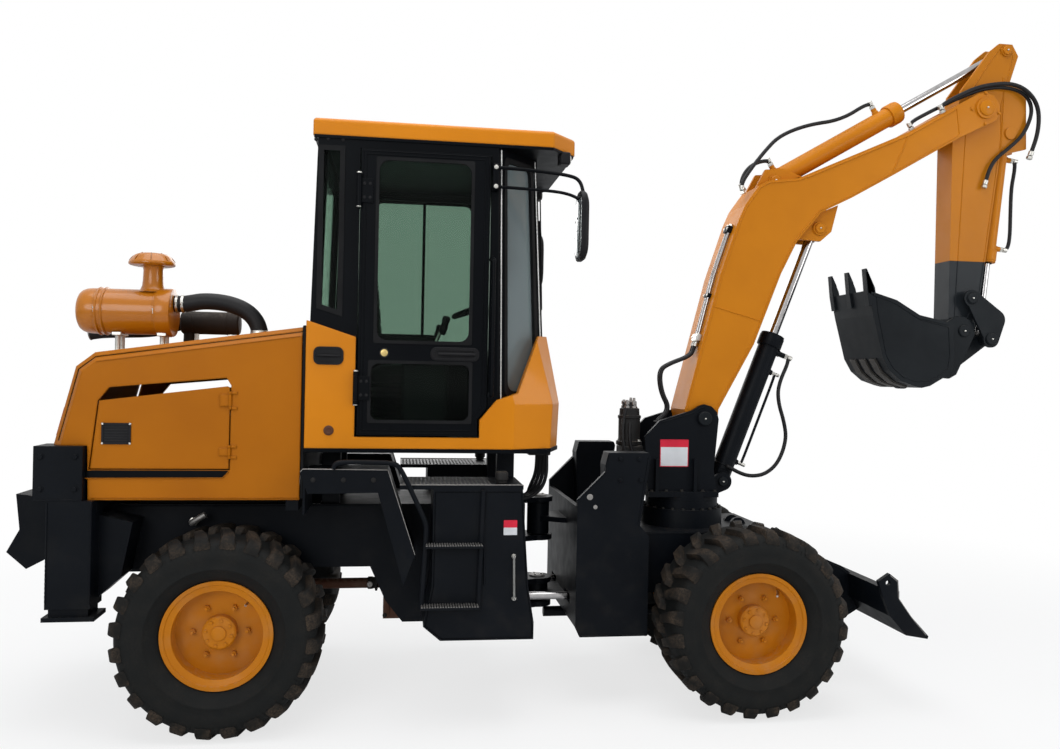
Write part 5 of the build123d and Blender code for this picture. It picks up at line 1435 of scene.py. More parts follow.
    def bucket(self) -> None:
        """Bucket's tooth caps and their pins, wear strips on the heel, side welds and side cutters."""
        for index, y in enumerate((-203.0, 0.0, 203.0)):
            cap = forward([(812, 2225), (798, 2330), (797.5, 2362), (803, 2362), (846, 2268), (862, 2200)])
            slab(
                f"tooth_cap_{index}", cap, (y - 24.5 if y > -200 else -225, y + 24.5 if y < 200 else 225),
                Look.BUCKET_BLACK, "bucket_shell", 0.003,
            )
            hole = forward([(838, 2222)])[0]
            for hand, word in BOTH:
                edge = np.clip(y + hand * 24.5, -224.8, 224.8)
                knob(
                    f"tooth_pin_{index}_{word}", at(hole[0], hole[1], edge), (0, hand, 0), 0.008, 0.002,
                    Look.BUCKET_BLACK, "bucket_shell", 14,
                )
        band = [
            (922, 1858), (965, 1786), (1032, 1731), (1112, 1706), (1112, 1687.4), (1024, 1714), (950, 1770),
            (903, 1848.5),
        ]
        for index, y in enumerate((-112.5, 0.0, 112.5)):
            slab(f"heel_strip_{index}", forward(band), (y - 31, y + 31), Look.RUBBED_STEEL, "bucket_shell", 0.002)
        outline = [
            (860, 2225), (875, 2110), (930, 1870), (972, 1800), (1035, 1748), (1112, 1722), (1206, 1724), (1285, 1775)
        ]
        outline += [(1318, 1800), (1330, 1880), (1318, 2045), (1135, 2085), (995, 2165)]
        seam("bucket_weld", forward(outline), 225.0, Look.BUCKET_BLACK, "bucket_shell", 3, 2.8)
        cutter = forward(
            [(831, 2233), (991, 2187), (1135, 2105), (1311, 2070), (1311, 2052), (1128, 2086), (982, 2168), (850, 2208)]
        )
        for side in BOTH:
            slab_on(side, "side_cutter", cutter, (219, 227), Look.BUCKET_BLACK, "bucket_shell", 0.002)

    def build(self) -> None:
        """Dresses the whole arm."""
        for step in (
            self.joints, self.boom, self.stick, self.linkage, self.rams, self.boom_hoses, self.ram_hoses, self.bucket
        ):
            step()
            LOG.info("arm %s", step.__name__)


# ------------------------------------------------------------------ cab
@dataclass
class Cushion:
    """Padded seat cushion: a pillow-like closed form that is blown up as cloth, with sewn channels pressed in."""

    name: str
    centre: tuple[float, float, float]
    half: tuple[float, float, float]
    lean: float
    channels: tuple[float, ...]
    cap: float = 0.014
    voxel: float = 0.008
    depth: float = 0.007
    stitch: float = 0.66
    rows: int = 31
    columns: int = 64
    cloth_frames: int = 14

    def turn(self) -> np.ndarray:
        """Rotation about the sideways axis that leans the cushion."""
        c, s = math.cos(self.lean), math.sin(self.lean)
        return np.array([[c, 0, s], [0, 1, 0], [-s, 0, c]])

    def blank(self) -> np.ndarray:
        """Superellipsoid points: each sine and cosine of (u, v) raised to a small power, scaled to the half sizes."""
        u = np.linspace(-math.pi, math.pi, self.columns, endpoint=False)[None, :]
        v = np.linspace(-math.pi / 2, math.pi / 2, self.rows + 2)[1:-1, None]

        def power(value: np.ndarray, share: float) -> np.ndarray:
            """Signed power, which squares a circle off."""
            return np.sign(value) * np.abs(value) ** share

        x = power(np.cos(v), 0.42) * power(np.cos(u), 0.28)
        y = power(np.cos(v), 0.42) * power(np.sin(u), 0.28)
        z = power(np.sin(v), 0.75) * np.ones_like(u)
        return np.stack([x, y, z], -1).reshape(-1, 3) * np.array(self.half)

    def blow(self, thing: bpy.types.Object) -> None:
        """Remeshes evenly, inflates with cloth pressure and keeps every point within the cap.

        Args:
            thing: The cushion's object, whose mesh is replaced.
        """
        remesh = thing.modifiers.new("even", "REMESH")
        remesh.mode = "VOXEL"
        remesh.voxel_size = self.voxel
        self.bake(thing)
        start = np.empty(len(thing.data.vertices) * 3)
        thing.data.vertices.foreach_get("co", start)
        cloth = thing.modifiers.new("cloth", "CLOTH")
        cloth.settings.use_pressure = True
        cloth.settings.uniform_pressure_force = 4.0
        cloth.settings.effector_weights.gravity = 0.0
        cloth.settings.tension_stiffness = 18.0
        cloth.settings.bending_stiffness = 1.5
        scene = bpy.context.scene
        for step in range(1, self.cloth_frames + 1):
            scene.frame_set(step)
        self.bake(thing)
        scene.frame_set(1)
        end = np.empty_like(start)
        thing.data.vertices.foreach_get("co", end)
        move = (end - start).reshape(-1, 3)
        length = np.maximum(np.linalg.norm(move, axis=1, keepdims=True), 1e-9)
        move *= np.minimum(length, self.cap) / length
        thing.data.vertices.foreach_set("co", (start.reshape(-1, 3) + move).ravel())

    def bake(self, thing: bpy.types.Object) -> None:
        """Puts the modified mesh in the mesh's place and drops the modifiers."""
        evaluated = thing.evaluated_get(bpy.context.evaluated_depsgraph_get())
        mesh = bpy.data.meshes.new_from_object(evaluated)
        thing.modifiers.clear()
        thing.data = mesh

    def press(self, thing: bpy.types.Object) -> None:
        """Sewn channels: the upper face sinks by a bell curve across each line; two lines run lengthwise too.

        Args:
            thing: The cushion's object, whose points are moved.
        """
        points = np.empty(len(thing.data.vertices) * 3)
        thing.data.vertices.foreach_get("co", points)
        local = (points.reshape(-1, 3) - np.array(self.centre)) @ self.turn()
        top = np.clip(local[:, 2] / self.half[2], 0.0, 1.0)
        inside = np.abs(local[:, 1]) < self.half[1] * self.stitch
        sink = np.zeros(len(local))
        for line in self.channels:
            sink += np.exp(-(((local[:, 0] - line * self.half[0]) / 0.007) ** 2)) * inside
        for side in (-self.stitch, self.stitch):
            sink += np.exp(-(((local[:, 1] - side * self.half[1]) / 0.008) ** 2))
        local[:, 2] -= np.minimum(sink, 1.0) * top * self.depth
        thing.data.vertices.foreach_set("co", (local @ self.turn().T + np.array(self.centre)).ravel())
        thing.data.update()

    def build(self, body: str) -> bpy.types.Object:
        """Args:
            body: CAD body that it rides.

        Returns:
            The finished cushion.
        """
        points = self.blank() @ self.turn().T + np.array(self.centre)
        thing = add_mesh(self.name, points, capped(self.rows, self.columns), Look.SEAT, body, 180)
        self.blow(thing)
        self.press(thing)
        thing.data.polygons.foreach_set("use_smooth", [True] * len(thing.data.polygons))
        return thing


@dataclass
class Cab:
    """Cab: window seals, what is fixed to the door, roof lamps, mirrors, rails, wiper, seat and levers."""

    floor: float = 1343.0
    corner: tuple = ((1300, 560, 1343), (1583, 330, 1343), (1505, 330, 2860), (1280, 560, 2860))
    door_y: float = 585.0

    def sided(self, hand: int, points: Sequence[Point]) -> list:
        """Corner points on one side, ordered so that the panel's normal points out."""
        placed = [(x, hand * y, z) for x, y, z in points]
        return placed if hand < 0 else [placed[1], placed[0], placed[3], placed[2]]

    def seals(self) -> None:
        """Black rubber round every fixed window, and light glossy lines along both edges of each corner window that
        stand for painted highlights on the pillar edges.
        """
        for hand, word in BOTH:
            quarter = [(418, 2800), (420, 2030), (520, 2000), (520, 2800)]
            outer = inset(quarter, -12)
            ring(f"quarter_seal_{word}", outer, inset(quarter, 13), (hand * 556, hand * 564), Look.SEAL)
            panel = self.sided(hand, self.corner)
            length = math.dist(panel[0], panel[1])
            middle = length / 2
            low, high = (middle - 125, 1620 - self.floor), (middle + 125, 2800 - self.floor)
            panel_ring(f"corner_seal_{word}", panel, low, high, 14, (-16, 5), Look.SEAL)
            # Painted highlight: thin light glossy beads along the corner window's edges stand for the light caught by
            # the pillar edges.
            for edge in (0.06, 0.94):
                t = np.linspace(0.16, 0.985, 30)
                line = sheet_between(panel, np.full(30, edge), t, 2.0)
                bead(f"corner_edge_highlight_{word}_{int(edge * 100)}", line, Look.CLEAR_LENS, "chassis", 0.0035)
        front = [(1583, -330, 1343), (1583, 330, 1343), (1505, 330, 2860), (1505, -330, 2860)]
        panel_ring("front_seal", front, (60, 1960 - self.floor), (600, 2800 - self.floor), 16, (-14, 5), Look.SEAL)
        back = [(365, 560, 1343), (365, -560, 1343), (403, -560, 2860), (403, 560, 2860)]
        panel_ring("rear_seal", back, (130, 1980 - self.floor), (990, 2780 - self.floor), 16, (-14, 4), Look.SEAL)
        window = grown((635, 1250), (1850, 2770), 30, 10)
        inner = grown((635, 1250), (1850, 2770), 60, -14)
        ring("left_window_seal", window, inner, (548, 565), Look.SEAL)
        slab(
            "left_window_bar", [(934, 1850), (952, 1850), (952, 2770), (934, 2770)], (545, 562), Look.TRIM, "chassis",
            0.002,
        )

    def door(self) -> None:
        """Glass seals, pressed lines, lock, pull handle and hinge caps of the right door."""
        body, y = "right_door_leaf", -self.door_y
        upper, lower = ((689, 1156), (1864, 2758)), ((666, 1161), (1476, 1770))
        for name, (x, z), radius in (("upper", upper, 48), ("lower", lower, 34)):
            ring(
                f"door_seal_{name}", grown(x, z, 4, 6), grown(x, z, radius + 10, -10), (y + 12, y - 3), Look.SEAL, body
            )
        for name, by in (("outer", -10), ("inner", -26)):
            edge = [(611, 1410), (1195, 1410), (1195, 1492), (1240, 1550), (1240, 2800), (611, 2800)]
            loop = inset(edge, -by)
            loop = np.vstack([loop, loop[:1]])
            bead(f"door_line_{name}", [at(px, pz, y) for px, pz in loop], Look.CAB_BLACK, body, 0.0028)
        slab("door_belt", round_rectangle((960, 1200), (1778, 1846), 30), (y, y - 5), Look.TRIM, body, 0.003)
        ring(
            "door_pull_rim", grown((975, 1185), (1790, 1834), 22, 5), grown((975, 1185), (1790, 1834), 22, -4),
            (y - 3, y - 11), Look.TRIM, body,
        )
        grip = [
            (1000, y - 10, 1812), (1020, y - 17, 1812), (1090, y - 18, 1812), (1160, y - 17, 1812), (1178, y - 10, 1812)
        ]
        tube("door_grip", route(grip), 0.008, Look.TRIM, body)
        turned(
            "door_lock", (737, y, 1812), (737, y - 100, 1812), [(0, 17), (4, 17), (5, 14), (9, 13), (9.5, 6), (7, 5.5)],
            Look.BRASS, body, 24,
        )
        turned(
            "door_lock_plate", (737, y, 1812), (737, y - 100, 1812), [(0, 24), (2, 24), (3.5, 21)], Look.TRIM, body, 28
        )
        for index, (low, high) in enumerate(((2537, 2654), (1580, 1697))):
            turned(
                f"door_hinge_pin_{index}", (603, -600, low - 26), (603, -600, low), [(0, 8), (2, 12.6), (5, 12.6)],
                Look.ZINC, "chassis", 16,
            )
            turned(
                f"door_hinge_cap_{index}", (603, -600, high + 22), (603, -600, high + 60),
                [(0, 12.6), (5, 12.6), (8, 8)], Look.ZINC, "chassis", 16,
            )
            places = [at(x, z, y - 8.2) for x in (628, 655) for z in (low + 25, high - 25)]
            bolts(f"door_hinge_bolts_{index}", places, (0, -1, 0), 0.006, 0.004, Look.TRIM, body)
        stay = [(700, -545, 1440), (640, -520, 1440), (610, -500, 1440)]
        tube("door_stay", route(stay), 0.006, Look.ZINC)

    def shell(self) -> None:
        """On the cladding: recessed handles and caps; on the roof: lamps, bolts and gutter; below: the base band."""
        for hand, word in BOTH:
            y = hand * 580.2
            pocket = ((406, 538), (1754, 1831))
            ring(f"rear_pull_rim_{word}", grown(*pocket, 24, 5), grown(*pocket, 24, -5), (y, y + hand * 6), Look.TRIM)
            slab(
                f"rear_pull_plate_{word}", round_rectangle(*pocket, 20), (y, y + hand * 2), Look.TRIM, "chassis", 0.001
            )
            tube(
                f"rear_pull_bar_{word}",
                route([(418, y, 1792), (440, y + hand * 12, 1792), (505, y + hand * 12, 1792), (526, y, 1792)]), 0.006,
                Look.TRIM,
            )
            rim = [(0, 24), (4, 24), (6, 21), (6, 12), (4, 10)]
            turned(f"cladding_cap_{word}", (479, y, 1432), (479, y + hand * 100, 1432), rim, Look.PRIMER, "chassis", 24)
            brick(f"roof_lamp_{word}", (1600, hand * 420, 2797), (1655, hand * 505, 2859.5), Look.TRIM, edge=0.008)
            lens = [(0, 27), (3, 27), (7, 24), (10, 16)]
            turned(
                f"roof_lamp_lens_{word}", (1653, hand * 462, 2828), (1753, hand * 462, 2828), lens, Look.CLEAR_LENS,
                "chassis", 28,
            )
            hinge = [at(x, z, hand * 560.5) for x, z in ((392, 2837), (450, 2842), (520, 2842))]
            bolts(f"roof_bolts_{word}", hinge, (0, hand, 0), 0.007, 0.005, Look.TRIM)
        outline = np.array(
            [(362, 583), (1382, 583), (1583, 482), (1650, 300), (1650, -300), (1583, -482), (1382, -583), (362, -583)]
        )
        inner = outline * (0.96, 0.93) + (30, 0)
        self.band("cab_base_band", outline, inner, (1326, 1346), Look.CAB_BLACK)
        gutter = np.array([(384, 566), (1556, 566), (1683, 424), (1683, -424), (1556, -566), (384, -566)])
        self.band("roof_gutter", gutter, gutter * (0.80, 0.85) + (130, 0), (2846, 2861), Look.CAB_BLACK)

    def band(
        self, name: str, outer: np.ndarray, inner: np.ndarray, z: tuple[float, float], look: Look
    ) -> bpy.types.Object:
        """Level band between two plan outlines in (ahead, left) millimetres from one height to another."""
        loops = ((outer, z[0]), (inner, z[0]), (inner, z[1]), (outer, z[1]))
        flat = [
            np.column_stack([loop / MM_PER_M + (REAR_AXLE_X, 0.0), np.full(len(loop), level / MM_PER_M)])
            for loop, level in loops
        ]
        return add_mesh(name, np.vstack(flat), grid_faces(4, len(outer), wrap_rows=True, wrap_columns=True), look)

    def mirrors(self) -> None:
        """Mirror heads on bent arms, their brackets and glass, and the grab rails beside the front corners."""
        pieces = []
        for hand, word in BOTH:
            wall, out = hand * 590, hand * 690
            upper = [
                (1262, wall, 2740), (1400, wall, 2737), (1506, wall, 2730), (1610, hand * 615, 2716),
                (1676, hand * 650, 2690), (1690, out, 2600),
            ]
            pieces.append(tube(f"mirror_arm_{word}", route(upper), 0.009, Look.CAB_BLACK, "chassis", 16))
            lower = [(1262, wall, 2645), (1480, wall, 2640), (1620, hand * 640, 2620), (1690, out, 2570)]
            tube(f"mirror_stay_{word}", route(lower), 0.008, Look.CAB_BLACK, "chassis", 16)
            brick(
                f"mirror_bracket_{word}", (1250, hand * 560, 2627), (1280, hand * 602, 2759), Look.CAB_BLACK, edge=0.004
            )
            places = [at(1265, z, hand * 602) for z in (2645, 2740)]
            bolts(f"mirror_bracket_bolts_{word}", places, (0, hand, 0), 0.008, 0.006, Look.ZINC)
            self.mirror_head(word, out)
            rail = hand * 608
            grab = [
                (1262, hand * 561, 2287), (1262, hand * 600, 2287), (1262, rail, 2240), (1262, rail, 1950),
                (1262, rail, 1660), (1262, hand * 602, 1612), (1262, hand * 581, 1612),
            ]
            tube(f"grab_rail_{word}", route(grab), 0.010, Look.CAB_BLACK, "chassis", 16)
            for z, y in ((2287, 560.5), (1612, 580.5)):
                seat = (1262, hand * y, z)
                turned(
                    f"grab_rail_foot_{word}_{z}", seat, (1262, hand * (y + 100), z), [(0, 20), (4, 20), (6, 13)],
                    Look.CAB_BLACK, "chassis", 24,
                )
        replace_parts(pieces[0], "mirrors_and_rails")

    def mirror_head(self, word: str, y: float) -> None:
        """Domed shell whose rounded outline shrinks towards the front, and the glass in the rim at its back.

        Args:
            word: Side, for the pieces' names.
            y: Middle of the mirror in millimetres to the left.
        """
        base = np.array(round_rectangle((-85, 85), (-171, 171), 68, 9))
        levels = ((1664, 0.93), (1665, 0.985), (1668, 1.0), (1684, 1.0), (1695, 0.95), (1702, 0.84), (1706, 0.62))
        glass = ((1664.2, 0.86), (1663.2, 0.86), (1662.6, 0.84))
        height = 2449
        for name, sections, look, smooth in (("head", levels, Look.TRIM, 40), ("glass", glass, Look.MIRROR, 30)):
            points = [at(x, across * s + height, out * s + y) for x, s in sections for out, across in base]
            faces = capped(len(sections), len(base))
            add_mesh(f"mirror_{name}_{word}", np.array(points), faces, look, "chassis", smooth)

    def wiper(self) -> None:
        """Wiper motor cap, arm and blade on the windscreen."""
        turned(
            "wiper_pivot", (1560, 60, 1972), (1640, 60, 1976), [(0, 20), (10, 20), (14, 14), (22, 12)], Look.TRIM,
            "chassis", 24,
        )
        tube(
            "wiper_arm", route([(1580, 60, 1975), (1582, 40, 2060), (1572, -20, 2300), (1558, -60, 2440)]), 0.006,
            Look.TRIM,
        )
        slab(
            "wiper_blade", [(1583, 2080), (1589, 2082), (1568, 2742), (1562, 2740)], (-84, -72), Look.SEAL, "chassis",
            0.001,
        )
        tube("wiper_link", route([(1576, -78, 2240), (1572, -66, 2400), (1564, -78, 2580)]), 0.004, Look.TRIM)

    def seat(self) -> None:
        """Sprung base with bellows, two padded cushions and their armrests."""
        base = [
            (0, 190), (20, 200), (34, 184), (50, 200), (66, 184), (82, 200), (98, 184), (114, 200), (130, 184),
            (146, 200), (170, 188),
        ]
        pedestal = turned("seat_bellows", (850, 0, 1470), (850, 0, 1700), base, Look.TRIM, "chassis", 48)
        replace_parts(pedestal, "seat")
        brick("seat_pedestal", (650, -205, 1384), (1050, 205, 1475), Look.CASTING, "chassis", 0.008)
        brick("seat_pan", (632, -225, 1636), (1070, 225, 1662), Look.TRIM, "chassis", 0.01)
        origin = np.array((REAR_AXLE_X, 0, 0))
        cushions = (
            Cushion(
                "seat_cushion", tuple(origin + (0.852, 0, 1.705)), (0.208, 0.222, 0.048), -0.05, (-0.45, 0.0, 0.45)
            ),
            Cushion(
                "seat_back", tuple(origin + (0.640, 0, 2.035)), (0.285, 0.215, 0.046), math.radians(85),
                (-0.5, -0.15, 0.2, 0.55),
            ),
        )
        for cushion in cushions:
            cushion.build("chassis")
        rest = round_rectangle((690, 1000), (1868, 1918), 24)
        for hand, word in BOTH:
            slab(f"armrest_{word}", rest, (hand * 236, hand * 296), Look.SEAT, edge=0.02)
            tube(
                f"armrest_bracket_{word}",
                route([(660, hand * 200, 1850), (680, hand * 250, 1870), (760, hand * 262, 1880)]), 0.012, Look.CASTING,
            )

    def controls(self) -> None:
        """Steering column and wheel, side consoles, joysticks with boots, and pedals."""
        column = slab(
            "steering_column", [(1248, 1384), (1358, 1384), (1352, 1880), (1300, 2090), (1272, 2090), (1256, 1880)],
            (-58, 58), Look.TRIM, "chassis", 0.018,
        )
        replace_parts(column, "controls")
        centre, tilt = np.array(at(1270, 2098, 0)), 0.356
        turn = np.linspace(0, FULL_TURN, 61)
        along, level = np.array([math.cos(tilt), 0, math.sin(tilt)]), np.array([0.0, 1.0, 0.0])
        circle = centre + 0.176 * (np.cos(turn)[:, None] * along + np.sin(turn)[:, None] * level)
        add_mesh("steering_wheel", *swept(circle, np.full(len(turn), 0.014), 14), Look.TRIM, "chassis", 60)
        for index, angle in enumerate((0.5, math.pi - 0.5, 1.5 * math.pi)):
            tip = centre + 0.17 * (math.cos(angle) * along + math.sin(angle) * level)
            rod(
                f"steering_spoke_{index}", centre, tip, [(0, 0.012), (0.5, 0.009), (1, 0.009)], Look.TRIM, "chassis", 12
            )
        rise = 0.02 * np.cross(along, level)
        rod(
            "steering_hub", centre - rise, centre + rise, [(0, 0.03), (0.2, 0.042), (0.8, 0.042), (1, 0.034)], Look.TRIM
        )
        for hand, word in BOTH:
            slab(
                f"console_{word}", [(822, 1384), (1058, 1384), (1058, 1760), (1030, 1796), (822, 1796)],
                (hand * 332, hand * 478), Look.TRIM, "chassis", 0.02,
            )
            boot = [(0, 46), (8, 48), (16, 38), (24, 40), (34, 30), (42, 31), (54, 20), (62, 20), (74, 12)]
            turned(
                f"lever_boot_{word}", (975, hand * 405, 1794), (990, hand * 405, 1894), boot, Look.SEAL, "chassis", 28
            )
            stem = [(982, hand * 405, 1850), (1000, hand * 405, 1900), (1026, hand * 405, 1955)]
            tube(f"lever_stem_{word}", route(stem), 0.007, Look.ZINC)
            grip = [(0, 12), (10, 18), (40, 20), (60, 17), (74, 21), (90, 20), (98, 12)]
            turned(
                f"lever_grip_{word}", (1022, hand * 405, 1915), (1046, hand * 405, 2006), grip, Look.TRIM, "chassis", 24
            )
            brick(f"pedal_{word}", (1340, hand * 110, 1384), (1480, hand * 200, 1398), Look.WORN_STEEL)

    def build(self) -> None:
        """Dresses the whole cab."""
        for step in (self.seals, self.door, self.shell, self.mirrors, self.wiper, self.seat, self.controls):
            step()
            LOG.info("cab %s", step.__name__)


# ------------------------------------------------------------------ engine end
@dataclass
class EngineEnd:
    """Bonnet's side slots, their shade painted as a black strip, and vents, air cleaner, intake pipe, silencer and tail
    lamps.
    """

    half: float = 560.0
    cleaner_y: float = -300.0
    cleaner_z: float = 1994.0

    def bonnet(self) -> None:
        """Slot in the side with its shade painted as a black strip and its lip below, vent, cover hinges, crest line
        and foot line on both sides, and the seal against the cab.
        """
        for hand, word in BOTH:
            y = hand * (self.half + 0.4)
            out = hand * (self.half + 2.4)
            body = f"{word}_bonnet_cover"
            # Painted shade: a thin black plate on the surface stands for the shade inside the slot along the bonnet's
            # side.
            slot_shade = [(-596, 1234), (12, 1234), (12, 1228), (-14, 1200), (-628, 1197), (-628, 1231)]
            slab(f"bonnet_stripe_{word}", slot_shade, (y, out), Look.CAB_BLACK, "chassis", 0.001)
            lip = [at(x, z, out) for x, z in ((-628, 1196), (-12, 1199), (16, 1229))]
            bead(f"bonnet_slot_lip_{word}", lip, Look.BONNET_YELLOW, "chassis", 0.003)
            vent = ((-560, -429), (1356, 1456))
            slab(f"vent_plate_{word}", round_rectangle(*vent, 8), (y, out), Look.TRIM, body, 0.001)
            ring(f"vent_frame_{word}", grown(*vent, 8, 0), grown(*vent, 8, -10), (out, out + hand * 3), Look.TRIM, body)
            for index, z in enumerate(np.linspace(1374, 1438, 6)):
                louvre = [(-547, z - 3), (-442, z - 3), (-442, z + 1), (-547, z + 1)]
                slab(f"vent_louvre_{word}_{index}", louvre, (out, out + hand * 3), Look.VENT, body, 0.001)
            places = [at(x, z, out + hand * 2) for x in (-555, -434) for z in (1361, 1451)]
            bolts(f"vent_screws_{word}", places, (0, hand, 0), 0.0045, 0.003, Look.ZINC, body)
            crest = [at(x, z, hand * (self.half + 0.3)) for x, z in ((335, 1883), (-592, 1741))]
            bead(f"bonnet_crest_{word}", crest, Look.BONNET_YELLOW, "chassis", 0.0022)
            for index, low in enumerate((1540, 1305)):
                pin = [(0, 5), (1.5, 7.4), (4, 7.4)]
                turned(
                    f"cover_hinge_{word}_{index}", (17, hand * 568, low - 15), (17, hand * 568, low), pin,
                    Look.BONNET_YELLOW, "chassis", 14,
                )
            foot = [at(x, 1103, hand * (self.half + 0.3)) for x in (-600, 338)]
            bead(f"bonnet_foot_{word}", foot, Look.BONNET_YELLOW, "chassis", 0.003)
        slab(
            "bonnet_seal", [(346.5, 1098), (363, 1098), (363, 1938), (346.5, 1936)], (-556, 556), Look.SEAL, "chassis",
            0.004,
        )

    def cleaner(self) -> None:
        """Canister with rolled ends, clamp bands, ribbed rain cap on its neck, and the saddles on their bright legs."""
        y, z = self.cleaner_y, self.cleaner_z
        a, b = (-752, y, z), (-308, y, z)
        shell = [
            (0, 40), (0, 62), (3, 80), (10, 93), (22, 103), (40, 109.5), (62, 112), (94, 112), (96, 118), (100, 119.6),
            (104, 118), (106, 113), (121, 113), (123, 118), (127, 119.6), (131, 118), (133, 112), (368, 112),
            (372, 118), (378, 120), (438, 120), (443, 117), (444, 112), (444, 55),
        ]
        canister = turned("air_cleaner_canister", a, b, shell, Look.CLEANER_YELLOW, "chassis", 64)
        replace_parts(canister, "air_cleaner")
        for index, along in enumerate((88.0, 362.0)):
            band = [(along, 112.5), (along, 114.5), (along + 16, 114.5), (along + 16, 112.5)]
            turned(f"cleaner_band_{index}", a, b, band, Look.CLEANER_YELLOW, "chassis", 64)
            turned(
                f"cleaner_clamp_{index}", (-752 + along + 8, y - 112, z + 14), (-752 + along + 8, y - 112, z - 60),
                [(0, 4), (0.5, 6), (8, 6), (9, 3.5), (26, 3.5)], Look.ZINC, "chassis", 10,
            )
        neck = [(0, 74), (6, 66), (16, 58), (34, 51), (60, 48), (110, 46), (126, 49), (132, 60)]
        turned("cleaner_neck", (-413, y, z + 98), (-413, y, z + 300), neck, Look.CLEANER_YELLOW, "chassis", 40)
        cap = [
            (0, 46), (0, 92), (3, 104), (8, 109.5), (16, 109.5), (22, 106), (31, 98), (44, 90), (52, 82), (58, 70),
            (62, 56), (64, 40), (65, 14),
        ]
        turned("rain_cap", (-419, y, 2224), (-419, y, 2324), cap, Look.CLEANER_YELLOW, "chassis", 56)
        for index, angle in enumerate(around(8, 0.2)):
            ax, ay = math.cos(angle), math.sin(angle)
            rib = [(-419 + ax * out, y + ay * out, up) for out, up in ((60, 2286), (90, 2271), (106, 2247))]
            tube(f"rain_cap_rib_{index}", route(rib), 0.0020, Look.CLEANER_YELLOW, "chassis", 8)
        for index, x in enumerate((-590, -380)):
            low = bonnet_height(x + 26)
            saddle = [(x + 4, 1874), (x + 48, 1874), (x + 48, 1892), (x + 4, 1892)]
            slab(f"cleaner_saddle_{index}", saddle, (y - 62, y + 62), Look.ZINC)
            for side, word in ((-1, "outer"), (1, "inner")):
                leg = [(0, 10), (0.5, 19), (3, 19), (5, 13), (1868 - low, 13), (1874 - low, 15)]
                turned(
                    f"cleaner_leg_{index}_{word}", (x + 26, y + side * 34, low + 2), (x + 26, y + side * 34, 1990), leg,
                    Look.ZINC, "chassis", 20,
                )
        slab(
            "cleaner_back_plate", [(-655, 2088), (-340, 2104), (-340, 2112), (-655, 2096)], (y + 10, y + 96),
            Look.CASTING,
        )

    def pipes(self) -> None:
        """Intake hose with its clamps and collar, silencer on its brackets with its inlet, and the tail pipe."""
        y = self.cleaner_y
        bends = [
            (-307, y, 2040), (-262, y, 2040), (-225, y, 2047), (-171, y, 2058), (-95, y, 2056), (-20, y, 2042),
            (48, y, 2010), (92, y, 1960), (108, y, 1903),
        ]
        hose = tube("intake_hose", route(bends), 0.0415, Look.HOSE, "chassis", 32)
        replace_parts(hose, "intake_pipe")
        for index, (start, end) in enumerate((((-300, y, 2040), (-200, y, 2040)), ((-272, y, 2041), (-172, y, 2043)))):
            turned(
                f"intake_clamp_{index}", start, end, [(0, 42), (0, 44.5), (12, 44.5), (12, 42)], Look.ZINC, "chassis",
                40,
            )
            screw = (start[0] + 6, y - 44, start[2] + 8)
            turned(
                f"intake_clamp_screw_{index}", screw, (screw[0], screw[1], screw[2] - 50),
                [(0, 3), (0.5, 5), (18, 5), (18.5, 3)], Look.ZINC, "chassis", 10,
            )
        turned(
            "intake_collar", (107, y, 1893), (109, y, 1993), [(0, 56), (4, 56), (6, 47), (22, 46), (24, 43)], Look.ZINC,
            "chassis", 40,
        )
        drum = [
            (0, 30), (3, 52), (10, 59), (60, 60), (62, 61.5), (68, 61.5), (70, 60), (230, 60), (232, 61.5), (238, 61.5),
            (240, 60), (290, 59), (297, 52), (300, 30),
        ]
        silencer = turned("silencer", (-330, -60, 1960), (-30, -60, 1960), drum, Look.MUFFLER, "chassis", 48)
        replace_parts(silencer, "exhaust")
        tail = [
            (-325, -60, 1950), (-380, -60, 1935), (-470, -60, 1908), (-600, -60, 1902), (-720, -60, 1898),
            (-786, -60, 1886),
        ]
        tube("tail_pipe", route(tail), 0.030, Look.MUFFLER, "chassis", 28)
        turned(
            "tail_pipe_mouth", (-780, -60, 1887), (-790, -60, 1885), [(0, 31), (3, 32), (6, 31), (6, 26), (1, 25)],
            Look.WORN_STEEL, "chassis", 28,
        )
        tube(
            "silencer_inlet", route([(-290, -60, 1836), (-290, -60, 1870), (-288, -60, 1915), (-282, -60, 1930)]),
            0.029, Look.MUFFLER, "chassis", 24,
        )
        for index, x in enumerate((-262, -92)):
            top = bonnet_height(x + 10)
            slab(
                f"silencer_bracket_{index}", [(x, top), (x + 24, top), (x + 24, 1912), (x, 1912)], (-74, -46),
                Look.ZINC, "chassis", 0.002,
            )

    def lamps(self) -> None:
        """Back plate and two screws of each tail lamp."""
        back = [(-748, 1529), (-738, 1529), (-771, 1384), (-782, 1384)]
        for hand, word in BOTH:
            slab(f"tail_lamp_back_{word}", back, (hand * 324, hand * 486), Look.TRIM, edge=0.002)
            places = [at(-765.5, 1455.5, hand * side) for side in (338, 472)]
            bolts(f"tail_lamp_screws_{word}", places, (-0.975, 0, 0.22), 0.004, 0.003, Look.ZINC)

    def build(self) -> None:
        """Dresses the whole engine end."""
        for step in (self.bonnet, self.cleaner, self.pipes, self.lamps):
            step()
            LOG.info("engine end %s", step.__name__)


def bonnet_height(x: float) -> float:
    """Height of the bonnet's sloping top at a distance ahead of the rear axle, both in millimetres."""
    front, front_height, rear_height, length = 345.0, 1930.0, 1786.0, 954.0
    return front_height - (front - x) * (front_height - rear_height) / length


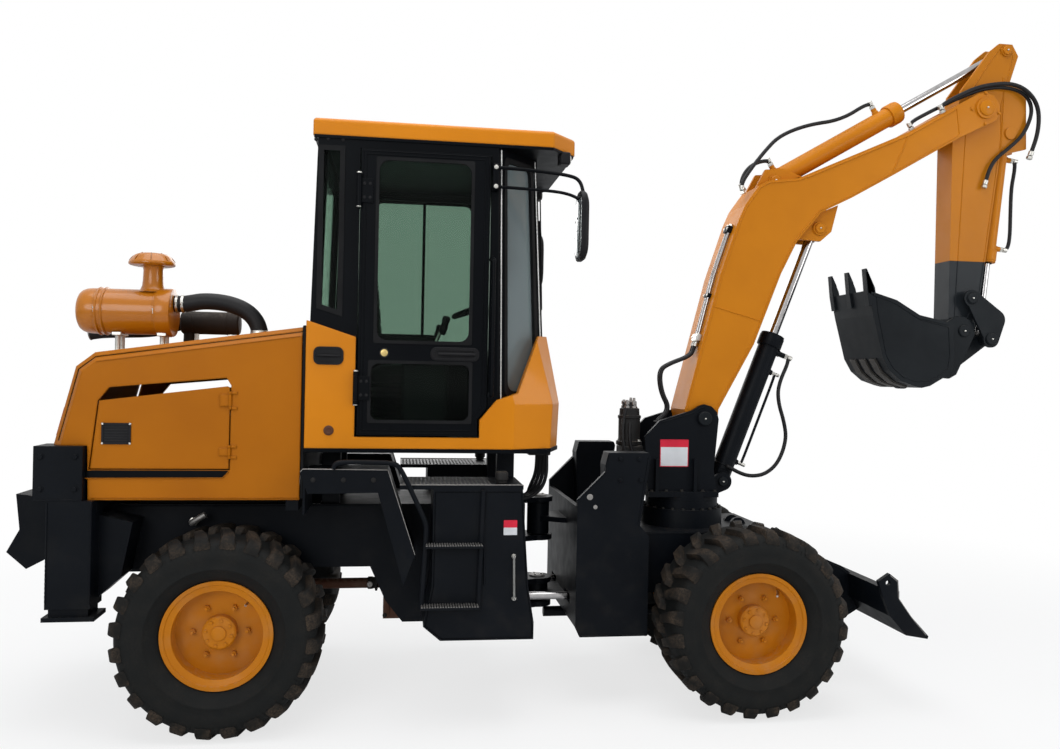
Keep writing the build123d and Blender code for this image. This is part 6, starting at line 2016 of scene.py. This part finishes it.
# ------------------------------------------------------------------ frames
@dataclass
class Frames:
    """Both frames, tanks, steps, outriggers, ballast, driveline, turret and blade."""

    tank_y: float = 680.0

    def tanks(self) -> None:
        """Checker plate decks, filler caps and ribs on both tanks; level gauge and blank label on the right one."""
        for hand, word in BOTH:
            face = hand * (self.tank_y + 0.3)
            rib = [at(1224, 1160, face), at(1238, 700, face)]
            bead(f"tank_rib_{word}", rib, Look.FRAME_BLACK, "chassis", 0.006)
            edge = [
                (992, 1150), (1412, 1150), (1446, 690), (1474, 515), (1474, 440), (1034, 442), (955, 506), (992, 700)
            ]
            seam(f"tank_weld_{word}", edge, self.tank_y, Look.FRAME_BLACK, "chassis", 2, 2.5)
            cap = [(0, 17.5), (4, 26), (18, 26), (20, 32), (52, 32), (58, 29), (62, 22), (65.5, 10)]
            turned(
                f"filler_cap_{word}", (1320, hand * 610, 1180), (1320, hand * 610, 1280), cap, Look.CASTING, "chassis",
                32,
            )
            self.checker(word, hand)
            lip = [(825, hand * 678, 1182), (1420, hand * 678, 1182)]
            bead(f"deck_lip_{word}", route(lip), Look.WORN_STEEL, "chassis", 0.0022)
        y = -(self.tank_y + 0.6)
        gauge = [(0, 5), (0.5, 9), (14, 9), (16, 6), (200, 6), (202, 9), (216, 9), (218, 5)]
        turned("level_gauge", (1383, y - 8, 626), (1378, y - 8, 845), gauge, Look.GAUGE_GLASS, "chassis", 14)
        places = [at(1383, 632, y), at(1378, 838, y)]
        bolts("level_gauge_bolts", places, (0, -1, 0), 0.008, 0.016, Look.ZINC)
        self.label("tank_label", (1326, 1392), (940, 1012), y, "chassis", 0.5)

    def label(
        self, name: str, x: tuple[float, float], z: tuple[float, float], y: float, body: str, share: float
    ) -> None:
        """Blank two-coloured label: red above, white below.

        Args:
            name: Start of the pieces' names.
            x: Its rear and front edge in millimetres.
            z: Its lower and upper edge in millimetres.
            y: The face that it lies on, in millimetres to the left.
            body: CAD body that it rides.
            share: Share of the height that is red.
        """
        split = z[1] - (z[1] - z[0]) * share
        for word, edges, look in (("white", (z[0], split), Look.WHITE_LABEL), ("red", (split, z[1]), Look.RED_LABEL)):
            slab(f"{name}_{word}", round_rectangle(x, edges, 2, 3), (y, y - 0.9), look, body, 0.0002)

    def checker(self, word: str, hand: int) -> None:
        """Raised bars on the deck: low four-sided ridges laid crosswise in a grid, alternately turned.

        Args:
            word: Side, for the piece's name.
            hand: 1 on the left, -1 on the right.
        """
        columns, rows = 22, 13
        x = np.linspace(842, 1262, columns)
        y = np.linspace(340, 664, rows)
        gx, gy = (a.ravel() for a in np.meshgrid(x, y))
        turn = np.where((np.arange(columns)[None, :] + np.arange(rows)[:, None]).ravel() % 2 == 0, 0.785, -0.785)
        shape = np.array([(-9, 0, 0), (0, -2.4, 0), (9, 0, 0), (0, 2.4, 0), (-5, 0, 1.6), (5, 0, 1.6)])
        c, s = np.cos(turn)[:, None], np.sin(turn)[:, None]
        px = gx[:, None] + c * shape[:, 0] - s * shape[:, 1]
        py = gy[:, None] + s * shape[:, 0] + c * shape[:, 1]
        pz = np.broadcast_to(1180.2 + shape[:, 2], px.shape)
        points = np.stack(at(px, pz, hand * py), -1)
        unit = np.array([(0, 1, 5), (0, 5, 4), (1, 2, 5), (2, 3, 5), (3, 0, 4), (3, 4, 5), (0, 3, 2), (0, 2, 1)])
        faces = (unit[None] + 6 * np.arange(len(gx))[:, None, None]).reshape(-1, 3)
        add_mesh(f"deck_checker_{word}", points, faces.tolist(), Look.WORN_STEEL, "chassis", 20)

    def steps(self) -> None:
        """Ladder: bent rail and stile of round tube, toothed rungs; mudguards: worn edge and bolts."""
        y = -(self.tank_y + 12.2)
        rail = [
            (512, y, 1258), (520, y, 1280), (545, y, 1291), (680, y, 1290), (790, y, 1288), (826, y, 1266),
            (900, y, 1110), (950, y, 1005), (954, y, 960), (942, y, 720), (936, y, 590),
        ]
        line = tube("ladder_rail", route(rail), 0.012, Look.FRAME_BLACK, "chassis", 18)
        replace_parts(line, "steps")
        tube(
            "ladder_stile", route([(1224, y, 1160), (1220, y, 1020), (1212, y, 700), (1208, y, 582)]), 0.012,
            Look.FRAME_BLACK, "chassis", 18,
        )
        for index, (x, length, z) in enumerate(((948, 276, 890), (930, 280, 600))):
            brick(f"rung_{index}", (x, y - 66, z), (x + length, y + 11, z + 12), Look.FRAME_BLACK)
            count = 22
            middle = np.linspace(x + 8, x + length - 8, count)
            tooth = np.array([(-4, -64, 12), (4, -64, 12), (4, 8, 12), (-4, 8, 12), (0, -64, 17), (0, 8, 17)])
            ahead, left, up = np.broadcast_arrays(middle[:, None] + tooth[:, 0], y + tooth[:, 1], z + tooth[:, 2])
            points = np.stack(at(ahead, up, left), -1)
            unit = np.array([(0, 1, 4), (2, 3, 5)])
            quads = np.array([(1, 2, 5, 4), (3, 0, 4, 5), (0, 3, 2, 1)])
            faces = [(f + 6 * i).tolist() for i in range(count) for f in (*unit, *quads)]
            add_mesh(f"rung_teeth_{index}", points, faces, Look.WORN_STEEL, "chassis", 20)
        edge = [(360, 1242), (373, 1256), (767, 1253), (902, 848)]
        places = [(x, 1205) for x in (420, 560, 700)]
        for side in BOTH:
            bead_on(side, "guard_edge", edge, self.tank_y - 1, Look.WORN_STEEL, radius=0.0022)
            bolts_on(side, "guard_bolts", places, self.tank_y + 0.3, 0.009, 0.007, Look.CASTING)

    def rear(self) -> None:
        """Rear frame: welds, outrigger bolts and foot pads, drain elbow, hinge pin caps, hoses below the cab."""
        places = [(x, z) for x in (-810, -660) for z in (1150, 1300)]
        pad = [(-792, 541), (-562, 541), (-562, 548), (-792, 548)]
        for side in BOTH:
            for name, line, y in (
                ("rail_top_weld", [(-560, 1032), (700, 1032)], 320.6),
                ("sleeve_front_weld", [(-586, 1085), (-586, 620)], 600.5),
                ("sleeve_rear_weld", [(-778, 1085), (-778, 620)], 600.5),
                ("sleeve_head_weld", [(-838, 1100), (-632, 1100)], 600.5),
            ):
                bead_on(side, name, line, y, Look.FRAME_BLACK, radius=0.004)
            bolts_on(side, "sleeve_bolts", places, 600.6, 0.012, 0.009, Look.FRAME_BLACK)
            slab_on(side, "foot_pad", pad, (442, 609), Look.WORN_STEEL, f"{side[1]}_outrigger_leg", 0.002)
        elbow = [(-190, -322, 955), (-190, -372, 955), (-180, -388, 962), (-160, -394, 975), (-120, -396, 1000)]
        tube("drain_elbow", route(elbow), 0.016, Look.WORN_STEEL, "chassis", 20)
        turned(
            "drain_elbow_nut", (-190, -321, 955), (-190, -421, 955), [(0, 18), (1, 23), (14, 23), (16, 19)], Look.ZINC,
            "chassis", 6,
        )
        for high, tag in ((588, "low"), (1040, "high")):
            turned(
                f"hinge_cap_{tag}", (1600, 0, high), (1600, 0, high + 100), [(0, 44), (6, 44), (9, 38)],
                Look.WORN_STEEL, "chassis", 36,
            )
            places = [at(1600 + 24 * math.cos(a), high + 8.5, 24 * math.sin(a)) for a in np.arange(3) * 2.094]
            bolts(f"hinge_cap_bolts_{tag}", places, (0, 0, 1), 0.007, 0.006, Look.ZINC)
        for index, y in enumerate((-250, -215, -180, -145)):
            drop = [
                (1600 - index * 12, y, 1342), (1602 - index * 12, y, 1270), (1604 - index * 14, y + 6, 1180),
                (1580 - index * 16, y + 20, 1105), (1520, y + 24, 1062), (1462, y + 20, 1052),
            ]
            Hose(f"cab_hose_{index}", drop, 10, "chassis", Look.HOSE, (True, False)).build()
        brick("cab_valve", (1500, -270, 1290), (1620, -120, 1341), Look.CASTING, "chassis", 0.006)

    def front(self) -> None:
        """Front frame: bolts of the slewing ring, weld beads, bosses and bolts on the towers."""
        middle, radius, seat = 2436, 217.5, 985.5
        places = [at(middle + radius * math.cos(a), seat, radius * math.sin(a)) for a in around(24)]
        bolts("ring_low_bolts", places, (0, 0, 1), 0.0085, 0.009, Look.CASTING, "front_chassis")
        places = ((1960, 1290), (2060, 1290), (1960, 1180), (2070, 1180))
        for side in BOTH:
            for name, line, y in (
                ("tower_edge_weld", [(1742, 1080), (1884, 1224), (1882, 1258), (1900, 1314)], 450.5),
                ("tower_shelf_weld", [(2060, 946), (2110, 1296)], 450.5),
                ("tower_low_weld", [(1765, 374), (2110, 374)], 450.5),
                ("nose_top_weld", [(2125, 878), (2870, 878), (2932, 800)], 320.5),
            ):
                bead_on(side, name, line, y, Look.FRAME_BLACK, "front_chassis")
            hand, word = side
            for index, (x, z, radius) in enumerate(((1800, 1092, 16), (1830, 1040, 11))):
                hole = [(0, radius), (1.2, radius), (1.6, radius - 2)]
                turned(
                    f"tower_boss_{word}_{index}", (x, hand * 450.2, z), (x, hand * 550, z), hole, Look.WORN_STEEL,
                    "front_chassis", 24,
                )
            bolts_on(side, "tower_bolts", places, 450.4, 0.011, 0.009, Look.FRAME_BLACK, "front_chassis")

    def turret(self) -> None:
        """Cheek and rib welds, blank label, ring bolts, and the slewing motor with its fittings and hoses."""
        cheek = [(2262, 1468), (2440, 1522), (2482, 1550), (2510, 1556)]
        for hand, word in BOTH:
            bead_on((hand, word), "cheek_weld", cheek, 165.4, Look.FRAME_BLACK, "slewing_turret", 0.003)
            for index, x in enumerate((2225, 2445)):
                for side in (0, 18):
                    line = [at(x + side, 1090, hand * 166), at(x + side, 1262, hand * 166)]
                    bead(f"rib_weld_{word}_{index}_{side}", line, Look.FRAME_BLACK, "slewing_turret", 0.003)
            places = [at(x, 1085.3, hand * 184) for x in (2206, 2290, 2380, 2500, 2570)]
            bolts(f"turret_bolts_{word}", places, (0, 0, 1), 0.009, 0.010, Look.CASTING, "slewing_turret")
        y = -165.6
        frame_outline = ((2256, 2420), (1222, 1374))
        ring(
            "turret_label_edge", grown(*frame_outline, 3, 0), grown(*frame_outline, 3, -4), (y, y - 1.2),
            Look.RED_LABEL, "slewing_turret",
        )
        self.label("turret_label", (2260, 2416), (1226, 1370), y, "slewing_turret", 0.27)
        base = [
            (0, 60), (2, 74), (22, 74), (26, 66), (34, 62), (150, 62), (154, 66), (168, 66), (172, 58), (208, 56),
            (212, 46), (226, 40), (245, 40),
        ]
        motor = turned("slew_motor_case", (2120, 0, 1330), (2120, 0, 1630), base, Look.CASTING, "slewing_turret", 44)
        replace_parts(motor, "slew_motor")
        brick("slew_gearbox", (2062, -74, 1121), (2188, 74, 1332), Look.CASTING, "slewing_turret", 0.012)
        places = [at(2120 + 66 * math.cos(a), 1352, 66 * math.sin(a)) for a in around(4, 0.785)]
        bolts("slew_motor_bolts", places, (0, 0, 1), 0.009, 0.010, Look.ZINC, "slewing_turret")
        for index, (x, side, top) in enumerate(
            ((2096, -36, 1588), (2096, 36, 1588), (2136, -36, 1600), (2136, 36, 1600))
        ):
            fitting = [(0, 14), (2, 16), (14, 16), (15, 11), (22, 11), (23, 15), (40, 15), (42, 9), (top - 1540, 7)]
            turned(
                f"slew_fitting_{index}", (x, side, 1540), (x, side, 1640), fitting, Look.WORN_STEEL, "slewing_turret",
                12,
            )
        for index, x in enumerate((2096, 2136)):
            side = -36
            loop = [
                (x, side, 1560), (x - 20, side - 8, 1500), (x - 34, side - 30, 1400), (x - 20, side - 44, 1290),
                (x + 60, side - 60, 1200), (x + 150, side - 60, 1150),
            ]
            tube(f"slew_hose_{index}", route(loop), 0.010, Look.HOSE, "slewing_turret", 14)
        turned(
            "hose_tie", (2150, -96, 1196), (2200, -96, 1168), [(0, 11), (0.5, 13.5), (9, 13.5), (9.5, 11)],
            Look.WHITE_LABEL, "slewing_turret", 18,
        )

    def blade(self) -> None:
        """Cutting edge with its bolts, and the welds of the arms and the end plates."""
        edge = forward([(893, 432), (917, 404.5), (914, 391), (868, 403)])
        slab("blade_edge", edge, (-699, 699), Look.WORN_STEEL, "blade_board", 0.002)
        places = [at(FRONT_AXLE + 878, 450, side) for side in np.linspace(-640, 640, 9)]
        bolts("blade_edge_bolts", places, (0.71, 0, 0.70), 0.012, 0.007, Look.WORN_STEEL, "blade_board")
        outline = forward(
            [(336, 632), (518, 725), (652, 672), (700, 636), (758, 446), (668, 392), (272, 382), (200, 412), (210, 506)]
        )
        loop = inset(outline, 3)
        loop = np.vstack([loop, loop[:1]])
        plate_edge = forward([(700, 722), (742, 690), (748, 604), (818, 508), (905, 410)])
        for side in BOTH:
            bead_on(side, "blade_arm_weld", loop, 268.3, Look.FRAME_BLACK, "blade_board", 0.003)
            bead_on(side, "blade_end_weld", plate_edge, 699, Look.WORN_STEEL, "blade_board", 0.002)

    def driveline(self) -> None:
        """Universal joints, gearbox ribs and bolts, and the bolt rings of the axle housings."""
        for index, (x, z, hand) in enumerate(((200, 560, 1), (716, 560, -1), (960, 385, 1), (1520, 385, -1))):
            yoke = [(0, 30), (4, 44), (14, 44), (18, 30), (34, 34), (52, 34), (56, 30)]
            turned(f"shaft_yoke_{index}", (x, 0, z), (x + hand * 100, 0, z), yoke, Look.CASTING, "chassis", 24)
            cross = [(0, 14), (2, 16), (84, 16), (86, 14)]
            turned(
                f"shaft_cross_{index}", (x + hand * 43, -43, z), (x + hand * 43, 57, z), cross, Look.WORN_STEEL,
                "chassis", 18,
            )
        places = [(x, z) for x in (758, 882) for z in (420, 600, 780)]
        for hand, word in BOTH:
            for index, x in enumerate((776, 820, 863)):
                brick(f"gearbox_rib_{word}_{index}", (x - 4, hand * 149, 420), (x + 4, hand * 162, 785), Look.PRIMER)
            bolts_on((hand, word), "gearbox_bolts", places, 150.3, 0.009, 0.008, Look.CASTING)
        spread = around(12)
        for end, x, body, hand in (("rear", 0.0, "chassis", -1), ("front", FRONT_AXLE, "front_chassis", 1)):
            places = [at(x + hand * 128, 482.5 + 58 * math.sin(a), 42 * math.cos(a)) for a in spread]
            bolts(f"{end}_axle_bolts", places, (hand, 0, 0), 0.008, 0.026, Look.CASTING, body)
            for side, word in BOTH:
                places = [at(x + 84 * math.cos(a), 482.5 + 84 * math.sin(a), side * 396) for a in spread]
                bolts(f"{end}_carrier_bolts_{word}", places, (0, -side, 0), 0.009, 0.008, Look.CASTING, body)

    def build(self) -> None:
        """Dresses everything below the cab."""
        for step in (self.tanks, self.steps, self.rear, self.front, self.turret, self.blade, self.driveline):
            step()
            LOG.info("frames %s", step.__name__)


# ------------------------------------------------------------------ studio
@dataclass
class Studio:
    """Plain pale floor, soft lamps, white surround and the camera, whose place and turn are its fields."""

    lens: float = 30.02
    eye: tuple = (REAR_AXLE_X + 0.8224, -4.9362, 1.7123)
    yaw: float = 0.14423
    pitch: float = 0.00186
    roll: float = 0.01927

    def camera(self) -> None:
        """Camera with its right, up and back axes worked out from yaw, pitch and roll."""
        forward = Vector(
            (math.sin(self.yaw) * math.cos(self.pitch), math.cos(self.yaw) * math.cos(self.pitch), math.sin(self.pitch))
        )
        level = Vector((math.cos(self.yaw), -math.sin(self.yaw), 0.0))
        up = level.cross(forward)
        right = level * math.cos(self.roll) + up * math.sin(self.roll)
        top = -level * math.sin(self.roll) + up * math.cos(self.roll)
        data = bpy.data.cameras.new("camera")
        data.lens = self.lens
        data.sensor_width = 36.0
        data.clip_end = 200.0
        thing = bpy.data.objects.new("camera", data)
        bpy.context.collection.objects.link(thing)
        turn = Matrix((right, top, -forward)).transposed()
        thing.matrix_world = Matrix.Translation(self.eye) @ turn.to_4x4()
        bpy.context.scene.camera = thing

    def floor(self) -> None:
        """Large pale floor, lighter to the camera than to the machine."""
        mesh = bpy.data.meshes.new("floor")
        reach = 60.0
        corners = [(-reach, -reach, -0.001), (reach, -reach, -0.001), (reach, reach, -0.001), (-reach, reach, -0.001)]
        mesh.from_pydata(corners, [], [(0, 1, 2, 3)])
        thing = bpy.data.objects.new("floor", mesh)
        bpy.context.collection.objects.link(thing)
        tools = NodeTools("floor")
        tools.shade(Base_Color=(0.8, 0.8, 0.8, 1), Roughness=0.9, Specular_IOR_Level=0.1)
        glow = tools.add("ShaderNodeEmission")
        glow.inputs["Strength"].default_value = 1.0
        path = tools.add("ShaderNodeLightPath")
        away = tools.add("ShaderNodeVectorMath", operation="LENGTH")
        tools.link(tools.coords, away.inputs[0])
        far = tools.ranged(away.outputs["Value"], smooth=True, From_Min=2.6, From_Max=7.0, To_Min=0.72)
        tools.blend(tools.times(path.outputs["Is Camera Ray"], far), tools.shader, glow)
        mesh.materials.append(tools.material)
        thing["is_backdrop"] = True

    def lamps(self) -> None:
        """Soft area lamps: a wide one above, one in front and one behind."""
        for name, place, target, size, power in (
            ("overhead", (-1.0, -1.0, 7.5), (0, 0, 0), 7.0, 360),
            ("front", (-4.5, -7.5, 4.0), (0, 0, 1.2), 4.0, 190),
            ("right", (6.0, -4.5, 3.5), (0.5, 0, 1.5), 3.0, 110),
            ("behind", (-1.0, 7.0, 4.0), (0, 0, 1.2), 5.0, 130),
        ):
            data = bpy.data.lights.new(name, "AREA")
            data.shape = "DISK"
            data.size = size
            data.energy = power
            thing = bpy.data.objects.new(name, data)
            bpy.context.collection.objects.link(thing)
            thing.location = place
            direction = Vector(target) - Vector(place)
            thing.rotation_mode = "QUATERNION"
            thing.rotation_quaternion = direction.to_track_quat("-Z", "Y")

    def surround(self) -> None:
        """World: white to the camera, softer on the machine."""
        world = bpy.data.worlds.new("surround")
        world.use_nodes = True
        tree = world.node_tree
        tree.nodes.clear()
        output = tree.nodes.new("ShaderNodeOutputWorld")
        soft = tree.nodes.new("ShaderNodeBackground")
        soft.inputs["Color"].default_value = (0.92, 0.96, 1.0, 1)
        soft.inputs["Strength"].default_value = 0.5
        white = tree.nodes.new("ShaderNodeBackground")
        white.inputs["Color"].default_value = (1, 1, 1, 1)
        white.inputs["Strength"].default_value = 1.0
        path = tree.nodes.new("ShaderNodeLightPath")
        seen = path.outputs["Is Camera Ray"]
        for kind in ("Is Glossy Ray", "Is Transmission Ray"):
            either = tree.nodes.new("ShaderNodeMath")
            either.operation = "MAXIMUM"
            tree.links.new(seen, either.inputs[0])
            tree.links.new(path.outputs[kind], either.inputs[1])
            seen = either.outputs[0]
        blend = tree.nodes.new("ShaderNodeMixShader")
        tree.links.new(seen, blend.inputs["Fac"])
        tree.links.new(soft.outputs[0], blend.inputs[1])
        tree.links.new(white.outputs[0], blend.inputs[2])
        tree.links.new(blend.outputs[0], output.inputs["Surface"])
        bpy.context.scene.world = world

    def build(self) -> None:
        """Sets the whole studio."""
        self.camera()
        self.floor()
        self.lamps()
        self.surround()
        bpy.context.scene.view_settings.view_transform = "Standard"


NODE_LOOKS = {
    Look.FRAME_BLACK: (
        "rear_frame", "front_frame", "rear_axle", "front_axle", "side_tanks", "mudguards", "steps", "rear_ballast",
        "left_outrigger", "right_outrigger", "turret", "blade", "blade_ram_barrel", "boom_ram_barrel",
        "left_steering_barrel", "right_steering_barrel",
    ),
    Look.CASTING: ("engine", "slew_motor"),
    Look.MUFFLER: ("exhaust",),
    Look.PRIMER: ("driveline",),
    Look.BONNET_YELLOW: ("bonnet", "left_bonnet_door", "right_bonnet_door", "air_cleaner"),
    Look.CAB_YELLOW: ("cab_panels", "cab_roof"),
    Look.CAB_BLACK: ("cab_frame", "right_door", "mirrors_and_rails"),
    Look.GLASS: ("cab_glass", "right_door_glass"),
    Look.SEAT: ("seat",),
    Look.TRIM: ("controls",),
    Look.HOSE: ("intake_pipe", "boom_hoses", "boom_ram_hoses", "stick_ram_hoses", "bucket_ram_hose"),
    Look.RED_LENS: ("tail_lamps",),
    Look.ARM_YELLOW: ("boom", "stick_ram_barrel", "bucket_ram_barrel"),
    Look.STICK_PAINT: ("stick",),
    Look.CHROME: (
        "boom_ram_rod", "stick_ram_rod", "bucket_ram_rod", "blade_ram_rod", "left_steering_rod", "right_steering_rod",
    ),
    Look.BUCKET_BLACK: ("bucket", "bucket_rocker", "bucket_link"),
}


def note_size(stage: str, record: dict) -> None:
    low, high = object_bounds()
    record[stage] = [list(low), list(high)]


def main() -> None:
    """Builds every sub-assembly in order."""
    logging.basicConfig(level=logging.INFO, format="%(message)s")
    sizes: dict = {}
    note_size("cad", sizes)
    for look, names in NODE_LOOKS.items():
        finish_nodes(look, *names)
    for end, x in (("rear", 0.0), ("front", FRONT_AXLE)):
        for side, hand in (("left", 1), ("right", -1)):
            Wheel(end, side, x, hand).build()
            LOG.info("wheel %s %s", end, side)
    Arm().build()
    Cab().build()
    EngineEnd().build()
    Frames().build()
    Studio().build()
    note_size("visual", sizes)


if __name__ == "__main__":
    main()
